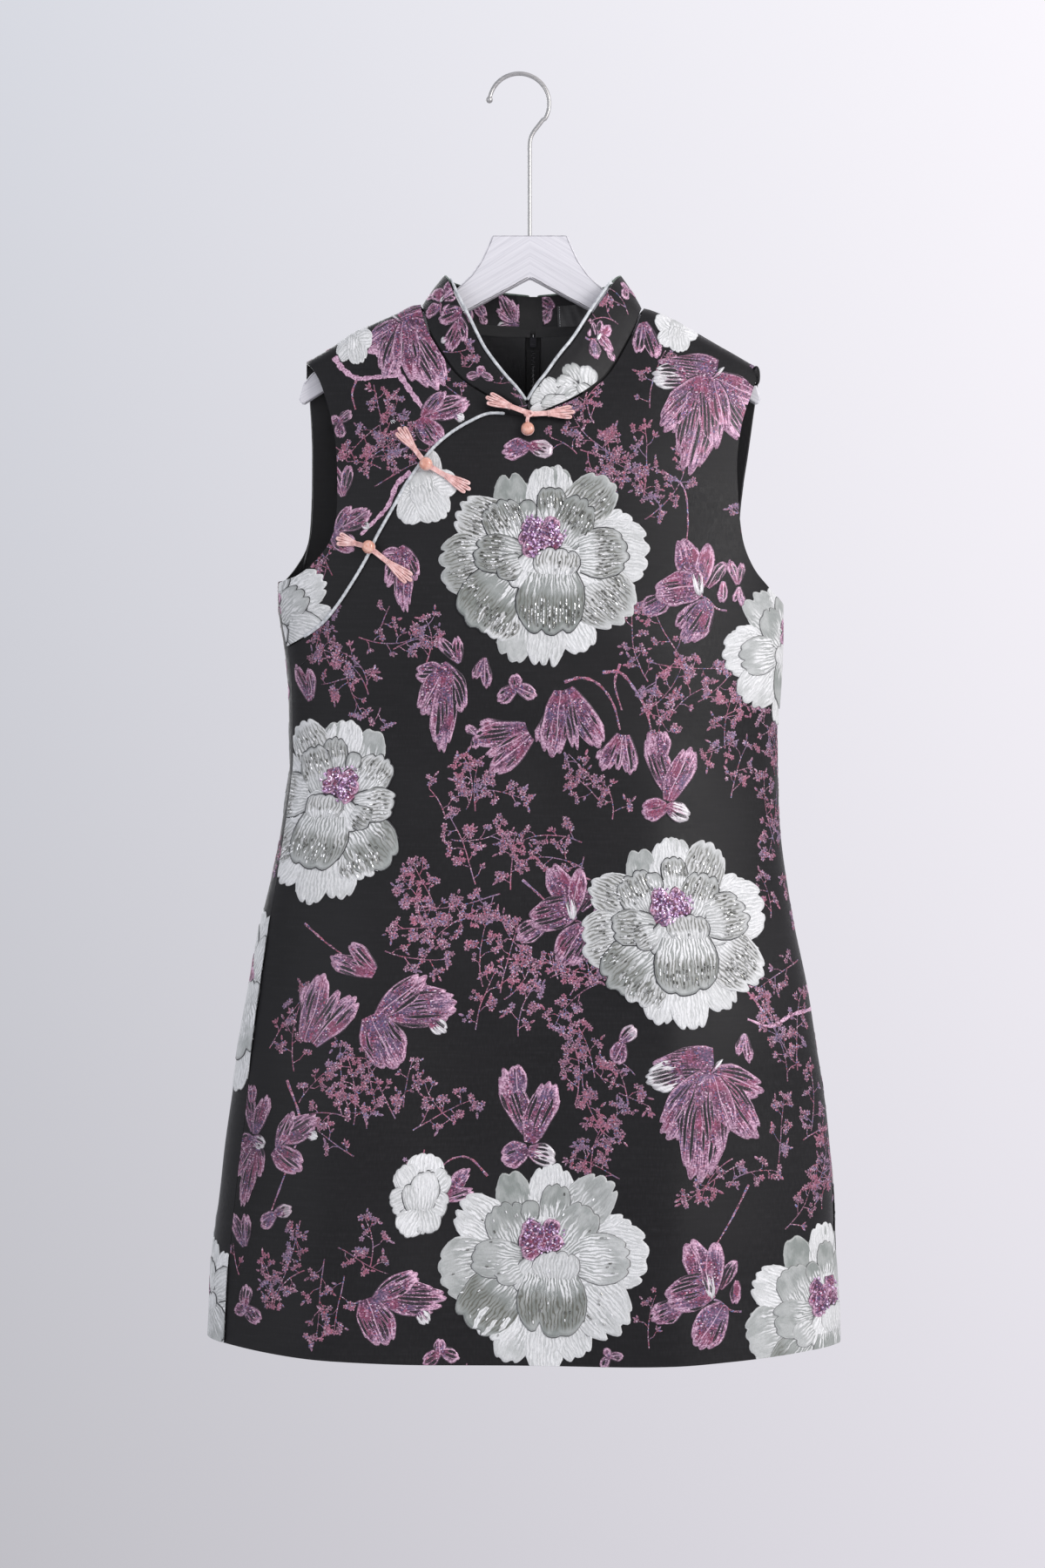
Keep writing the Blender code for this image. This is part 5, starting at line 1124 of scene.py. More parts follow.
MATS = [BROCADE, LINING_M]
front_main = panel("cloth_front_main", out_main, arch_rows(0.1040, 0.1970, w_front), mats=MATS, node="front_main")
front_shoulder = panel("cloth_front_shoulder", out_shoulder, arch_rows(-0.1750, -0.0830, w_front), mats=MATS,
                       node="front_shoulder")
back_right = panel("cloth_back_right", out_back_r, arch_rows(0.1040, 0.1970, w_back), mats=MATS, node="back_right")
back_left = panel("cloth_back_left", out_back_l, arch_rows(-0.1750, -0.0830, w_back), mats=MATS, node="back_left")

# linings, hung a little inside the back panels
LINING_IN = CLOTH + LINING_GAP
LINING_HEM = 0.030
SIDE_IN = 0.020


def down(w_of, z0, z1):
    n = max(1, round((z0 - z1) / 0.010))
    z = np.linspace(z0, z1, n + 1)
    return np.stack([w_of(z) + 0 * z, z], axis=1)


def lining(name, sign, neck_rows, arm_rows, x_neck, x_tip, side_w, side_z, hem, node):
    cb = down(lambda z: sign * (2.0 - 0.0068 / S_SCALE), -0.2122, hem[-1][1])
    neck = to_w(path(neck_rows, 0.006), w_back) - np.array((0, 0.0030))
    neck = neck[(np.abs(neck[:, 0]) < 2.0 - 0.012 / S_SCALE) & (neck[:, 1] < float(SHOULDER_Z(x_neck)) - 0.0095)]
    n = 20
    x = np.linspace(x_neck, x_tip, n + 1)
    zt = SHOULDER_Z(x) - 0.0125
    top = np.stack([w_back(x, zt), zt], axis=1)
    arm = to_w(path(arm_rows, 0.008), w_back)
    arm = arm[(arm[:, 1] < top[-1][1] - 0.012) & (arm[:, 1] > side_z + 0.030)]
    side = down(lambda z: side_w(z) + sign * SIDE_IN / S_SCALE, side_z - 0.045, hem[0][1])
    loop = np.concatenate([neck[::-1], top, arm, side, hem[1:-1], cb[::-1]])
    return panel(name, loop, thickness=LINING, push=LINING_IN, spacing=0.0095, mats=[LINING_M, LINING_M], node=node)


lin_r = lining("lining_right", 1, NECK_BACK_R, ARM_BACK_R, 0.0990, 0.1900, SIDE_R_W, -0.4378,
               hem_line(0.968 + SIDE_IN / S_SCALE, 2.0 - 0.0068 / S_SCALE, LINING_HEM), "lining_back_right")
lin_l = lining("lining_left", -1, NECK_BACK_L, ARM_BACK_L, -0.0780, -0.1690, SIDE_L_W, -0.4202,
               hem_line(-0.875 - SIDE_IN / S_SCALE, -2.0 + 0.0068 / S_SCALE, LINING_HEM), "lining_back_left")


# -------------------------------------------------------------------- collar
def seam_points(side):
    back = path(NECK_BACK_L if side < 0 else NECK_BACK_R, 0.006)[::-1]
    front = path(NECK_FRONT_L if side < 0 else NECK_FRONT_R, 0.006)
    pts = np.concatenate([body(w_back(back[:, 0], back[:, 1]), back[:, 1]),
                          body(w_front(front[1:, 0], front[1:, 1]), front[1:, 1])])
    run = np.concatenate([[0], np.cumsum(np.linalg.norm(np.diff(pts, axis=0), axis=1))])
    return pts, run / run[-1], run[-1]


SEAMS = {-1: seam_points(-1), 1: seam_points(1)}
COLLAR_ROWS = {s: {c: Curve(rows, "t", c) for c in ("dx", "dy", "dz")} for s, rows in ((-1, COLLAR_L), (1, COLLAR_R))}


def seam_at(side, t):
    pts, us, _ = SEAMS[side]
    t = np.asarray(t, float)
    out = 0
    for k in (-2, -1, 0, 1, 2):
        q = np.clip(t + k * 0.012, 0, 1)
        out = out + np.stack([np.interp(q, us, pts[:, c]) for c in range(3)], axis=-1)
    return out / 5


def collar_face(side, t, h):
    t, h = np.broadcast_arrays(np.asarray(t, float), np.asarray(h, float))
    r = COLLAR_ROWS[side]
    d = np.stack([r["dx"](t), r["dy"](t), r["dz"](t)], axis=-1)
    along = seam_at(side, np.minimum(1.0, t + 0.01)) - seam_at(side, np.maximum(0.0, t - 0.01))
    out = unit(np.cross(d, along)) * side
    return seam_at(side, t) + d * h[..., None] + out * (0.0016 * 4 * h * (1 - h))[..., None]


def collar_normal(side, t, h):
    e = 0.01
    a = collar_face(side, np.minimum(1.0, t + e), h) - collar_face(side, np.maximum(0.0, t - e), h)
    b = collar_face(side, t, h + 0.05) - collar_face(side, t, h - 0.05)
    return unit(np.cross(b, a)) * side


COLLAR_TALL = 0.033


def collar_outline(side):
    length = SEAMS[side][2]
    lo, hi = 0.0016 / COLLAR_TALL, 1.0 - 0.0018 / COLLAR_TALL
    t0 = 0.0020 / length
    bottom = [(t0 + (0.985 - t0) * i / 90, lo) for i in range(91)]
    end = [(0.9895, 0.16), (0.992, 0.45), (0.988, 0.78)]
    top = [(0.980 - (0.980 - 0.060) * i / 84, hi) for i in range(85)]
    corner = []
    for i in range(9):
        a = math.radians(90 + 90 * i / 8)
        corner.append((t0 + 0.030 + 0.030 * math.cos(a), hi - 0.34 + 0.34 * math.sin(a)))
    corner += [(t0, hi - 0.48), (t0, 0.30)]
    return np.array(bottom + end + top + corner)


def collar(name, side, node):
    length = SEAMS[side][2]
    flat_out = collar_outline(side) * np.array((length, COLLAR_TALL))
    pts = fill(flat_out, 0.0030)
    d = segment_field(flat_out, pts)
    flat, tris = triangulate(flat_out, pts[d > 0.0012], 0.0001)

    def place(p, off):
        t, h = p[:, 0] / length, p[:, 1] / COLLAR_TALL
        off = np.asarray(off, float) + 0 * t
        return collar_face(side, t, h) + collar_normal(side, t, h) * off[..., None]

    obj = shell(name, flat, tris, place, CLOTH, [BROCADE, BROCADE])
    ids = np.unique(rim_edges(tris))
    data = np.concatenate([flat, flat, flat[ids]])
    data = np.concatenate([data, np.zeros((len(data), 1))], axis=1)
    a = obj.data.attributes.new("cloth", "FLOAT_VECTOR", "POINT")
    a.data.foreach_set("vector", data.astype(np.float32).ravel())
    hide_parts(node)
    return obj, place


collar_l, place_cl = collar("cloth_collar_left", -1, "collar_left")
collar_r, place_cr = collar("cloth_collar_right", 1, "collar_right")


# ------------------------------------------------------- raised woven motifs
def signed(v, p):
    return np.copysign(np.abs(v) ** p, v)


class Woven:
    """Raised woven shapes on one piece of cloth, gathered flat as (u, z)."""

    def __init__(self, name, outline, place, mats, near_gap=0.00022):
        self.name, self.outline, self.place, self.mats, self.gap = name, outline, place, mats, near_gap
        self.parts = []
        self.n = 0
        self.discs = []
        self.beads = []

    def add(self, xy, h, fan, near, tone, faces, mat):
        data = np.concatenate([xy, h[:, None], fan, near, tone], axis=1)
        self.parts.append((data, np.asarray(faces) + self.n, mat))
        self.n += len(data)

    def heights(self, xy):
        return xy

    def build(self):
        data = np.concatenate([p[0] for p in self.parts])
        tris = np.concatenate([p[1] for p in self.parts])
        mat = np.concatenate([np.full(len(p[1]), p[2]) for p in self.parts])
        d = near_field(self.outline, data[:, :2]) - self.gap
        data, tris, mat = clip(data, tris, mat, d)
        used = np.unique(tris)
        back = np.zeros(len(data), int)
        back[used] = np.arange(len(used))
        data, tris = data[used], back[tris]
        verts = self.place(data[:, :2], data[:, 2])
        cloth = np.concatenate([data[:, :2], np.zeros((len(data), 1))], axis=1)
        obj = new_object(self.name, verts, tris, self.mats, mat,
                         attrs={"cloth": cloth, "fan": data[:, 3:6], "near": data[:, 6:9], "tone": data[:, 9:12]})
        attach(obj, GARMENT)
        return obj


def near_field(outline, pts, cell=0.006):
    """Signed distance: exact near the outline, from a coarse grid elsewhere."""
    lo = outline.min(0) - 0.03
    hi = outline.max(0) + 0.03
    n = np.ceil((hi - lo) / cell).astype(int) + 1
    gx, gy = np.meshgrid(lo[0] + cell * np.arange(n[0]), lo[1] + cell * np.arange(n[1]), indexing="ij")
    grid = segment_field(outline, np.stack([gx.ravel(), gy.ravel()], 1)).reshape(gx.shape)
    i = np.clip(np.rint((pts - lo) / cell).astype(int), 0, n - 1)
    d = grid[i[:, 0], i[:, 1]]
    close = np.abs(d) < 0.009
    d[close] = segment_field(outline, pts[close])
    return d


def clip(data, tris, mat, d):
    """Keep the part of a flat mesh where d is positive, cutting triangles."""
    k = (d[tris] > 0)
    c = k.sum(1)
    out_t = [tris[c == 3]]
    out_m = [mat[c == 3]]
    extra = []
    base = len(data)

    def cut(i, j):
        t = d[i] / (d[i] - d[j])
        return data[i] + (data[j] - data[i]) * t[:, None]

    for want in (1, 2):
        sel = c == want
        tt, kk, mm = tris[sel], k[sel], mat[sel]
        if not len(tt):
            continue
        odd = kk.argmax(1) if want == 1 else (~kk).argmax(1)
        rows = np.arange(len(tt))
        a, b, e = tt[rows, odd], tt[rows, (odd + 1) % 3], tt[rows, (odd + 2) % 3]
        ab, ae = cut(a, b), cut(a, e)
        i_ab = base + np.arange(len(tt))
        i_ae = i_ab + len(tt)
        extra += [ab, ae]
        base += 2 * len(tt)
        if want == 1:
            out_t.append(np.stack([a, i_ab, i_ae], 1))
            out_m.append(mm)
        else:
            out_t += [np.stack([i_ab, b, e], 1), np.stack([i_ab, e, i_ae], 1)]
            out_m += [mm, mm]
    if extra:
        data = np.concatenate([data] + extra)
    return data, np.concatenate(out_t), np.concatenate(out_m)


class Spot:
    """Where a motif sits: flat centre, how much flat width one metre of cloth
    takes there, turn, size and whether it is mirrored."""

    def __init__(self, u, z, kx=1.0, turn=0.0, size=1.0, flip=False):
        self.u, self.z, self.kx, self.size = u, z, kx, size
        self.c, self.s, self.f = math.cos(math.radians(turn)), math.sin(math.radians(turn)), -1.0 if flip else 1.0
        self.flipped = flip

    def flat(self, x, y):
        x = np.asarray(x) * self.f
        y = np.asarray(y)
        x, y = (x * self.c - y * self.s) * self.size, (x * self.s + y * self.c) * self.size
        return np.stack([self.u + x * self.kx, self.z + y], axis=-1)


rnd = random.Random(77)
SERIAL = [0]
RINGS_R = np.array([0.0, 0.18, 0.40, 0.62, 0.82, 0.94, 1.0])


def grid_tris(nr, nc):
    i, j = np.meshgrid(np.arange(nr - 1), np.arange(nc - 1), indexing="ij")
    a = (i * nc + j).ravel()
    b, c, e = a + 1, a + nc, a + nc + 1
    return np.concatenate([np.stack([a, c, e], 1), np.stack([a, e, b], 1)])


def petal(W, at, cx, cy, turn, long, wide, lobes=3, depth=0.08, point=0.24, power=3.0, bend=0.0, notch=0.36,
          mat=0, layer=0, tone=(0.5, 0, 0), base=0.00024, dome=0.00028, ruffle=0.00014, foot=0.45, rings=None, segs=None,
          beads=None, step=0.00005, wavy=0.05, taper=0.0):
    """One petal or leaf blade, centred on (cx, cy) of its motif and opening
    towards turn (degrees): a foot of part width, bowed sides, scalloped top."""
    SERIAL[0] += 1
    num = (SERIAL[0] * 0.6180339) % 1.0
    j = [rnd.uniform(-1, 1) for _ in range(10)]
    ns = segs or max(12, 6 * max(1, lobes))
    s = np.linspace(-1, 1, ns + 1)
    s = np.sign(s) * (1 - (1 - np.abs(s)) ** 1.25)
    top = 1 - point * np.abs(s) ** power
    if lobes > 1:
        warp = s + 0.10 * j[0] * np.sin(2.4 * s + j[1] * 3)
        sc = np.abs(np.sin(np.pi * lobes * (warp + 1) / 2 + 0.25 * j[2])) ** notch
        uneven = 1 + 0.55 * j[9] * np.sin(3.3 * s + 4 * j[7])
        top = top * (1 - depth * uneven * (1 - sc) * (1 - np.abs(s) ** 8))
    top = top * (1 + 0.035 * j[3] * np.sin(2.2 * s + 3 * j[4]) + 0.02 * j[5] * np.sin(5.0 * s + 3 * j[6]))
    r = RINGS_R if rings is None else np.linspace(0, 1, rings)
    rr, ss = np.meshgrid(r, s, indexing="ij")
    T = np.broadcast_to(top, rr.shape)
    prof = foot + (1 - foot) * np.sin(np.minimum(rr * 1.45, 1.0) * math.pi / 2) ** 0.9
    prof = prof * (1 - 0.10 * smooth_step(0.72, 1.0, rr)) * (1 - taper * rr**1.3)
    prof = prof * (1 + wavy * np.sin(rr * 9.0 + 3 * j[7]) * np.sign(ss) * j[8])
    X = ss * wide * 0.5 * prof + bend * long * 0.5 * rr**2
    Y = long * (rr * T - 0.5)
    c, q = math.cos(math.radians(turn)), math.sin(math.radians(turn))
    x = cx + Y * c - X * q
    y = cy + Y * q + X * c
    e = np.minimum((1 - rr) * T * long, (1 - np.abs(ss)) * wide * 0.5 * prof) * at.size
    high = base + layer * step
    h = high + dome * (1 - np.exp(-e / 0.0011)) + ruffle * np.cos(np.pi * lobes * (ss + 1)) * rr**2
    h = h + 0.6 * ruffle * np.cos(np.pi * 4.3 * ss + num * 6) * rr**2
    h = np.maximum(h, high * 0.6)
    h = 0.00012 + (h - 0.00012) * smooth_step(0.0, 0.16, rr)
    pad = lambda v: np.pad(v, ((0, 1), (1, 1)), mode="edge")
    xo, yo, ho, ro, so, eo = pad(x), pad(y), pad(h), pad(rr), pad(ss), pad(e)
    ho[-1, :] = -0.0001
    ho[:, 0] = -0.0001
    ho[:, -1] = -0.0001
    flat = at.flat(xo.ravel(), yo.ravel())
    fan = np.stack([so.ravel(), ro.ravel(), np.full(so.size, num)], 1)
    near = np.stack([so.ravel() * wide * 0.5, ro.ravel() * long, eo.ravel() / at.size], 1) * at.size * 1000
    tn = np.tile(np.asarray(tone, float), (so.size, 1))
    t = grid_tris(*xo.shape)
    if at.flipped:
        t = t[:, ::-1]
    W.add(flat, ho.ravel(), fan, near, tn, t, mat)
    if beads:
        # stripes of bugles threaded end to end, running with the petal
        r0, r1, _, fill_p = beads
        k = max(2, int(wide * at.size / 0.0029))
        hop = 0.0029 / (long * at.size)
        for m in range(k):
            sb = -0.84 + 1.68 * (m + 0.5 + rnd.uniform(-0.22, 0.22)) / k
            rb = r0 + rnd.uniform(-0.06, 0.08) + 0.05 * abs(sb)
            stop = r1 + rnd.uniform(-0.10, 0.04) - 0.10 * sb * sb
            tb = float(np.interp(sb, s, top))
            while rb + hop < stop:
                if rnd.random() < fill_p:
                    pts = []
                    for rq in (rb, rb + hop):
                        pb = foot + (1 - foot) * math.sin(min(rq * 1.45, 1.0) * math.pi / 2) ** 0.9
                        Xb = sb * wide * 0.5 * pb + bend * long * 0.5 * rq**2
                        Yb = long * (rq * tb - 0.5)
                        pts.append(at.flat(cx + Yb * c - Xb * q, cy + Yb * q + Xb * c))
                    W.beads.append(((pts[0] + pts[1]) * 0.5, pts[1] - pts[0], high + dome, 0))
                rb += hop * 1.06


def ribbon(W, at, pts, width, mat=2, base=0.00017, tone=(0.3, 0, 0)):
    """A twig or branch along local points."""
    pts = np.asarray(pts, float)
    n = len(pts)
    tg = np.gradient(pts, axis=0)
    tg /= np.maximum(1e-9, np.linalg.norm(tg, axis=1, keepdims=True))
    nr = np.stack([-tg[:, 1], tg[:, 0]], 1)
    wd = np.broadcast_to(np.asarray(width, float), (n,))[:, None] * 0.5
    cols = [pts + nr * wd, pts, pts - nr * wd]
    xy = np.stack(cols, 1).reshape(-1, 2)
    flat = at.flat(xy[:, 0], xy[:, 1])
    h = np.tile([base * 0.3, base + 0.00012, base * 0.3], n)
    SERIAL[0] += 1
    num = (SERIAL[0] * 0.6180339) % 1.0
    fan = np.stack([np.tile([-1.0, 0, 1.0], n), np.full(3 * n, 0.62), np.full(3 * n, num)], 1)
    near = np.tile([0.0, 0.0, 1.0], (3 * n, 1))
    tn = np.tile(np.asarray(tone, float), (3 * n, 1))
    t = grid_tris(n, 3)
    if at.flipped:
        t = t[:, ::-1]
    W.add(flat, h, fan, near, tn, t, mat)


def smooth_line(pts, per=6):
    pts = np.asarray(pts, float)
    out = []
    for i in range(len(pts) - 1):
        p0 = pts[i - 1] if i else pts[i] * 2 - pts[i + 1]
        p1, p2 = pts[i], pts[i + 1]
        p3 = pts[i + 2] if i + 2 < len(pts) else pts[i + 1] * 2 - pts[i]
        for j in range(per):
            t = j / per
            out.append(0.5 * (2 * p1 + (p2 - p0) * t + (2 * p0 - 5 * p1 + 4 * p2 - p3) * t * t
                              + (3 * p1 - p0 - 3 * p2 + p3) * t**3))
    out.append(pts[-1])
    return np.array(out)


def blossom(W, at, x, y, radius, turn, tone, petals=5, base=0.00019, mat=2):
    """Five round petals; fan r runs from the eye (0) to the rim (1)."""
    n = petals * 4
    half = n // 2
    a = np.linspace(0, 2 * math.pi, n, endpoint=False) + turn
    R = radius * (0.50 + 0.50 * np.abs(np.cos(petals * (a - turn) / 2)) ** 0.60)
    am, mid = a[::2], 0.55 * R[::2]
    xs = np.concatenate([[0], mid * np.cos(am), R * np.cos(a)]) + x
    ys = np.concatenate([[0], mid * np.sin(am), R * np.sin(a)]) + y
    h = np.concatenate([[base + 0.00004], np.full(half, base + 0.00018), np.full(n, base * 0.35)])
    r = np.concatenate([[0], np.full(half, 0.55), np.ones(n)])
    tris = []
    for i in range(half):
        k = (i + 1) % half
        o, m, e = 1 + half + 2 * i, 2 + half + 2 * i, 1 + half + (2 * i + 2) % n
        tris += [[0, 1 + i, 1 + k], [1 + i, o, m], [1 + i, m, 1 + k], [m, e, 1 + k]]
    tris = np.array(tris)
    if at.flipped:
        tris = tris[:, ::-1]
    SERIAL[0] += 1
    num = (SERIAL[0] * 0.6180339) % 1.0
    m = len(xs)
    fan = np.stack([np.zeros(m), r, np.full(m, num)], 1)
    near = np.tile([0.0, 0.0, 1.0], (m, 1))
    W.add(at.flat(xs, ys), h, fan, near, np.tile(np.asarray(tone, float), (m, 1)), tris, mat)


def leaflet(W, at, x, y, turn, long, wide, tone, mat=2, base=0.00018):
    t = np.array([0, 0.28, 0.68, 1.0])
    wd = wide * 0.5 * np.array([0.05, 0.92, 0.88, 0.03])
    c, s = math.cos(turn), math.sin(turn)
    pts = []
    for ti, w_ in zip(t, wd):
        for k, hh in ((1, 0), (0, 1), (-1, 0)):
            lx, ly = ti * long, k * w_
            pts.append((x + lx * c - ly * s, y + lx * s + ly * c, base * 0.35 + hh * (base * 0.65 + 0.00012), ti * 0.8 + 0.2, k))
    p = np.array(pts)
    SERIAL[0] += 1
    num = (SERIAL[0] * 0.6180339) % 1.0
    fan = np.stack([p[:, 4], p[:, 3], np.full(len(p), num)], 1)
    near = np.tile([0.0, 0.0, 1.0], (len(p), 1))
    tr = grid_tris(4, 3)
    if at.flipped:
        tr = tr[:, ::-1]
    W.add(at.flat(p[:, 0], p[:, 1]), p[:, 2], fan, near, np.tile(np.asarray(tone, float), (len(p), 1)), tr, mat)


# a peony's petals in parts of its radius, from the lowest to the top one:
# centre, the way it opens, length, width, scallops, whiteness, outline, beads
BEADED = (0.48, 0.90, 4, 0.85)
PEONY = [
    (0.17, 0.66, 80, 0.34, 0.32, 2, 0.15, 0, None),
    (-0.30, 0.48, 102, 0.56, 0.38, 2, 0.12, 0, None),
    (0.10, 0.50, 88, 0.70, 0.50, 4, 0.95, 0, None),
    (0.78, 0.12, 38, 0.52, 0.40, 3, 0.80, 0, None),
    (0.48, 0.42, 52, 0.74, 0.52, 4, 0.42, 0, (0.55, 0.85, 3, 0.5)),
    (0.84, -0.10, 355, 0.72, 0.70, 4, 0.85, 0, None),
    (-0.62, 0.26, 150, 0.64, 0.50, 4, 0.70, 0, (0.40, 0.80, 4, 0.75)),
    (-0.78, -0.24, 188, 0.60, 0.66, 4, 0.45, 0, (0.40, 0.82, 4, 0.75)),
    (-0.24, -0.98, 252, 0.64, 0.40, 3, 0.50, 0, None),
    (0.35, -0.94, 292, 0.58, 0.42, 3, 0.85, 0, None),
    (0.06, -1.06, 268, 0.66, 0.42, 3, 0.95, 0, None),
    (-0.46, -0.82, 238, 0.50, 0.54, 4, 0.85, 0, (0.50, 0.92, 3, 0.85)),
    (-0.52, -0.60, 222, 0.78, 0.64, 3, 0.08, 1, (0.56, 0.80, 2, 0.55)),
    (0.62, -0.56, 318, 0.86, 0.68, 4, 0.60, 0, (0.55, 0.90, 5, 0.80)),
    (0.42, -0.24, 345, 0.60, 0.46, 2, 1.00, 1, None),
    (0.10, 0.24, 88, 0.44, 0.40, 2, 1.00, 0, None),
    (0.13, 0.42, 88, 0.42, 0.32, 3, 0.22, 1, BEADED),
    (-0.36, 0.22, 114, 0.50, 0.48, 4, 0.35, 1, (0.35, 0.90, 4, 0.75)),
    (0.36, 0.18, 60, 0.60, 0.44, 3, 0.30, 1, (0.45, 0.88, 4, 0.75)),
    (0.66, -0.12, 2, 0.60, 0.54, 4, 0.45, 1, (0.45, 0.90, 4, 0.85)),
    (-0.46, -0.14, 176, 0.52, 0.42, 3, 0.35, 1, (0.35, 0.90, 4, 0.80)),
    (-0.12, 0.34, 98, 0.24, 0.20, 1, 0.20, 1, None),
    (-0.12, -0.34, 240, 0.42, 0.36, 2, 1.00, 1, None),
    (-0.34, -0.30, 206, 0.32, 0.30, 2, 0.45, 1, (0.40, 0.85, 2, 0.70)),
    (0.12, -0.62, 270, 0.78, 0.72, 3, 0.10, 1, (0.56, 0.95, 5, 0.85)),
    (0.17, -0.24, 88, 0.34, 0.50, 4, 0.90, 1, (0.20, 0.60, 2, 0.30)),
]


def peony(W, at, radius, white=0.0, outline=1.0, beads=1.0, crystals=110, skip=(), heart=1.0, speck=0.0, shift=0.0):
    for i, (cx, cy, turn, long, wide, lobes, pale, line, bd) in enumerate(PEONY):
        if i in skip:
            continue
        pale = min(1.0, max(0.0, pale + white + rnd.uniform(-0.06, 0.06)))
        b = None
        if bd and beads:
            b = (bd[0], bd[1], bd[2], bd[3] * min(1.0, beads))
        band = 0.85 * min(1.0, beads * 1.2) if bd else 0.0
        if speck and i in (12, 24):
            band = speck
        petal(W, at, (cx + rnd.uniform(-0.02, 0.02)) * radius, (cy + rnd.uniform(-0.02, 0.02)) * radius,
              turn + rnd.uniform(-4, 4) + shift * cx * 6, long * radius * 1.06, wide * radius * 1.08, lobes,
              depth=rnd.uniform(0.10, 0.17), bend=rnd.uniform(-0.12, 0.12), layer=i, tone=(pale, line * outline, band), beads=b,
              power=rnd.uniform(2.6, 3.6), foot=0.55 if line else 0.42)
    # the heart: a lilac ground of round florets, crystals heaped over it
    if heart:
        for hx, hy, hr in ((-0.10, 0.16, 0.22), (0.12, 0.18, 0.20), (0.02, 0.05, 0.26), (0.16, 0.02, 0.20), (-0.10, -0.08, 0.20), (-0.14, 0.04, 0.20)):
            petal(W, at, hx * radius, hy * radius, rnd.uniform(0, 360), hr * radius, hr * radius, 3, layer=25, mat=1,
                  tone=(0.3, 0.0, 0.0), rings=6, segs=14, ruffle=0, foot=0.7)
    for k in range(int(crystals * 1.7)):
        a, q = rnd.uniform(0, 2 * math.pi), math.sqrt(rnd.random())
        cxx = 0.02 + 0.235 * q * math.cos(a) + 0.04 * math.sin(a * 2 + 1)
        cyy = 0.06 + 0.21 * q * math.sin(a) * (1 + 0.25 * math.cos(a * 3))
        p = at.flat(cxx * radius, cyy * radius)
        W.beads.append((p, np.array((math.cos(a * 3) * 0.001, math.sin(a * 3) * 0.001)), 0.00155, 1))
    for rr in ((0, 0, 0.85), (0, -0.5, 0.75), (0.5, -0.1, 0.68), (-0.5, -0.1, 0.62)):
        c = at.flat(rr[0] * radius, rr[1] * radius)
        W.discs.append((float(c[0]), float(c[1]), rr[2] * radius * at.size, at.kx))


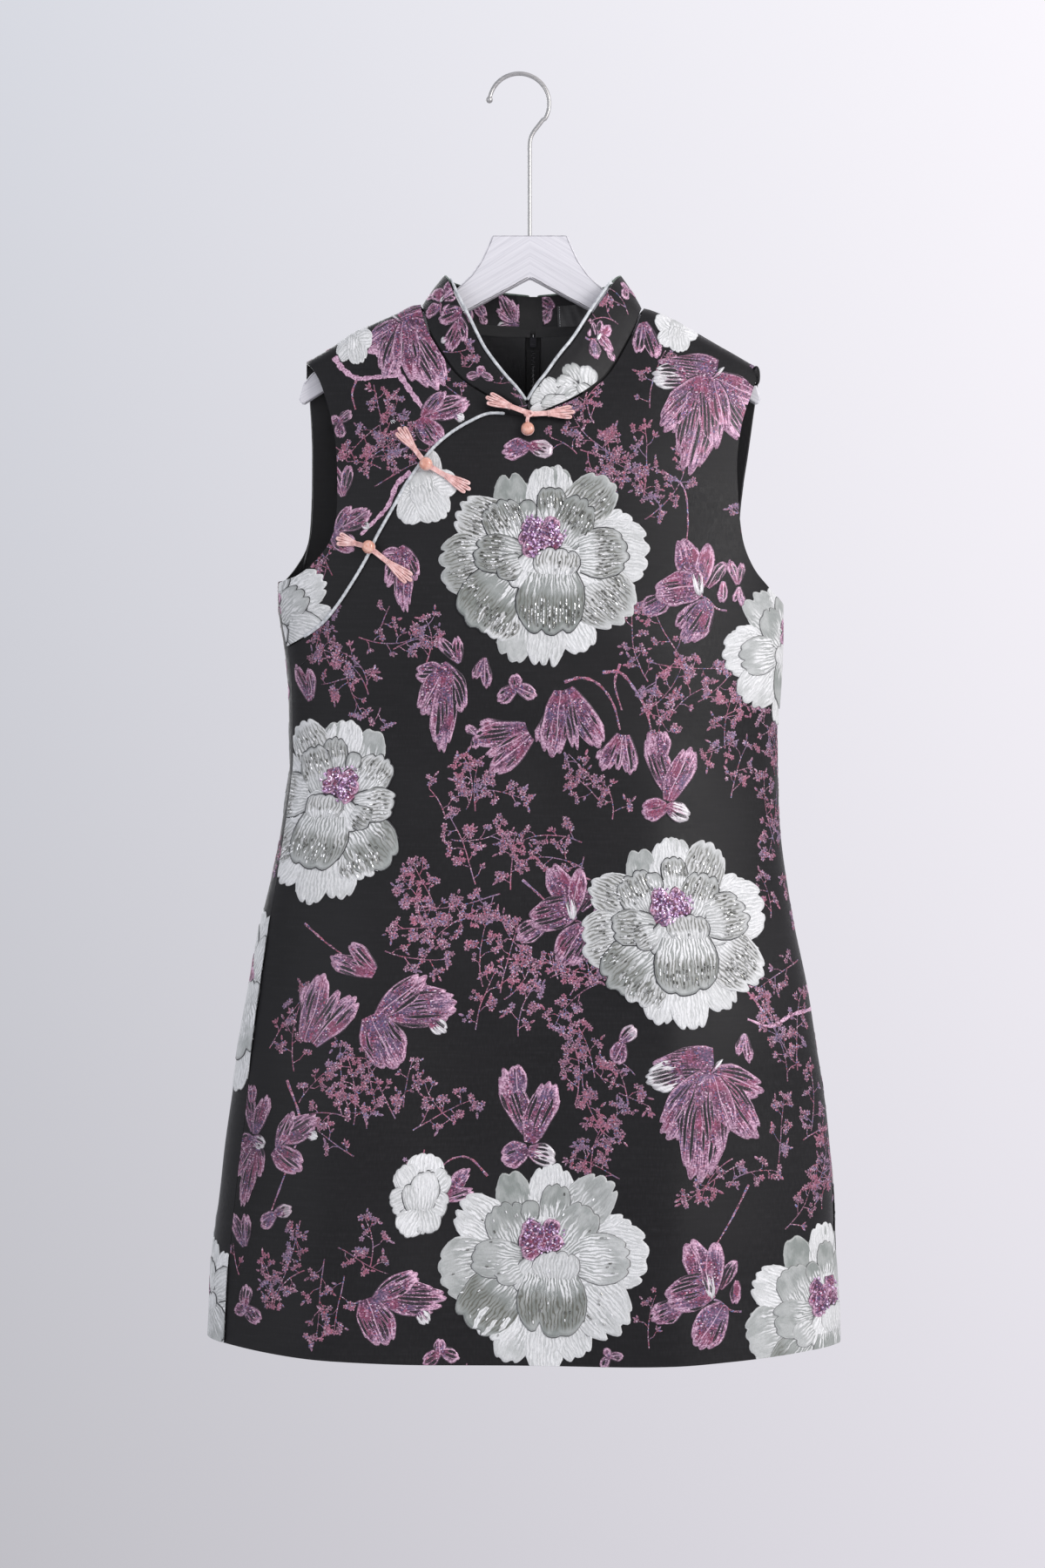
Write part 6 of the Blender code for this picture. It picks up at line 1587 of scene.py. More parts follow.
# leaf clusters: parts of their size, as (cx, cy, turn, long, wide, lobes,
# pale tip, comb, foot, bend, taper)
LEAVES = {
    "hang": [
        (-0.16, 0.33, 176, 0.56, 0.38, 2, 0.10, 0.9, 0.80, 0.10, 0.45), (-0.30, 0.24, 188, 0.36, 0.24, 4, 1.00, 0.9, 0.62, 0.05, 0.0),
        (0.31, 0.20, 346, 0.50, 0.24, 3, 0.10, 0.5, 0.35, -0.15, 0.0), (0.27, 0.00, 306, 0.66, 0.30, 3, 0.15, 0.7, 0.28, -0.10, 0.0),
        (-0.16, 0.01, 230, 0.68, 0.32, 4, 0.15, 0.4, 0.30, 0.12, 0.0), (-0.05, -0.17, 256, 0.92, 0.38, 4, 0.20, 1.0, 0.28, 0.08, 0.0),
        (0.08, -0.08, 274, 0.72, 0.24, 2, 0.25, 1.0, 0.35, 0.04, 0.0), (0.16, 0.01, 284, 0.54, 0.20, 2, 0.30, 0.3, 0.35, 0.0, 0.0),
        (0.145, 0.30, 40, 0.15, 0.045, 1, 1.00, 0.0, 0.60, 0.2, 0.3),
    ],
    "drop": [
        (-0.12, 0.40, 168, 0.34, 0.24, 2, 0.10, 0.4, 0.50, 0.2, 0.0), (-0.12, 0.20, 236, 0.62, 0.28, 3, 0.15, 0.6, 0.35, 0.15, 0.0),
        (0.13, 0.22, 292, 0.56, 0.30, 3, 0.25, 1.0, 0.40, -0.1, 0.0), (0.04, -0.04, 268, 0.94, 0.28, 4, 0.25, 0.5, 0.30, -0.1, 0.0),
    ],
    "tulip": [
        (0.34, -0.02, 70, 0.56, 0.16, 2, 0.20, 0.6, 0.60, -0.30, 0.0), (-0.15, 0.00, 100, 0.94, 0.40, 3, 0.10, 0.5, 0.55, 0.16, 0.0),
        (0.17, 0.00, 78, 0.96, 0.42, 3, 0.15, 0.5, 0.55, -0.14, 0.0), (0.00, -0.02, 90, 0.84, 0.20, 2, 0.10, 1.0, 0.70, 0.03, 0.0),
    ],
    "upright": [
        (-0.12, 0.07, 108, 0.82, 0.28, 3, 0.15, 1.0, 0.45, 0.10, 0.0), (-0.13, 0.30, 96, 0.36, 0.22, 2, 0.15, 0.0, 0.60, 0.0, 0.0),
        (0.10, -0.02, 80, 0.74, 0.32, 3, 0.10, 0.4, 0.50, -0.18, 0.0), (-0.15, -0.50, 198, 0.32, 0.28, 3, 0.10, 0.2, 0.50, 0.1, 0.0),
        (0.16, -0.50, 346, 0.32, 0.24, 2, 0.80, 0.6, 0.50, -0.1, 0.0),
    ],
    "magnolia": [
        (-0.35, -0.22, 212, 0.36, 0.24, 3, 0.35, 0.8, 0.55, -0.10, 0.0), (0.31, 0.16, 60, 0.34, 0.15, 1, 0.10, 1.6, 0.55, -0.10, 0.0),
        (0.10, -0.36, 234, 0.54, 0.36, 4, 0.20, 0.6, 0.40, 0.10, 0.0), (0.40, -0.04, 264, 0.25, 0.12, 2, 0.20, 0.5, 0.50, 0.0, 0.0),
        (0.02, 0.26, 112, 0.62, 0.30, 2, 0.05, 0.0, 0.40, 0.06, 0.0), (0.165, 0.23, 84, 0.54, 0.21, 1, 0.30, 0.3, 0.45, -0.05, 0.0),
        (-0.12, -0.01, 192, 0.56, 0.40, 2, 0.10, 0.5, 0.70, 0.10, 0.15), (0.10, 0.07, 282, 0.34, 0.16, 3, 1.00, 0.4, 0.60, 0.0, 0.2),
    ],
    "pair": [
        (-0.27, -0.27, 298, 0.68, 0.46, 3, 0.20, 1.0, 0.60, 0.10, 0.0), (0.14, 0.16, 10, 0.88, 0.46, 5, 0.15, 0.8, 0.35, -0.10, 0.0),
        (0.35, -0.08, 318, 0.24, 0.18, 3, 1.00, 0.3, 0.60, 0.0, 0.0), (-0.10, 0.28, 44, 0.70, 0.30, 3, 0.20, 1.0, 0.40, -0.1, 0.0),
    ],
    "single": [
        (-0.08, 0.0, 96, 1.00, 0.40, 3, 0.20, 0.9, 0.50, 0.20, 0.0), (0.10, -0.08, 78, 0.80, 0.34, 2, 0.30, 1.0, 0.50, -0.1, 0.0),
    ],
    "small": [
        (-0.22, -0.04, 204, 0.56, 0.38, 3, 0.15, 0.5, 0.45, 0.2, 0.0), (0.26, 0.04, 346, 0.56, 0.36, 3, 0.60, 0.6, 0.45, -0.2, 0.0),
        (0.0, 0.22, 92, 0.44, 0.32, 2, 0.20, 0.4, 0.50, 0.0, 0.0),
    ],
    "two": [
        (-0.24, 0.0, 184, 0.52, 0.40, 3, 0.10, 0.3, 0.50, 0.15, 0.0), (0.26, 0.0, 350, 0.50, 0.34, 2, 0.70, 0.6, 0.50, -0.1, 0.0),
    ],
}


def leaves(W, at, kind, size, dim=0.0, layer=0):
    for i, (cx, cy, turn, long, wide, lobes, pale, comb, foot, bend, taper) in enumerate(LEAVES[kind]):
        petal(W, at, cx * size, cy * size, turn + rnd.uniform(-4, 4), long * size * rnd.uniform(0.97, 1.05), wide * size * 1.08, lobes,
              depth=rnd.uniform(0.10, 0.17), notch=0.42, point=0.30, power=2.3, bend=bend, mat=1, layer=i + layer,
              tone=(pale, comb, dim), foot=foot * 0.85, base=0.00020, dome=0.00022, ruffle=0.00006, rings=7, wavy=0.06, taper=taper)
    if kind == "magnolia":
        ribbon(W, at, smooth_line([(0.10 * size, -0.08 * size), (0.22 * size, -0.12 * size), (0.34 * size, -0.22 * size), (0.46 * size, -0.24 * size)], 4),
               0.0016, tone=(0.1, 0, dim + 0.15))
    c = at.flat(0.0, 0.0)
    W.discs.append((float(c[0]), float(c[1]), 0.44 * size * at.size, at.kx))


def free(W, flat, room):
    for u, z, r, kx in W.discs:
        if ((flat[0] - u) / kx) ** 2 + (flat[1] - z) ** 2 < (r + room) ** 2:
            return False
    return True


def sprig(W, at, turn, long, dim=0.0, dense=1.0, curl=None):
    """A rule-grown twig: a bowed stem, alternate side twigs that end in close
    clusters of small round-petalled blossoms with a pointed leaf or two."""
    curl = rnd.uniform(-1.0, 1.0) if curl is None else curl
    n = 12
    x = y = 0.0
    a = math.radians(turn)
    pts = [(x, y)]
    for i in range(n):
        a += curl * 0.10 + rnd.uniform(-0.07, 0.07)
        x += math.cos(a) * long / n
        y += math.sin(a) * long / n
        pts.append((x, y))
    keep = []
    for p in pts:
        if not free(W, at.flat(*p), 0.0):
            break
        keep.append(p)
    if len(keep) < 4:
        return
    line = smooth_line(keep, 2)
    hue = rnd.uniform(0.0, 1.0)
    tone = lambda: (rnd.uniform(0.0, 1.0) ** 2, 1.0, min(1.0, dim + rnd.uniform(-0.08, 0.12)) if dim else rnd.uniform(0, 0.12))
    ribbon(W, at, line, np.linspace(0.0010, 0.0006, len(line)), tone=tone())

    def cluster(p, head, count):
        for k in range(count):
            aa = head + (k - (count - 1) / 2) * rnd.uniform(0.9, 1.3)
            rr = rnd.uniform(0.0020, 0.0031)
            off = rnd.uniform(0.0010, 0.0022) if k % 3 == 1 else rnd.uniform(0.0030, 0.0050)
            q = p + np.array((math.cos(aa), math.sin(aa))) * off
            if free(W, at.flat(*q), 0.0015) and rnd.random() < dense:
                blossom(W, at, q[0], q[1], rr, rnd.uniform(0, 6.28), tone())
        for k in range(rnd.choice((0, 1, 1, 2))):
            aa = head + rnd.uniform(-1.5, 1.5)
            q = p + np.array((math.cos(aa), math.sin(aa))) * 0.0045
            if free(W, at.flat(*q), 0.002) and rnd.random() < dense:
                leaflet(W, at, q[0], q[1], aa, rnd.uniform(0.0040, 0.0070), rnd.uniform(0.0016, 0.0024), tone())

    side = rnd.choice((-1, 1))
    run = np.concatenate([[0], np.cumsum(np.linalg.norm(np.diff(line, axis=0), axis=1))])
    at_run = 0.005
    while at_run < run[-1]:
        i = int(np.searchsorted(run, at_run))
        i = min(max(i, 1), len(line) - 1)
        p = line[i]
        d = line[i] - line[i - 1]
        head = math.atan2(d[1], d[0]) + side * math.radians(rnd.uniform(35, 70))
        tw = rnd.uniform(0.006, 0.014) * (1.0 - 0.35 * at_run / run[-1])
        end = p + np.array((math.cos(head), math.sin(head))) * tw
        mid = (p + end) / 2 + np.array((-math.sin(head), math.cos(head))) * rnd.uniform(-0.0015, 0.0015)
        if free(W, at.flat(*end), 0.001):
            ribbon(W, at, [p, mid, end], [0.0008, 0.0007, 0.0006], tone=tone())
            if rnd.random() < 0.76:
                cluster(end, head, rnd.choice((2, 3, 3, 4, 5)))
            else:
                for k in (-1, 0, 1):
                    aa = head + k * 0.7
                    leaflet(W, at, end[0], end[1], aa, rnd.uniform(0.0040, 0.0065), rnd.uniform(0.0016, 0.0024), tone())
            if rnd.random() < 0.5:
                aa = head + side * 0.8
                leaflet(W, at, mid[0], mid[1], aa, rnd.uniform(0.0034, 0.0055), 0.0019, tone())
        side = -side
        at_run += rnd.uniform(0.0065, 0.0110)
    if free(W, at.flat(*line[-1]), 0.002):
        cluster(line[-1], a, 3)


SPRIG_SHARE = 0.48


def thicket(W, spots, count, size=(0.034, 0.066), dim=0.0, lean=None, dense=1.0):
    """Several sprigs growing out of an area given by its corner spots."""
    (u0, z0), (u1, z1), kx = spots
    for _ in range(max(1, round(count * SPRIG_SHARE))):
        for _ in range(12):
            u, z = rnd.uniform(u0, u1), rnd.uniform(z0, z1)
            if free(W, (u, z), 0.003):
                break
        else:
            continue
        turn = rnd.choice((65, 80, 95, 110, 125, 150, 30, 200, 340, 260)) if lean is None else lean + rnd.uniform(-45, 45)
        sprig(W, Spot(u, z, kx), turn, rnd.uniform(*size), dim, dense)


def front_spot(px, py, turn=0.0, size=1.0, flip=False):
    w, z = at_pixel(px, py)
    return Spot(w * S_SCALE, z, S_SCALE / cloth_scale(w, z), turn, size, flip)


def back_spot(x, z, turn=0.0, size=1.0, flip=False, side=None):
    """x as it is on the object (+X is to the left when seen from behind)."""
    w = float(w_back(x, z))
    if side is not None and w * side < 0:
        w += 4.0 * side
    return Spot(w * S_SCALE, z, S_SCALE / cloth_scale(w, z), turn, size, flip)


def seen_area(px0, py0, px1, py1):
    wa, za = at_pixel(px0, (py0 + py1) / 2)
    wb, _ = at_pixel(px1, (py0 + py1) / 2)
    _, z0 = at_pixel((px0 + px1) / 2, py1)
    _, z1 = at_pixel((px0 + px1) / 2, py0)
    wm = (wa + wb) / 2
    return (wa * S_SCALE, z0), (wb * S_SCALE, z1), S_SCALE / cloth_scale(wm, (z0 + z1) / 2)


PX = 0.000703        # cloth metres in a pixel where it faces the eye
TRIM = [PETAL, LEAF, SPRIG]

# --- front, main piece
A = Woven("brocade_front_main", flat_of(out_main), cloth_place, TRIM)
peony(A, front_spot(620, 622), 0.0735, white=0.0, beads=1.0)
peony(A, front_spot(620, 1428), 0.0735, white=0.02, outline=0.35, beads=0.12, crystals=60, speck=1.0)
peony(A, front_spot(769, 1046, 4), 0.0680, white=0.28, outline=0.9, beads=0.8)
peony(A, front_spot(391, 906, -6, flip=True), 0.0665, white=0.28, outline=0.9, beads=0.7, crystals=60, skip=(6, 7))
peony(A, front_spot(946, 1492, 6), 0.0720, white=0.0, outline=0.25, beads=0.0, crystals=18, speck=0.7)
peony(A, front_spot(900, 732, 12, flip=True), 0.0560, white=0.0, outline=0.30, beads=0.0, crystals=0)
# bud and part flowers that the seams cut
BUD = [
    (-0.02, 0.40, 95, 0.70, 0.62, 3, 0.75, 0.0), (-0.34, 0.12, 130, 0.80, 0.60, 3, 0.95, 0.0), (0.34, 0.16, 55, 0.78, 0.58, 3, 0.85, 0.0),
    (-0.36, -0.30, 205, 0.74, 0.56, 3, 0.95, 0.0), (0.36, -0.26, 338, 0.74, 0.56, 3, 0.80, 0.0),
    (0.02, -0.46, 268, 0.84, 0.72, 4, 0.95, 0.0), (0.06, -0.06, 80, 0.62, 0.52, 3, 0.55, 0.0), (-0.05, -0.20, 250, 0.50, 0.44, 2, 1.0, 0.0),
]
# a half-open bloom, taller than it is wide
TALL_BUD = [
    (0.12, 0.74, 84, 0.95, 1.05, 4, 0.90, 0.0), (-0.36, 0.42, 125, 1.00, 0.85, 4, 0.95, 0.5), (0.45, 0.35, 55, 0.90, 0.80, 3, 0.75, 0.4),
    (-0.42, -0.24, 200, 0.86, 1.00, 4, 0.95, 0.3), (0.45, -0.30, 340, 0.80, 0.90, 3, 0.65, 0.4),
    (-0.20, -0.74, 245, 0.95, 0.85, 4, 0.95, 0.4), (0.28, -0.72, 290, 0.85, 0.75, 3, 0.90, 0.4),
    (0.12, 0.06, 90, 1.30, 0.84, 3, 0.80, 0.8), (-0.24, -0.10, 104, 0.90, 0.52, 2, 1.00, 0.6),
]


def bud(W, at, radius, white=0.0, outline=0.0, keep=None, rows=BUD):
    for i, (cx, cy, turn, long, wide, lobes, pale, line) in enumerate(rows):
        if keep is not None and i not in keep:
            continue
        petal(W, at, cx * radius, cy * radius, turn + rnd.uniform(-4, 4), long * radius, wide * radius * 1.1, lobes, depth=0.08,
              layer=i, tone=(min(1.0, pale + white), max(line, outline), 0.0), bend=rnd.uniform(-0.1, 0.1))
    c = at.flat(0.0, 0.0)
    W.discs.append((float(c[0]), float(c[1]), 0.78 * radius, at.kx))


bud(A, front_spot(482, 1372), 0.0275, rows=TALL_BUD)
bud(A, front_spot(480, 556, 35), 0.0400)
bud(A, front_spot(776, 374, 10), 0.0270)
for kind, px, py, size, turn, flip, dim in [
    ("hang", 806, 464, 130, -4, False, 0.0), ("magnolia", 790, 674, 104, -2, False, 0.0),
    ("single", 846, 656, 32, 8, False, 0.1), ("single", 848, 685, 24, 176, False, 0.0), ("single", 792, 711, 46, 160, False, 0.0),
    ("single", 741, 392, 48, 186, False, 0.0), ("two", 606, 514, 60, 0, False, 0.0),
    ("drop", 462, 664, 76, 8, False, 0.0), ("drop", 508, 812, 104, 0, False, 0.0), ("single", 520, 744, 38, 22, False, 0.0),
    ("single", 553, 772, 34, 168, False, 0.1), ("small", 592, 794, 48, 0, False, 0.0), ("tulip", 580, 855, 68, 120, False, 0.0),
    ("tulip", 655, 829, 80, 192, False, 0.0), ("tulip", 712, 866, 50, 172, False, 0.0),
    ("upright", 769, 884, 92, -6, False, 0.0), ("magnolia", 645, 1047, 102, 0, False, 0.0),
    ("single", 408, 1102, 56, 60, False, 0.05), ("tulip", 374, 1163, 78, -26, True, 0.05), ("pair", 468, 1170, 100, 0, False, 0.0),
    ("upright", 607, 1272, 104, 0, False, 0.0), ("hang", 808, 1268, 140, 0, False, 0.0), ("single", 853, 1203, 32, 170, False, 0.0),
    ("upright", 293, 1277, 66, 0, False, 0.3), ("drop", 286, 1346, 78, 0, False, 0.3), ("pair", 338, 1309, 64, 30, False, 0.2),
    ("single", 277, 1409, 46, 20, False, 0.3), ("two", 316, 1395, 46, 30, False, 0.2),
    ("pair", 458, 1500, 84, -10, False, 0.0), ("single", 527, 1365, 46, -55, False, 0.0),
    ("magnolia", 803, 1482, 110, 0, False, 0.0), ("two", 715, 1198, 50, 60, False, 0.0),
    ("single", 352, 782, 44, 15, False, 0.15), ("small", 505, 1556, 44, 0, False, 0.0),
    ("small", 700, 1560, 30, 20, False, 0.2), ("small", 285, 1500, 50, 110, False, 0.2), ("single", 842, 1060, 30, 60, False, 0.2),
    ("small", 545, 845, 30, -60, True, 0.0),
]:
    leaves(A, front_spot(px, py, turn, 1.0, flip), kind, size * PX, dim)


def branch(W, pixels, width, tone=(0.35, 0, 0)):
    ws = [at_pixel(px, py) for px, py in pixels]
    z0 = sum(z for _, z in ws) / len(ws)
    w0 = sum(w for w, _ in ws) / len(ws)
    kx = S_SCALE / cloth_scale(w0, z0)
    at = Spot(w0 * S_SCALE, z0, kx)
    pts = smooth_line([((w - w0) * S_SCALE / kx, z - z0) for w, z in ws], 8)
    n = len(pts)
    rough = 1 + 0.22 * np.sin(np.arange(n) * 1.3) + 0.15 * np.sin(np.arange(n) * 2.9)
    ribbon(W, at, pts, np.linspace(width, width * 0.55, n) * rough, mat=1 if width >= 0.003 else 2, base=0.00020, tone=tone)


for pixels, width in [
    ([(692, 772), (712, 772), (728, 790), (742, 815), (750, 850)], 0.0026),
    ([(712, 762), (706, 785), (714, 815)], 0.0020), ([(648, 783), (668, 778), (688, 786), (704, 808), (712, 838)], 0.0024),
    ([(940, 1156), (912, 1164), (885, 1178), (858, 1170)], 0.0034), ([(885, 1178), (868, 1150), (850, 1130)], 0.0026),
    ([(925, 1130), (935, 1160), (940, 1200)], 0.0030), ([(860, 600), (872, 560), (858, 520)], 0.0022),
    ([(330, 1240), (345, 1290), (330, 1340), (312, 1390)], 0.0022),
    ([(560, 1350), (540, 1330), (520, 1330), (500, 1345)], 0.0018), ([(860, 1360), (840, 1400), (822, 1430)], 0.0018),
    ([(350, 1060), (372, 1080), (392, 1095)], 0.0018), ([(760, 540), (785, 560), (790, 600), (786, 640)], 0.0016),
    ([(600, 1010), (622, 1030), (640, 1050)], 0.0020),
]:
    branch(A, pixels, width)

for box_px, count, dim in [
    ((395, 715, 500, 780), 9, 0.15), ((420, 780, 500, 850), 7, 0.10), ((490, 915, 545, 990), 10, 0.05), ((540, 985, 610, 1050), 10, 0.0), ((440, 1010, 520, 1100), 8, 0.1),
    ((540, 1110, 615, 1190), 10, 0.0), ((610, 1090, 690, 1145), 14, 0.0),
    ((665, 900, 712, 1015), 12, 0.15), ((735, 735, 825, 850), 17, 0.12), ((800, 860, 935, 930), 9, 0.25),
    ((870, 820, 935, 990), 6, 0.25), ((905, 1010, 945, 1110), 5, 0.25), ((385, 1262, 530, 1335), 22, 0.15),
    ((640, 1225, 735, 1325), 14, 0.12), ((655, 1325, 740, 1385), 6, 0.20), ((893, 1215, 945, 1320), 10, 0.25),
    ((895, 1330, 945, 1425), 12, 0.25), ((825, 1320, 880, 1355), 8, 0.2), ((330, 1390, 400, 1560), 10, 0.25), ((395, 1400, 450, 1480), 5, 0.2),
    ((330, 1150, 350, 1230), 2, 0.2), ((692, 505, 745, 600), 12, 0.20), ((655, 478, 700, 530), 6, 0.15),
    ((600, 520, 690, 540), 2, 0.2), ((400, 600, 440, 640), 2, 0.2), ((405, 690, 440, 760), 4, 0.2),
    ((510, 585, 530, 620), 1, 0.3), ((835, 560, 880, 620), 3, 0.25), ((800, 800, 850, 860), 4, 0.2),
    ((740, 1540, 850, 1565), 5, 0.25), ((500, 1540, 560, 1566), 3, 0.25), ((270, 1420, 320, 1560), 5, 0.2),
    ((270, 1200, 310, 1290), 3, 0.3), ((320, 1260, 350, 1300), 2, 0.2),
    ((340, 740, 390, 840), 5, 0.35), ((715, 420, 750, 470), 3, 0.2), ((840, 400, 870, 440), 2, 0.3), ((690, 400, 720, 440), 2, 0.3),
    ((860, 1040, 900, 1060), 1, 0.2),
]:
    thicket(A, seen_area(*box_px), count, dim=dim)
overlay_main = A.build()

# --- front, shoulder piece
B = Woven("brocade_front_shoulder", flat_of(out_shoulder), cloth_place, TRIM)
bud(B, front_spot(405, 386, 20), 0.0300)
peony(B, front_spot(318, 700, -20), 0.0600, white=0.28, outline=0.8, beads=0.0, crystals=0)
for kind, px, py, size, turn, flip, dim in [
    ("hang", 478, 392, 110, 14, True, 0.0), ("pair", 506, 478, 60, 10, False, 0.0), ("two", 590, 505, 40, 0, False, 0.0),
    ("single", 560, 490, 32, -60, False, 0.1), ("small", 392, 486, 36, 60, False, 0.2), ("single", 392, 548, 44, 8, False, 0.1),
    ("pair", 402, 606, 50, 20, False, 0.15),
]:
    leaves(B, front_spot(px, py, turn, 1.0, flip), kind, size * PX, dim)
for pixels, width in [
    ([(424, 400), (441, 409), (452, 420), (460, 432), (472, 450), (488, 472)], 0.0066),
    ([(384, 410), (394, 424), (410, 434), (430, 433), (458, 431)], 0.0050), ([(410, 434), (404, 452), (408, 470)], 0.0020),
    ([(472, 542), (456, 556), (446, 580), (430, 598), (414, 614)], 0.0044),
]:
    branch(B, pixels, width)
    for px, py in smooth_line(pixels, 2):
        clear = front_spot(px, py)
        B.discs.append((clear.u, clear.z, 0.0040, clear.kx))
for box_px, count, dim in [
    ((385, 450, 445, 520), 7, 0.15), ((380, 520, 450, 600), 8, 0.2), ((420, 490, 460, 560), 5, 0.2), ((375, 600, 420, 650), 4, 0.3),
    ((372, 395, 400, 430), 3, 0.1), ((500, 420, 560, 470), 4, 0.2), ((365, 660, 400, 690), 2, 0.25),
]:
    thicket(B, seen_area(*box_px), count, dim=dim)
overlay_shoulder = B.build()

# --- back, both pieces share one layout across the centre seam
BACK_PEONY = [
    (0.0300, -0.3900, 0, 0.070, 0.00, 1.0, 60), (-0.1350, -0.5600, 14, 0.066, 0.25, 0.6, 40), (0.1500, -0.6650, -10, 0.068, 0.25, 0.6, 40),
    (0.0200, -0.9000, 0, 0.072, 0.02, 0.1, 20), (-0.2000, -0.9600, 10, 0.070, 0.10, 0.0, 12), (0.2150, -0.3550, 20, 0.050, 0.20, 0.0, 0),
    (-0.1250, -0.2620, -14, 0.046, 0.25, 0.0, 0), (0.2350, -0.9400, -20, 0.062, 0.10, 0.0, 0), (-0.2520, -0.7450, 8, 0.066, 0.30, 0.0, 0),
    (-0.2600, -1.0050, 30, 0.048, 0.30, 0.0, 0),
]
BACK_LEAVES = [
    ("hang", -0.0800, -0.3000, 0.078, 0, False), ("magnolia", 0.1350, -0.2950, 0.066, 10, False), ("upright", -0.0500, -0.4900, 0.080, 6, True),
    ("tulip", 0.0350, -0.5200, 0.050, -30, False), ("tulip", -0.0100, -0.5600, 0.046, 20, False), ("magnolia", 0.1350, -0.4850, 0.070, -10, False),
    ("hang", -0.0300, -0.6800, 0.098, 0, True), ("pair", 0.0550, -0.6250, 0.062, 20, False), ("upright", 0.0450, -0.7550, 0.074, -6, False),
    ("magnolia", -0.1500, -0.7700, 0.078, 14, False), ("pair", -0.1450, -0.8700, 0.060, 0, True), ("tulip", 0.1150, -0.8050, 0.052, 26, False),
    ("hang", 0.1550, -0.8950, 0.086, -8, False), ("magnolia", -0.0950, -0.9900, 0.074, 0, False), ("small", 0.1250, -1.0100, 0.040, 0, False),
    ("small", -0.1250, -0.4350, 0.040, 30, False), ("small", 0.1150, -0.4050, 0.034, 0, False), ("single", -0.1850, -0.6500, 0.040, 20, False),
    ("small", 0.0700, -0.2600, 0.036, 60, False), ("small", -0.2000, -0.8450, 0.046, 80, False), ("small", 0.2000, -0.7900, 0.046, -60, False),
    ("single", -0.0500, -0.4050, 0.034, -30, False), ("pair", 0.0900, -0.9850, 0.050, 30, False), ("small", -0.2200, -1.0300, 0.044, 0, False),
    ("single", 0.2100, -0.5600, 0.044, 30, False), ("small", -0.2000, -0.5000, 0.034, 90, False),
]
BACK_SPRIGS = [
    (-0.17, -0.36, 0.02, -0.25, 8), (0.02, -0.32, 0.12, -0.24, 5), (-0.18, -0.47, -0.05, -0.36, 9), (0.10, -0.47, 0.20, -0.36, 6),
    (-0.06, -0.56, 0.10, -0.47, 9), (0.08, -0.61, 0.20, -0.53, 9), (-0.10, -0.64, 0.02, -0.56, 8), (-0.22, -0.70, -0.08, -0.62, 9),
    (0.02, -0.72, 0.10, -0.66, 5), (-0.12, -0.82, 0.02, -0.72, 11), (0.03, -0.83, 0.14, -0.76, 8), (0.14, -0.85, 0.25, -0.74, 9),
    (-0.23, -0.90, -0.10, -0.80, 8), (-0.13, -0.96, -0.04, -0.84, 7), (0.09, -0.96, 0.21, -0.84, 7), (-0.20, -1.04, -0.05, -0.97, 9),
    (0.05, -1.04, 0.24, -0.97, 10), (-0.25, -1.04, -0.19, -0.99, 3), (0.20, -0.60, 0.22, -0.44, 5), (-0.21, -0.60, -0.18, -0.44, 3),
]


def back_layout(W, side):
    for x, z, turn, radius, white, beads, cr in BACK_PEONY:
        at = back_spot(x, z, turn, side=side)
        if abs(at.u - side * 1.5 * S_SCALE) < 0.75 * S_SCALE + 0.1:
            peony(W, at, radius, white=white, outline=0.6, beads=beads, crystals=cr)
    for kind, x, z, size, turn, flip in BACK_LEAVES:
        at = back_spot(x, z, turn, 1.0, flip, side=side)
        leaves(W, at, kind, size)
    for x0, z0, x1, z1, count in BACK_SPRIGS:
        a = back_spot(x0, (z0 + z1) / 2, side=side)
        b = back_spot(x1, (z0 + z1) / 2, side=side)
        thicket(W, ((min(a.u, b.u), z0), (max(a.u, b.u), z1), a.kx), count, dim=0.12)
    # a second growth between the first, as thick as the front's
    kept, serial = rnd.getstate(), SERIAL[0]
    for x0, z0, x1, z1, count in BACK_SPRIGS:
        a = back_spot(x0, (z0 + z1) / 2, side=side)
        b = back_spot(x1, (z0 + z1) / 2, side=side)
        thicket(W, ((min(a.u, b.u), z0), (max(a.u, b.u), z1), a.kx), round(count * 0.9), dim=0.12)
    rnd.setstate(kept)
    SERIAL[0] = serial


rnd.seed(501)
C = Woven("brocade_back_left", flat_of(out_back_l), cloth_place, TRIM)
back_layout(C, -1)
overlay_bl = C.build()
rnd.seed(501)
D = Woven("brocade_back_right", flat_of(out_back_r), cloth_place, TRIM)
back_layout(D, 1)
overlay_br = D.build()


# --- collar: both faces are brocade
def collar_motifs(name, side, place, inner):
    length = SEAMS[side][2]
    flat_out = collar_outline(side) * np.array((length, COLLAR_TALL))

    def lay(p, h):
        if inner:
            return place(p, -(CLOTH + h))
        return place(p, h)

    W = Woven(name, flat_out, lay, TRIM)
    return W, length


def collar_finish(W, flip):
    if flip:
        W.parts = [(d, t[:, ::-1], m) for d, t, m in W.parts]
    return W.build()


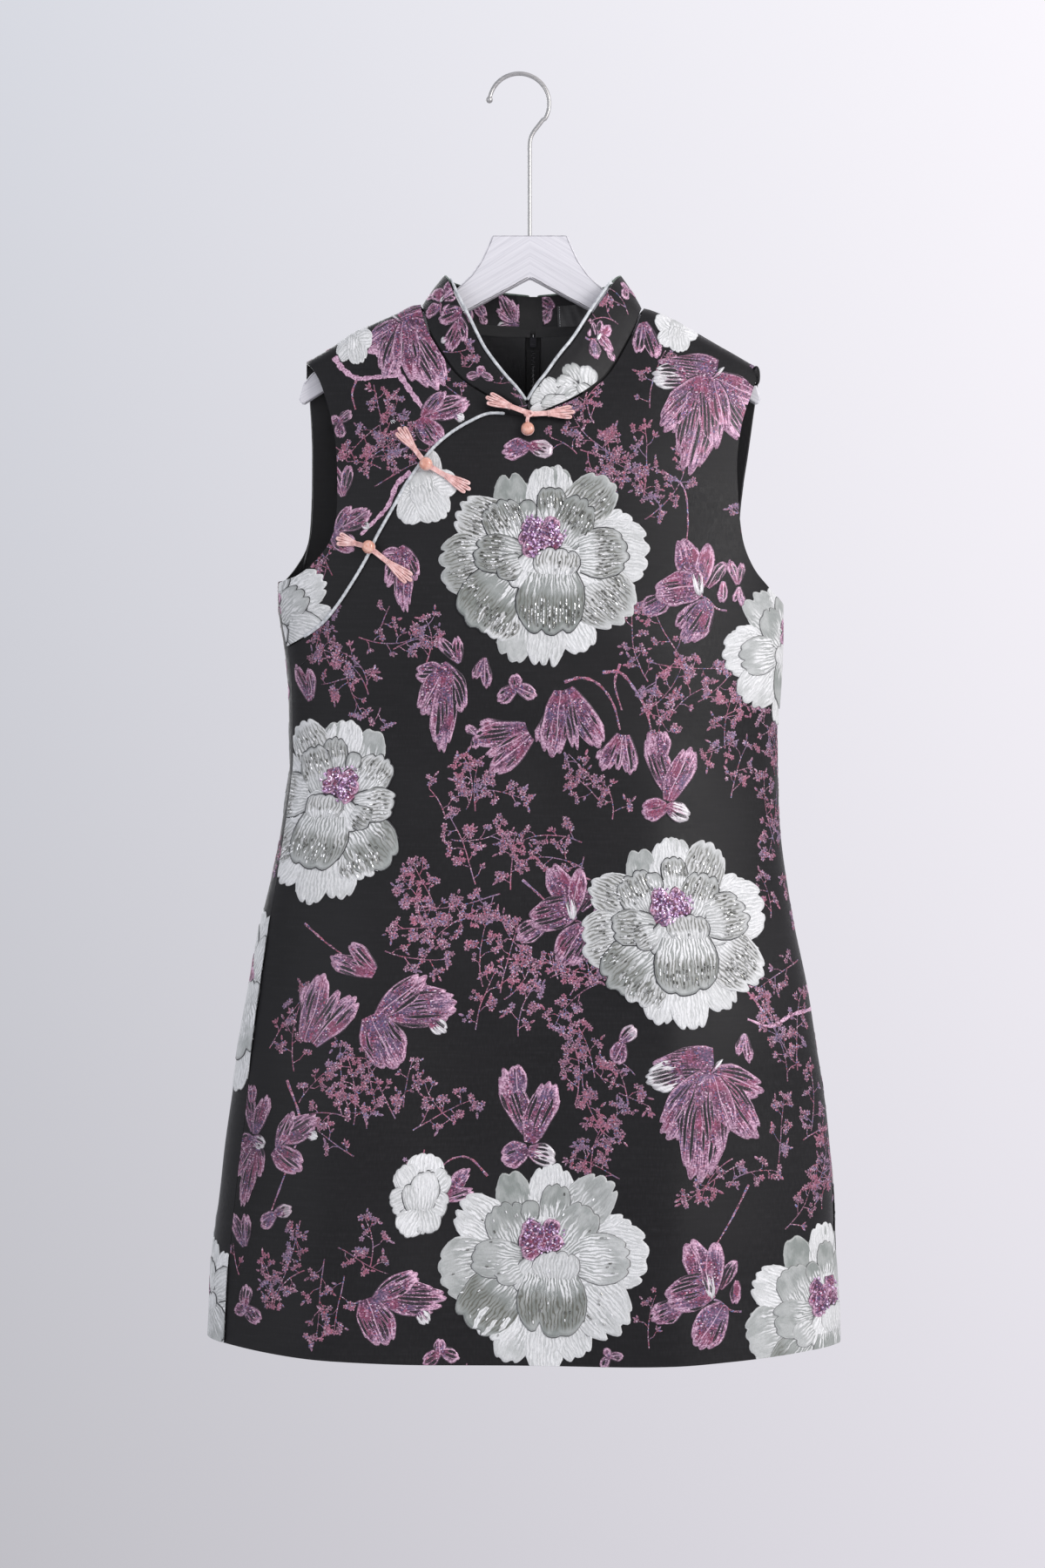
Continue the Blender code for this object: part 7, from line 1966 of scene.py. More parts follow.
rnd.seed(902)
for side, place in ((-1, place_cl), (1, place_cr)):
    tag = "left" if side < 0 else "right"
    W, length = collar_motifs("brocade_collar_" + tag, side, place, False)
    if side > 0:
        # white petals on the front of the right side, one part flower behind
        bud(W, Spot(length * 0.90, 0.010, 1.0, -30), 0.0330, outline=0.8)
        bud(W, Spot(length * 0.79, 0.008, 1.0, 20), 0.0250, white=-0.3, outline=0.8, keep=(0, 1, 2, 4, 7))
        leaves(W, Spot(length * 0.63, 0.016, 1.0, 80), "magnolia", 0.026)
        leaves(W, Spot(length * 0.42, 0.018, 1.0, 10), "small", 0.022)
        leaves(W, Spot(length * 0.10, 0.016, 1.0, 30), "magnolia", 0.030)
        bud(W, Spot(length * 0.26, 0.020, 1.0, 0), 0.0240)
    else:
        leaves(W, Spot(length * 0.60, 0.018, 1.0, -60), "pair", 0.030)
        leaves(W, Spot(length * 0.78, 0.014, 1.0, 40), "small", 0.024)
        leaves(W, Spot(length * 0.48, 0.020, 1.0, 10), "magnolia", 0.030)
        leaves(W, Spot(length * 0.12, 0.016, 1.0, 30), "hang", 0.034)
        bud(W, Spot(length * 0.30, 0.012, 1.0, 0), 0.0220)
    for _ in range(16):
        at = Spot(rnd.uniform(0.02, 0.97) * length, rnd.uniform(0.002, 0.028))
        if free(W, (at.u, at.z), 0.001):
            sprig(W, at, rnd.uniform(20, 160), rnd.uniform(0.018, 0.034), 0.2)
    collar_finish(W, side < 0)
    Wi, length = collar_motifs("brocade_collar_inside_" + tag, side, place, True)
    if side > 0:
        leaves(Wi, Spot(length * 0.035, 0.018, 1.0, 200), "pair", 0.022)
        bud(Wi, Spot(length * 0.30, 0.022, 1.0, 0), 0.0200, keep=(0, 1, 2, 6))
        leaves(Wi, Spot(length * 0.42, 0.016, 1.0, 20), "magnolia", 0.026)
    else:
        leaves(Wi, Spot(length * 0.075, 0.014, 1.0, 160), "hang", 0.030)
        leaves(Wi, Spot(length * 0.19, 0.018, 1.0, 30), "magnolia", 0.028)
        bud(Wi, Spot(length * 0.33, 0.012, 1.0, 30), 0.0200, keep=(0, 1, 3, 6))
    for _ in range(9):
        at = Spot(rnd.uniform(0.02, 0.60) * length, rnd.uniform(0.002, 0.028))
        if side > 0 and 0.07 < at.u / length < 0.27:
            continue
        if free(Wi, (at.u, at.z), 0.001):
            sprig(Wi, at, rnd.uniform(20, 160), rnd.uniform(0.016, 0.030), 0.3)
    collar_finish(Wi, side > 0)


# --- beads sewn over the petals
def bead_work(name, W, outline, place):
    if not W.beads:
        return None
    p0 = np.array([b[0] for b in W.beads])
    keep = segment_field(outline, p0) > 0.0016
    p0 = p0[keep]
    dv = np.array([b[1] for b in W.beads])[keep]
    hh = np.array([b[2] for b in W.beads])[keep]
    kind = np.array([b[3] for b in W.beads])[keep]
    a = place(p0, hh + 0.00035)
    b = place(p0 + dv, hh + 0.00035)
    up = unit(place(p0, hh + 0.0015) - a)
    along = unit(b - a)
    across = unit(np.cross(up, along))
    up = np.cross(along, across)
    verts, faces, fan, index = [], [], [], []
    for i in range(len(p0)):
        num = rnd.random()
        if kind[i] == 0:
            long, rad, sides, prof = rnd.uniform(0.00105, 0.00135), 0.00058, 6, ((-1, 0.72), (-0.86, 1.0), (0.86, 1.0), (1, 0.72))
        else:
            long, rad, sides, prof = 0.00090, 0.00098, 6, ((-1, 0.35), (-0.45, 0.95), (0.45, 0.95), (1, 0.35))
        b0 = len(verts)
        lift = up[i] * (0.0006 * rnd.random() if kind[i] else 0)
        roll = rnd.uniform(0, 2 * math.pi)
        lean = unit(along[i] + across[i] * rnd.uniform(-0.16, 0.16) + up[i] * rnd.uniform(-0.10, 0.10))
        for t, r in prof:
            for j in range(sides):
                q = roll + 2 * math.pi * j / sides
                verts.append(a[i] + lift + lean * (long * t) + (across[i] * math.cos(q) + up[i] * math.sin(q)) * rad * r)
                fan.append((0, 0, num))
        m = len(prof)
        for k in range(m - 1):
            for j in range(sides):
                c = b0 + k * sides + j
                e = b0 + k * sides + (j + 1) % sides
                faces.append([c, e, e + sides, c + sides])
                index.append(kind[i])
        faces.append([b0 + j for j in reversed(range(sides))])
        faces.append([b0 + (m - 1) * sides + j for j in range(sides)])
        index += [kind[i], kind[i]]
    obj = new_object(name, verts, faces, [SILVER_M, LILAC_M], index, smooth=False, attrs={"fan": fan})
    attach(obj, GARMENT)
    return obj


rnd.seed(333)
beads_main = bead_work("beadwork_front", A, flat_of(out_main), cloth_place)
beads_bl = bead_work("beadwork_back_left", C, flat_of(out_back_l), cloth_place)
beads_br = bead_work("beadwork_back_right", D, flat_of(out_back_r), cloth_place)


# -------------------------------------------------------------------- trims
def rides(obj, slot, *nodes, body_name=GARMENT):
    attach(obj, body_name)
    if nodes:
        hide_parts(*nodes)
    return obj


def collar_edge(side, t, off=0.0006):
    t = np.asarray(t, float)
    top = collar_face(side, t, 1.0 + 0 * t)
    d = unit(top - collar_face(side, t, 0.9 + 0 * t))
    return top + d * off - collar_normal(side, t, 0.98 + 0 * t) * (CLOTH / 2)


# satin piping on the collar's front edges
for side, name, t0 in ((-1, "piping_collar_left", 0.44), (1, "piping_collar_right", 0.43)):
    t = np.linspace(t0, 0.955, 120)
    pts = collar_edge(side, t)
    grow = smooth_step(0.0, 0.12, (t - t0) / (0.955 - t0)) * 0.5 + 0.5
    rides(tube("satin_" + name, pts, PIPING_R * 1.04 * grow, PIPING_M, 12), "piping", name)
    # the fine green cord that goes on round the back of the collar
    t = np.linspace(0.020, t0 + 0.01, 110)
    pts = collar_edge(side, t, -0.0010)
    start = collar_face(side, np.linspace(0.0105, 0.016, 6), np.linspace(0.55, 0.90, 6))
    start = start - collar_normal(side, np.full(6, 0.02), np.full(6, 0.8)) * (CLOTH / 2)
    rides(tube("edge_cord" + ("_left" if side < 0 else "_right"), np.concatenate([start, pts]), 0.00085, GREEN_M, 8),
          "piping")

# placket piping: a bias fold stuffed with cord
pk = placket[3:-3]
pts = on_cloth(pk[:, 0], pk[:, 1], PIPING_R + 0.0004)
pts = np.stack([np.interp(np.linspace(0, len(pts) - 1, 420), np.arange(len(pts)), pts[:, c]) for c in range(3)], axis=1)
rides(tube("satin_piping_placket", pts, PIPING_R * (1.0 + 0.05 * np.sin(np.arange(420) * 0.9)), PIPING_M, 12),
      "piping", "piping_placket")


# frogs ------------------------------------------------------------------
def lay_cord(line, off, radius=0.00085):
    """Points given as (x, z, lift) laid on the front cloth, smoothed."""
    line = np.asarray(line, float)
    k = max(24, int(len(line) * 10))
    seg = np.linspace(0, len(line) - 1, k)
    out = []
    for q in seg:
        i = min(int(q), len(line) - 2)
        f = q - i
        p0 = line[max(i - 1, 0)]
        p1, p2 = line[i], line[i + 1]
        p3 = line[min(i + 2, len(line) - 1)]
        out.append(0.5 * (2 * p1 + (p2 - p0) * f + (2 * p0 - 5 * p1 + 4 * p2 - p3) * f * f
                          + (3 * p1 - p0 - 3 * p2 + p3) * f**3))
    out = np.array(out)
    w = w_front(out[:, 0], out[:, 1])
    return on_cloth(w, out[:, 1], off + radius + out[:, 2]), body_normal(w, out[:, 1])


def frog_wing(frog, side, parts):
    k = np.array((frog["kx"], frog["kz"]))
    end = np.array((frog["lx"], frog["lz"]) if side < 0 else (frog["rx"], frog["rz"]))
    off = frog["off_l"] if side < 0 else frog["off_r"]
    d = (end - k) / np.linalg.norm(end - k)
    a = np.array((-d[1], d[0]))
    full = float(np.linalg.norm(end - k))
    start = 0.0012 if frog["n"] == 1 else BEAD_R * 0.55
    hop = 0.0 if frog["n"] == 1 else 2 * PIPING_R + 0.0003

    def pt(f, v, lift=0.0):
        s = start + (full - start) * f
        p = k + d * s + a * v
        up = hop * max(0.0, 1 - (s / 0.0120) ** 2) if hop else 0.0
        return (p[0], p[1], up + lift)

    # four strands lie side by side as the doubled band
    for v in (-0.00150, -0.00050, 0.00050, 0.00150):
        line = [pt(f, v) for f in (0.0, 0.12, 0.26, 0.38)] + [pt(0.47, v * 1.1), pt(0.56, v * 1.3, -0.0001)]
        pts, nrm = lay_cord(line, off)
        parts.append(tube("c", pts, 0.00064, CORD_M, 9, flat=0.9, normals=nrm))
    # three long loops fan out beyond the tie
    for v, far in ((-0.0039, 0.95), (0.0, 1.02), (0.0039, 0.95)):
        w_ = 0.00092
        line = [pt(0.40, v * 0.22 - 0.0003), pt(0.55, v * 0.48 - w_ * 0.7), pt(0.74, v * 0.80 - w_), pt(far - 0.05, v - w_),
                pt(far - 0.004, v - w_ * 0.55), pt(far, v), pt(far - 0.004, v + w_ * 0.55),
                pt(far - 0.05, v + w_), pt(0.74, v * 0.80 + w_), pt(0.55, v * 0.48 + w_ * 0.7), pt(0.40, v * 0.22 + 0.0003)]
        pts, nrm = lay_cord(line, off)
        parts.append(tube("c", pts, 0.00086, CORD_M, 9, flat=0.9, normals=nrm))
    # binding where the strands part
    for f in (0.42, 0.45, 0.48):
        line = [pt(f, -0.0024, -0.0004), pt(f, -0.0017, 0.0006), pt(f, 0.0, 0.0010), pt(f, 0.0017, 0.0006), pt(f, 0.0024, -0.0004)]
        pts, nrm = lay_cord(line, off)
        parts.append(tube("c", pts, 0.00042, CORD_M, 7, normals=nrm))


def bead_mesh(frog):
    w = float(w_front(frog["bx"], frog["bz"]))
    nrm = Vector(body_normal(w, frog["bz"]))
    lift = 2 * PIPING_R + 0.0009 + BEAD_R * BEAD_FLAT if frog["n"] > 1 else 0.0012 + BEAD_R * BEAD_FLAT
    bm = bmesh.new()
    bmesh.ops.create_uvsphere(bm, u_segments=48, v_segments=28, radius=BEAD_R)
    q = nrm.to_track_quat("Z", "Y")
    at = Vector(on_cloth(w, frog["bz"], lift))
    for v in bm.verts:
        r = math.hypot(v.co.x, v.co.y) / BEAD_R
        # a carved ring round the crown and a small dimple at the top
        z = v.co.z * BEAD_FLAT
        if v.co.z > 0:
            z += 0.00028 * math.exp(-((r - 0.60) / 0.10) ** 2) - 0.00045 * math.exp(-(r / 0.22) ** 2)
        v.co = Vector((v.co.x, v.co.y, z))
    bmesh.ops.transform(bm, matrix=Matrix.Translation(at) @ q.to_matrix().to_4x4(), verts=bm.verts)
    mesh = bpy.data.meshes.new("bead_%d" % frog["n"])
    bm.to_mesh(mesh)
    bm.free()
    mesh.shade_smooth()
    mesh.materials.append(BEAD_M)
    o = bpy.data.objects.new("bead_%d" % frog["n"], mesh)
    bpy.context.scene.collection.objects.link(o)
    # cord collar round its foot
    ring = []
    for i in range(29):
        t = 2 * math.pi * i / 28
        ring.append(at + q @ Vector((BEAD_R * 0.86 * math.cos(t), BEAD_R * 0.86 * math.sin(t), -BEAD_R * BEAD_FLAT * 0.62)))
    collar_cord = tube("foot_%d" % frog["n"], ring, 0.00085, CORD_M, 9)
    return o, collar_cord


for frog in FROGS:
    for side, tag in ((-1, "loop"), (1, "knot")):
        parts = []
        frog_wing(frog, side, parts)
        if side > 0:
            bead, foot_cord = bead_mesh(frog)
            parts.append(foot_cord)
            if frog["n"] == 1:
                # the crossing knot above the first bead
                line = []
                for i in range(15):
                    t = 2 * math.pi * i / 14
                    line.append((frog["kx"] + 0.0031 * math.cos(t), frog["kz"] + 0.0019 * math.sin(t), 0.0004))
                pts, nrm = lay_cord(line, 0.0046)
                parts.append(tube("c", pts, 0.00105, CORD_M, 9, normals=nrm))
                line = [(frog["kx"] - 0.0008, frog["kz"] + 0.0006, 0.0030), (frog["kx"] - 0.0006, frog["kz"] - 0.0030, 0.0036),
                        (frog["bx"] - 0.0004, frog["bz"] + 0.0062, 0.0030), (frog["bx"], frog["bz"] + 0.0042, 0.0024)]
                for dx in (-0.0007, 0.0007):
                    pts, nrm = lay_cord([(x + dx, z, up) for x, z, up in line], 0.0016)
                    parts.append(tube("c", pts, 0.00080, CORD_M, 9, normals=nrm))
        rides(joined("satin_frog_%d_%s" % (frog["n"], tag), parts), "frog_cord", "frog_%d_%s" % (frog["n"], tag))
    rides(bead, "frog_bead", "frog_%d_bead" % frog["n"])


# zip: two tapes, the coil between them, and the metal pieces ----------------
def zip_point(x, z, deep):
    w = 2.0 - np.asarray(x, float) / S_SCALE
    return on_cloth(w, z, -(CLOTH + deep))


zs = np.linspace(ZIP_TOP, ZIP_END, 110)
tapes = []
for sgn in (-1, 1):
    verts, faces = [], []
    prof = [(0.0009, 0.00075), (0.0055, 0.00075), (0.0057, 0.00100), (0.0055, 0.00125), (0.0009, 0.00125)]
    for z in zs:
        for x, dp in prof:
            verts.append(zip_point(sgn * x, z, dp))
    m = len(prof)
    for i in range(len(zs) - 1):
        for j in range(m):
            a, b = i * m + j, i * m + (j + 1) % m
            faces.append([a, a + m, b + m, b])
    faces.append(list(range(m)))
    faces.append([(len(zs) - 1) * m + j for j in reversed(range(m))])
    t = new_object("tape", verts, faces, [TAPE_M], angle=50,
                   attrs={"cloth": [(sgn * x, z, 0) for z in zs for x, _ in prof]})
    tapes.append(t)
count = 250
verts, faces = [], []
for i in range(count):
    z = ZIP_TOP - 0.0004 + (ZIP_END - ZIP_TOP + 0.0008) * i / (count - 1)
    s = 1 if i % 2 else -1
    c = zip_point(0.0, z, 0.00165)
    e = zip_point(s * 0.0016, z, 0.00125)
    f = zip_point(-s * 0.0007, z, 0.00175)
    q = zip_point(0.0, z - 0.0011, 0.00165)
    down_v = unit(q - c)
    out_v = unit(zip_point(0.0, z, 0.0026) - c)
    b0 = len(verts)
    for p, hh in ((e, 0.00035), (f, 0.00048)):
        for u, v in ((1, 0), (0, 1), (-1, 0), (0, -0.6)):
            verts.append(p + down_v * (0.00052 * u) + out_v * (hh * v))
    faces += [[b0, b0 + 1, b0 + 2, b0 + 3], [b0 + 7, b0 + 6, b0 + 5, b0 + 4]]
    faces += [[b0 + j, b0 + 4 + j, b0 + 4 + (j + 1) % 4, b0 + (j + 1) % 4] for j in range(4)]
coil = new_object("coil", verts, faces, [COIL_M], smooth=False)
bm = bmesh.new()
bm.from_mesh(coil.data)
bmesh.ops.recalc_face_normals(bm, faces=bm.faces)
bm.to_mesh(coil.data)
bm.free()
rides(joined("zip_tapes_and_coil", tapes + [coil]), "zip_tape", "zip_chain")

for node in ("zip_slider", "zip_pull"):
    mesh = frame["nodes"][node].data
    mesh.materials.clear()
    mesh.materials.append(ZIP_METAL)

# neck tape and zip guard: black tape over the neck seam and down behind the
# open edges of the collar's back
NECK_AXIS_Y = float(np.mean(seam_at(1, np.linspace(0, 0.9, 30))[:, 1]))


def tape_solid(name, grid, thick, mat):
    """A flat tape: grid [n, m, 3] is its face on the cloth, the tape grows
    towards the neck's middle."""
    n, m, _ = grid.shape
    du = np.gradient(grid, axis=0)
    dv = np.gradient(grid, axis=1)
    nr = unit(np.cross(du, dv))
    mid = grid.mean((0, 1))
    inward = np.array((0, NECK_AXIS_Y, 0)) - grid
    inward[..., 2] = 0
    sign = np.sign((nr * inward).sum(-1).mean())
    up = grid + nr * sign * thick
    verts = np.concatenate([grid.reshape(-1, 3), up.reshape(-1, 3)])
    faces = []
    k = n * m
    ix = lambda i, j: i * m + j
    for i in range(n - 1):
        for j in range(m - 1):
            q = [ix(i, j), ix(i + 1, j), ix(i + 1, j + 1), ix(i, j + 1)]
            faces.append([k + v for v in q])
            faces.append(q[::-1])
    ring = [ix(i, 0) for i in range(n)] + [ix(n - 1, j) for j in range(1, m)]
    ring += [ix(i, m - 1) for i in range(n - 2, -1, -1)] + [ix(0, j) for j in range(m - 2, 0, -1)]
    for a, b in zip(ring, ring[1:] + ring[:1]):
        faces.append([a, b, k + b, k + a])
    flat = [(i * 0.003, j * 0.003, 0) for i in range(n) for j in range(m)] * 2
    o = new_object(name, verts, faces, [mat], angle=50, attrs={"cloth": flat})
    bm = bmesh.new()
    bm.from_mesh(o.data)
    bmesh.ops.recalc_face_normals(bm, faces=bm.faces)
    bm.to_mesh(o.data)
    bm.free()
    return o


neck = []
for side in (-1, 1):
    length = SEAMS[side][2]
    t = np.concatenate([np.linspace(0.003, 0.03, 6), np.linspace(0.04, 0.80, 90)])
    base = seam_at(side, t)
    inward = np.stack([-base[:, 0], NECK_AXIS_Y - base[:, 1], 0 * t], 1)
    inward = unit(inward)
    top = collar_face(side, t, 0.12 + 0 * t) - collar_normal(side, t, 0.12 + 0 * t) * (CLOTH + 0.0004)
    foot = collar_face(side, t, 0.02 + 0 * t) - collar_normal(side, t, 0.05 + 0 * t) * (CLOTH + 0.0006)
    r2 = foot + inward * 0.0012 + np.array((0, 0, -0.0028))
    r3 = foot + inward * 0.0016 + np.array((0, 0, -0.0062))
    neck.append(tape_solid("neck_tape", np.stack([top, foot, r2, r3], 1), 0.0004, TAPE_M))
    # guard: the zip's tape goes on up the collar's back edge, cut to a V
    hs = np.linspace(0.0, 0.96, 26)
    rows = []
    for h in hs:
        far = collar_face(side, 0.0105 + 0.0055 / length, h) - collar_normal(side, 0.03, h) * (CLOTH + 0.0005)
        close = collar_face(side, 0.0120, h) - collar_normal(side, 0.03, h) * (CLOTH + 0.0005)
        x_in = side * (0.00015 + 0.0030 * max(0.0, (h - 0.72) / 0.24) ** 1.2)
        tip = np.array((x_in, close[1] - 0.0001, close[2]))
        rows.append([far, (far + close) / 2, close, tip])
    # and on down between the notch's edges to the top of the coil
    rows = rows[::-1]
    for z in np.linspace(-0.2112, -0.2262, 9):
        rows.append([zip_point(side * x, z, 0.00008) for x in (0.0062, 0.0042, 0.0022, 0.0001)])
    neck.append(tape_solid("zip_guard", np.array(rows), 0.0004, TAPE_M))
rides(joined("neck_tape_and_guard", neck), "zip_tape")

# label: a folded satin strip with bare face and stitched short ends ---------
LABEL_T = (0.081, 0.250)
LABEL_H = (0.10, 0.66)
length = SEAMS[1][2]
flat, faces = [], []
NI, NJ = 40, 20
for i in range(NI + 1):
    for j in range(NJ + 1):
        flat.append((LABEL_T[0] + (LABEL_T[1] - LABEL_T[0]) * i / NI, LABEL_H[0] + (LABEL_H[1] - LABEL_H[0]) * j / NJ))
flat = np.array(flat)
tris = []
for i in range(NI):
    for j in range(NJ):
        a = i * (NJ + 1) + j
        b = a + NJ + 1
        tris += [[a, b, b + 1], [a, b + 1, a + 1]]
tris = np.array(tris)


def place_label(p, off):
    t, h = p[:, 0], p[:, 1]
    ripple = 0.00022 * np.sin(t * 95) * np.sin(h * 7.0) + 0.00012 * np.sin(t * 210 + h * 9)
    off = np.asarray(off, float) + ripple
    return collar_face(1, t, h) + collar_normal(1, t, h) * off[..., None]


lab = shell("label_satin", flat, tris, place_label, 0.0006, [LABEL_M, LABEL_M], push=CLOTH + 0.0007)
ids = np.unique(rim_edges(tris))
base = np.stack([flat[:, 0] * length, flat[:, 1] * COLLAR_TALL, 0 * flat[:, 0]], axis=1)
a = lab.data.attributes.new("cloth", "FLOAT_VECTOR", "POINT")
a.data.foreach_set("vector", np.concatenate([base, base, base[ids]]).astype(np.float32).ravel())
rides(lab, "label", "label")
stitches = []
for t in (LABEL_T[0] + 0.007, LABEL_T[1] - 0.007):
    for k in range(9):
        h0 = LABEL_H[0] + (LABEL_H[1] - LABEL_H[0]) * (k + 0.25) / 9
        h1 = LABEL_H[0] + (LABEL_H[1] - LABEL_H[0]) * (k + 0.80) / 9
        pp = []
        for q in (0, 0.25, 0.5, 0.75, 1):
            hh = h0 + (h1 - h0) * q
            o = -(CLOTH + 0.0013 + 0.00030 * math.sin(math.pi * q))
            pp.append(collar_face(1, t, hh) + collar_normal(1, t, hh) * o)
        stitches.append(tube("st", pp, 0.00022, WHITE_THREAD, 6))
rides(joined("label_stitches", stitches), "label")

# hanger: the board keeps its solid shape and gets its finish; the dark line
# along the lower front edge of the V is painted shadow, laid on as a shallow inlay
board = frame["nodes"]["hanger_plate"].data
board.materials.clear()
board.materials.append(WOOD)

EDGE_LINE = [
    dict(d=0.0020, z=-0.1676), dict(d=0.0200, z=-0.1774), dict(d=0.0520, z=-0.1943), dict(d=0.0900, z=-0.2152),
    dict(d=0.1300, z=-0.2370), dict(d=0.1640, z=-0.2562),
]
# painted shadow: a dark strip standing for the shade under the board's lower front edge
dark = Mat("hanger_painted_shadow_line", Roughness=0.55, Specular_IOR_Level=0.3)
do = dark.object()
dn = dark.noise(dark.scale(do, (500, 500, 500)), 1.0, 3.0, 0.6)
dark.set("Base Color", dark.ramp(dn, [(0.30, (0.050, 0.048, 0.050)), (0.60, (0.13, 0.125, 0.13)), (0.80, (0.36, 0.36, 0.38))]))
dark.bump(dn, 0.0001, 0.4)
lines = []
front_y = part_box("hanger_plate")[0].y
for s in (-1, 1):
    pts = [(HANGER_X + s * r["d"], front_y - 0.00002, r["z"]) for r in EDGE_LINE]
    pts = np.array(pts)
    q = np.linspace(0, 1, 90)
    run = np.concatenate([[0], np.cumsum(np.linalg.norm(np.diff(pts, axis=0), axis=1))])
    pp = np.stack([np.interp(q * run[-1], run, pts[:, c]) for c in range(3)], axis=1)
    wob = 0.00012 * np.sin(np.arange(90) * 0.7) + 0.00008 * np.sin(np.arange(90) * 1.9)
    pp[:, 2] += wob
    rad = 0.00034 * (0.75 + 0.35 * np.sin(np.arange(90) * 0.37) ** 2)
    lines.append(tube("ln", pp, rad, dark.m, 8, flat=0.35))
rides(joined("hanger_edge_shadow_line", lines), "hanger_wood")

# the board's upper front edge is eased by hand; a grey strip along it is painted shade of that rounded edge
top_edge_shade = Mat("hanger_edge_painted_shade", Roughness=0.62, Specular_IOR_Level=0.3)
eo = top_edge_shade.object()
en = top_edge_shade.noise(top_edge_shade.scale(eo, (300, 300, 300)), 1.0, 3.0, 0.6)
top_edge_shade.set("Base Color", top_edge_shade.ramp(en, [(0.30, (0.26, 0.255, 0.28)), (0.55, (0.38, 0.375, 0.40)), (0.80, (0.56, 0.555, 0.58))]))
top_edge_shade.bump(en, 0.0001, 0.4)
count = {}
mw = frame["nodes"]["hanger_plate"].matrix_world
for poly in board.polygons:
    spots = [tuple(round(c, 5) for c in mw @ board.vertices[i].co) for i in poly.vertices]
    if max(s[1] for s in spots) < front_y + 0.0002:
        for s, t_ in zip(spots, spots[1:] + spots[:1]):
            e = (s, t_) if s < t_ else (t_, s)
            count[e] = count.get(e, 0) + 1
edges = []
for (p, q), n in sorted(count.items()):
    p, q = Vector(p), Vector(q)
    if n == 1 and min(p.z, q.z) > -0.2600:
        low = all(abs(v.z - np.interp(abs(v.x - HANGER_X), [r["d"] for r in EDGE_LINE], [r["z"] for r in EDGE_LINE])) < 0.004 for v in (p, q))
        if not low:
            edges.append((p, q))
strips = []
for k, (p, q) in enumerate(edges):
    m_ = max(4, int((q - p).length / 0.0012))
    t_ = np.linspace(0, 1, m_)[:, None]
    pp = np.array(p)[None, :] * (1 - t_) + np.array(q)[None, :] * t_
    pp[:, 1] = front_y - 0.00001
    strips.append(tube("es", pp, 0.00036 * (0.8 + 0.3 * np.sin(np.arange(m_) * 0.41 + k) ** 2), top_edge_shade.m, 6, flat=0.30))
if strips:
    rides(joined("hanger_edge_shade_strip", strips), "hanger_wood")
print("hanger edges", len(edges))

# hook: smooth drawn wire with its ball
HOOK_C = Vector((-0.0003, 0, WIRE_R - HOOK_R))
pts = []
A0, A1 = math.radians(170), math.radians(-30)
for i in range(60):
    a = A0 + (A1 - A0) * i / 59
    pts.append((HOOK_C.x + HOOK_R * math.cos(a), 0, HOOK_C.z + HOOK_R * math.sin(a)))
neck = path(HOOK_NECK, 0.0012)
for x, z in neck:
    if math.hypot(x - pts[-1][0], z - pts[-1][2]) > 0.0011:
        pts.append((x, 0, z))
hook_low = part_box("hook")[0].z
zz = -0.0652
while zz > hook_low + 0.002:
    pts.append((SHANK_X, 0, zz))
    zz -= 0.004
pts.append((SHANK_X, 0, hook_low + 0.0008))
wire = tube("wire", pts, WIRE_R, CHROME, 24)
bm = bmesh.new()
bmesh.ops.create_uvsphere(bm, u_segments=32, v_segments=20, radius=BALL_R)
bmesh.ops.translate(bm, verts=bm.verts, vec=Vector(pts[0]) + Vector((-0.0002, 0, -0.0012)))
mesh = bpy.data.meshes.new("ball")
bm.to_mesh(mesh)
bm.free()
mesh.shade_smooth()
mesh.materials.append(CHROME)
ball = bpy.data.objects.new("ball", mesh)
bpy.context.scene.collection.objects.link(ball)
rides(joined("chrome_hook", [wire, ball]), "hook_wire", "hook")


# hanger loop of narrow black tape at the right armhole: it leaves the
# shoulder's inner edge, turns once and goes back
loop = smooth_line([(0.1925, -0.0060, -0.2440), (0.1948, -0.0105, -0.2422), (0.1963, -0.0130, -0.2446), (0.1969, -0.0136, -0.2494),
                    (0.1965, -0.0128, -0.2544), (0.1950, -0.0100, -0.2564), (0.1925, -0.0070, -0.2558)], 6)
rides(tube("hanger_loop_tape", loop, 0.00105, TAPE_M, 10, flat=0.35), "zip_tape")


# a dark snap below the left shoulder with a pale tacking thread beside it
def snap_at(px, py):
    w, z = at_pixel(px, py)
    prof = [(0.0, 0.00135), (0.0011, 0.00125), (0.0019, 0.00085), (0.0023, 0.00045), (0.0025, 0.00010)]
    verts, faces = [on_cloth(w, z, prof[0][1])], []
    n = 20
    for r, h in prof[1:]:
        for i in range(n):
            q = 2 * math.pi * i / n
            verts.append(on_cloth(w + r * math.cos(q) / S_SCALE, z + r * math.sin(q), h))
    for i in range(n):
        faces.append([0, 1 + i, 1 + (i + 1) % n])
        for k in range(len(prof) - 2):
            a, b = 1 + k * n + i, 1 + k * n + (i + 1) % n
            faces.append([a, a + n, b + n, b])
    faces.append([1 + (len(prof) - 2) * n + i for i in reversed(range(n))])
    dome = new_object("snap", verts, faces, [ZIP_METAL])
    bm = bmesh.new()
    bm.from_mesh(dome.data)
    bmesh.ops.recalc_face_normals(bm, faces=bm.faces)
    bm.to_mesh(dome.data)
    bm.free()
    bits = [dome]
    for dx, dz, ex, ez in ((0.0006, -0.0016, 0.0030, -0.0036), (0.0014, -0.0012, 0.0040, -0.0024), (0.0000, -0.0020, 0.0010, -0.0042)):
        line = []
        for q in (0, 0.25, 0.5, 0.75, 1):
            line.append(on_cloth(w + (dx + (ex - dx) * q) / S_SCALE, z + dz + (ez - dz) * q, 0.0010 + 0.0005 * math.sin(math.pi * q)))
        bits.append(tube("tack", line, 0.00024, WHITE_THREAD, 6))
    return joined("snap_and_tack", bits)


rides(snap_at(449, 481), "zip_metal")
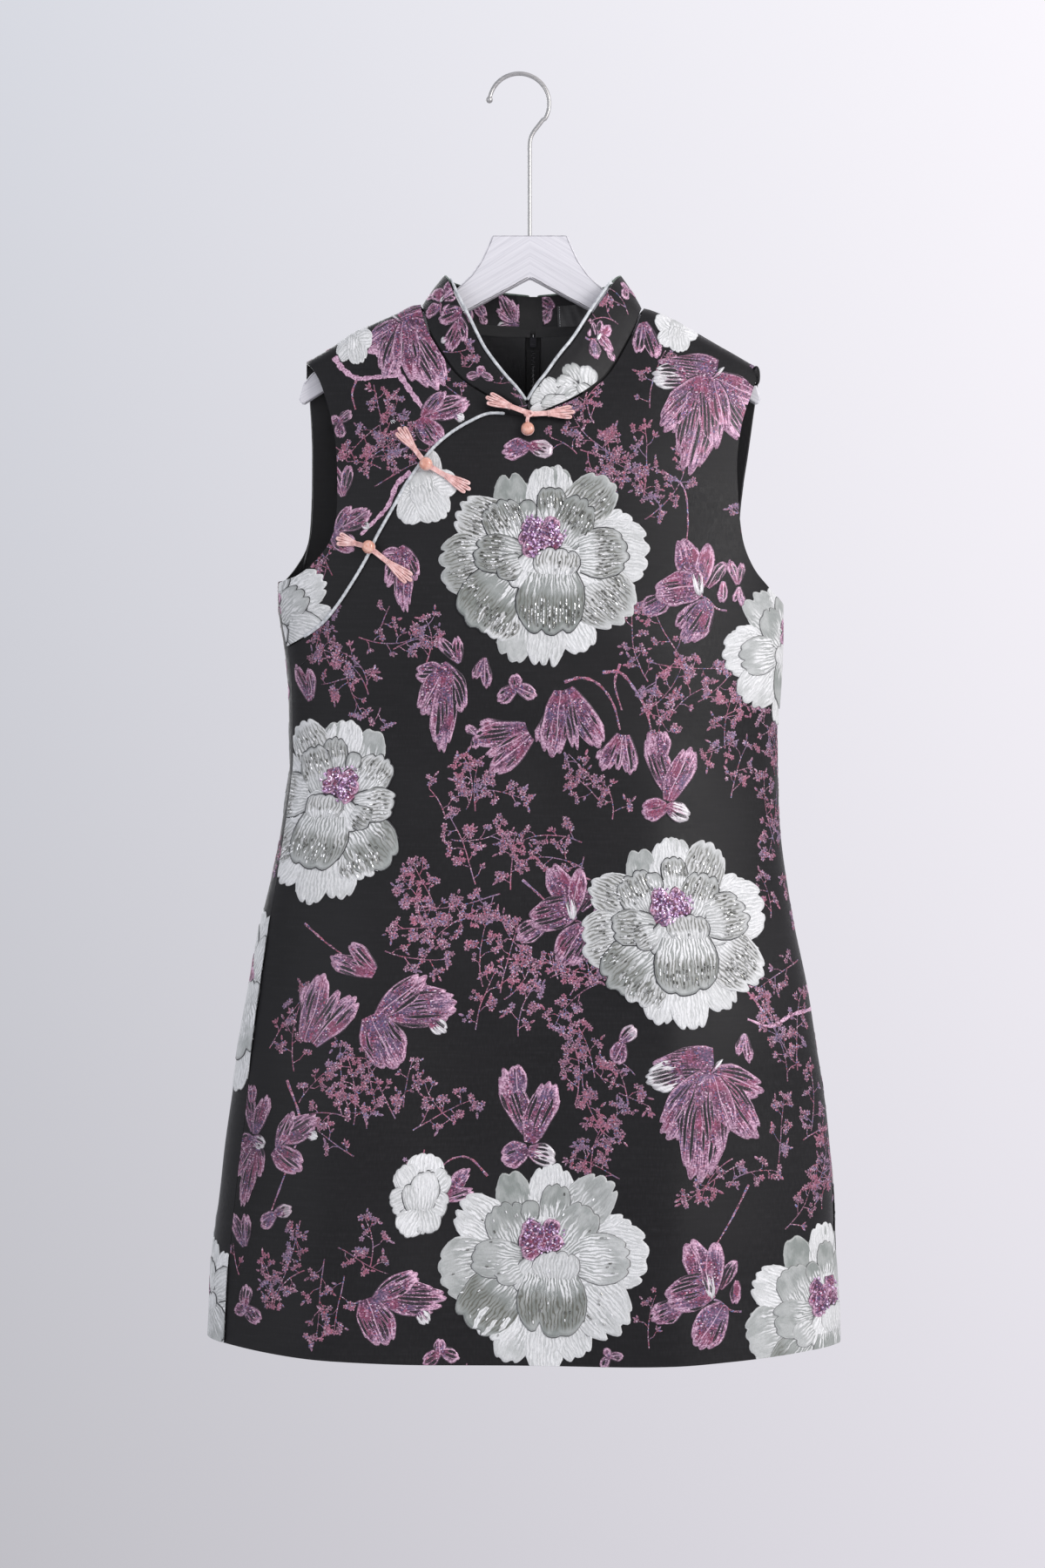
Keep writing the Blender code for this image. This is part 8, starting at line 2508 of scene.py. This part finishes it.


# stitched bust darts: a fine dashed line of thread laid on the cloth
def stitched(pixels, pitch=0.0026, thread=BLACK_THREAD, off=0.00032):
    ends = [at_pixel(px, py) for px, py in pixels]
    line = smooth_line(ends, 12)
    step = np.linalg.norm(np.diff(line * np.array((S_SCALE, 1.0)), axis=0), axis=1)
    run = np.concatenate([[0], np.cumsum(step)])
    bits = []
    s = 0.0
    while s + pitch * 0.7 < run[-1]:
        pp = []
        for q in (0.0, 0.3, 0.5, 0.7, 1.0):
            d = s + pitch * 0.72 * q
            w = float(np.interp(d, run, line[:, 0]))
            z = float(np.interp(d, run, line[:, 1]))
            pp.append(on_cloth(w, z, off + 0.00012 * math.sin(math.pi * q)))
        bits.append(tube("st", pp, 0.00017, thread, 6))
        s += pitch
    return bits


darts = stitched([(338, 769), (347, 762), (358, 753)]) + stitched([(886, 770), (872, 764), (858, 757)])
rides(joined("bust_dart_stitches", darts), "brocade")


# -------------------------------------------------------------------- stage
def look(obj, at):
    obj.rotation_euler = (Vector(at) - obj.location).to_track_quat("-Z", "Y").to_euler()


cam_data = bpy.data.cameras.new("camera")
cam_data.sensor_fit = "VERTICAL"
cam_data.angle = 2 * math.atan(900 * K / 2.5)
cam_data.clip_end = 60
cam = bpy.data.objects.new("camera", cam_data)
cam.location = EYE
cam.rotation_euler = (math.radians(90), 0, 0)
bpy.context.scene.collection.objects.link(cam)
bpy.context.scene.camera = cam

FLOOR_Z = -2.10
size = 6.0
n = 40
gv = [((i / n - 0.5) * size, (j / n - 0.5) * size, FLOOR_Z) for i in range(n + 1) for j in range(n + 1)]
gf = [[i * (n + 1) + j, (i + 1) * (n + 1) + j, (i + 1) * (n + 1) + j + 1, i * (n + 1) + j + 1]
      for i in range(n) for j in range(n)]
fm = Mat("floor_paint", Roughness=0.85, Specular_IOR_Level=0.2)
fo = fm.object()
fn = fm.noise(fm.scale(fo, (1.3, 1.3, 1.3)), 1.0, 3.0)
fm.set("Base Color", fm.ramp(fn, [(0.3, (0.66, 0.66, 0.68)), (0.7, (0.70, 0.70, 0.72))]))
fm.bump(fm.noise(fm.scale(fo, (260, 260, 260)), 1.0, 3.0), 0.0004, 0.3)
floor = new_object("floor", gv, gf, [fm.m], smooth=False)

world = bpy.data.worlds.new("studio")
bpy.context.scene.world = world
world.use_nodes = True
wt = world.node_tree
wt.nodes.clear()
w_out = wt.nodes.new("ShaderNodeOutputWorld")
w_bg = wt.nodes.new("ShaderNodeBackground")
wt.links.new(w_bg.outputs[0], w_out.inputs[0])
tc = wt.nodes.new("ShaderNodeTexCoord")
sp = wt.nodes.new("ShaderNodeSeparateXYZ")
wt.links.new(tc.outputs["Generated"], sp.inputs[0])


def wmap(src, a, b, lo, hi):
    n = wt.nodes.new("ShaderNodeMapRange")
    n.inputs[1].default_value, n.inputs[2].default_value = a, b
    n.inputs[3].default_value, n.inputs[4].default_value = lo, hi
    wt.links.new(src, n.inputs[0])
    return n.outputs[0]


side = wmap(sp.outputs[0], -0.17, 0.17, 0.0, 1.0)
rise = wmap(sp.outputs[2], -0.26, 0.26, 0.0, 1.0)
low = wt.nodes.new("ShaderNodeMix")
low.data_type = "RGBA"
high = wt.nodes.new("ShaderNodeMix")
high.data_type = "RGBA"
both = wt.nodes.new("ShaderNodeMix")
both.data_type = "RGBA"


def lin(c):
    return tuple(((v / 255 + 0.055) / 1.055) ** 2.4 if v / 255 > 0.04045 else v / 255 / 12.92 for v in c) + (1.0,)


low.inputs[6].default_value, low.inputs[7].default_value = lin(WALL_LOW_LEFT), lin(WALL_LOW_RIGHT)
high.inputs[6].default_value, high.inputs[7].default_value = lin(WALL_HIGH_LEFT), lin(WALL_HIGH_RIGHT)
wt.links.new(side, low.inputs[0])
wt.links.new(side, high.inputs[0])
wt.links.new(rise, both.inputs[0])
wt.links.new(low.outputs[2], both.inputs[6])
wt.links.new(high.outputs[2], both.inputs[7])
wt.links.new(both.outputs[2], w_bg.inputs[0])
w_bg.inputs[1].default_value = 1.0


def area_light(name, at, aim, size, power, colour=(1, 1, 1), size_y=None):
    d = bpy.data.lights.new(name, "AREA")
    d.energy = power
    d.color = colour
    d.shape = "RECTANGLE"
    d.size = size
    d.size_y = size_y or size
    o = bpy.data.objects.new(name, d)
    o.location = at
    bpy.context.scene.collection.objects.link(o)
    look(o, aim)
    return o


area_light("key", (2.3, -2.0, 0.5), (0, 0, -0.60), 1.4, 62, (1.0, 0.985, 0.965))
area_light("fill", (-2.4, -2.6, -0.3), (0, 0, -0.65), 2.2, 20, (0.95, 0.97, 1.0))
area_light("back", (-1.2, 2.4, 0.4), (0, 0, -0.60), 2.0, 26)

view = bpy.context.scene.view_settings
view.view_transform = "Standard"
view.look = "None"
view.exposure = 0.0
view.gamma = 1.0
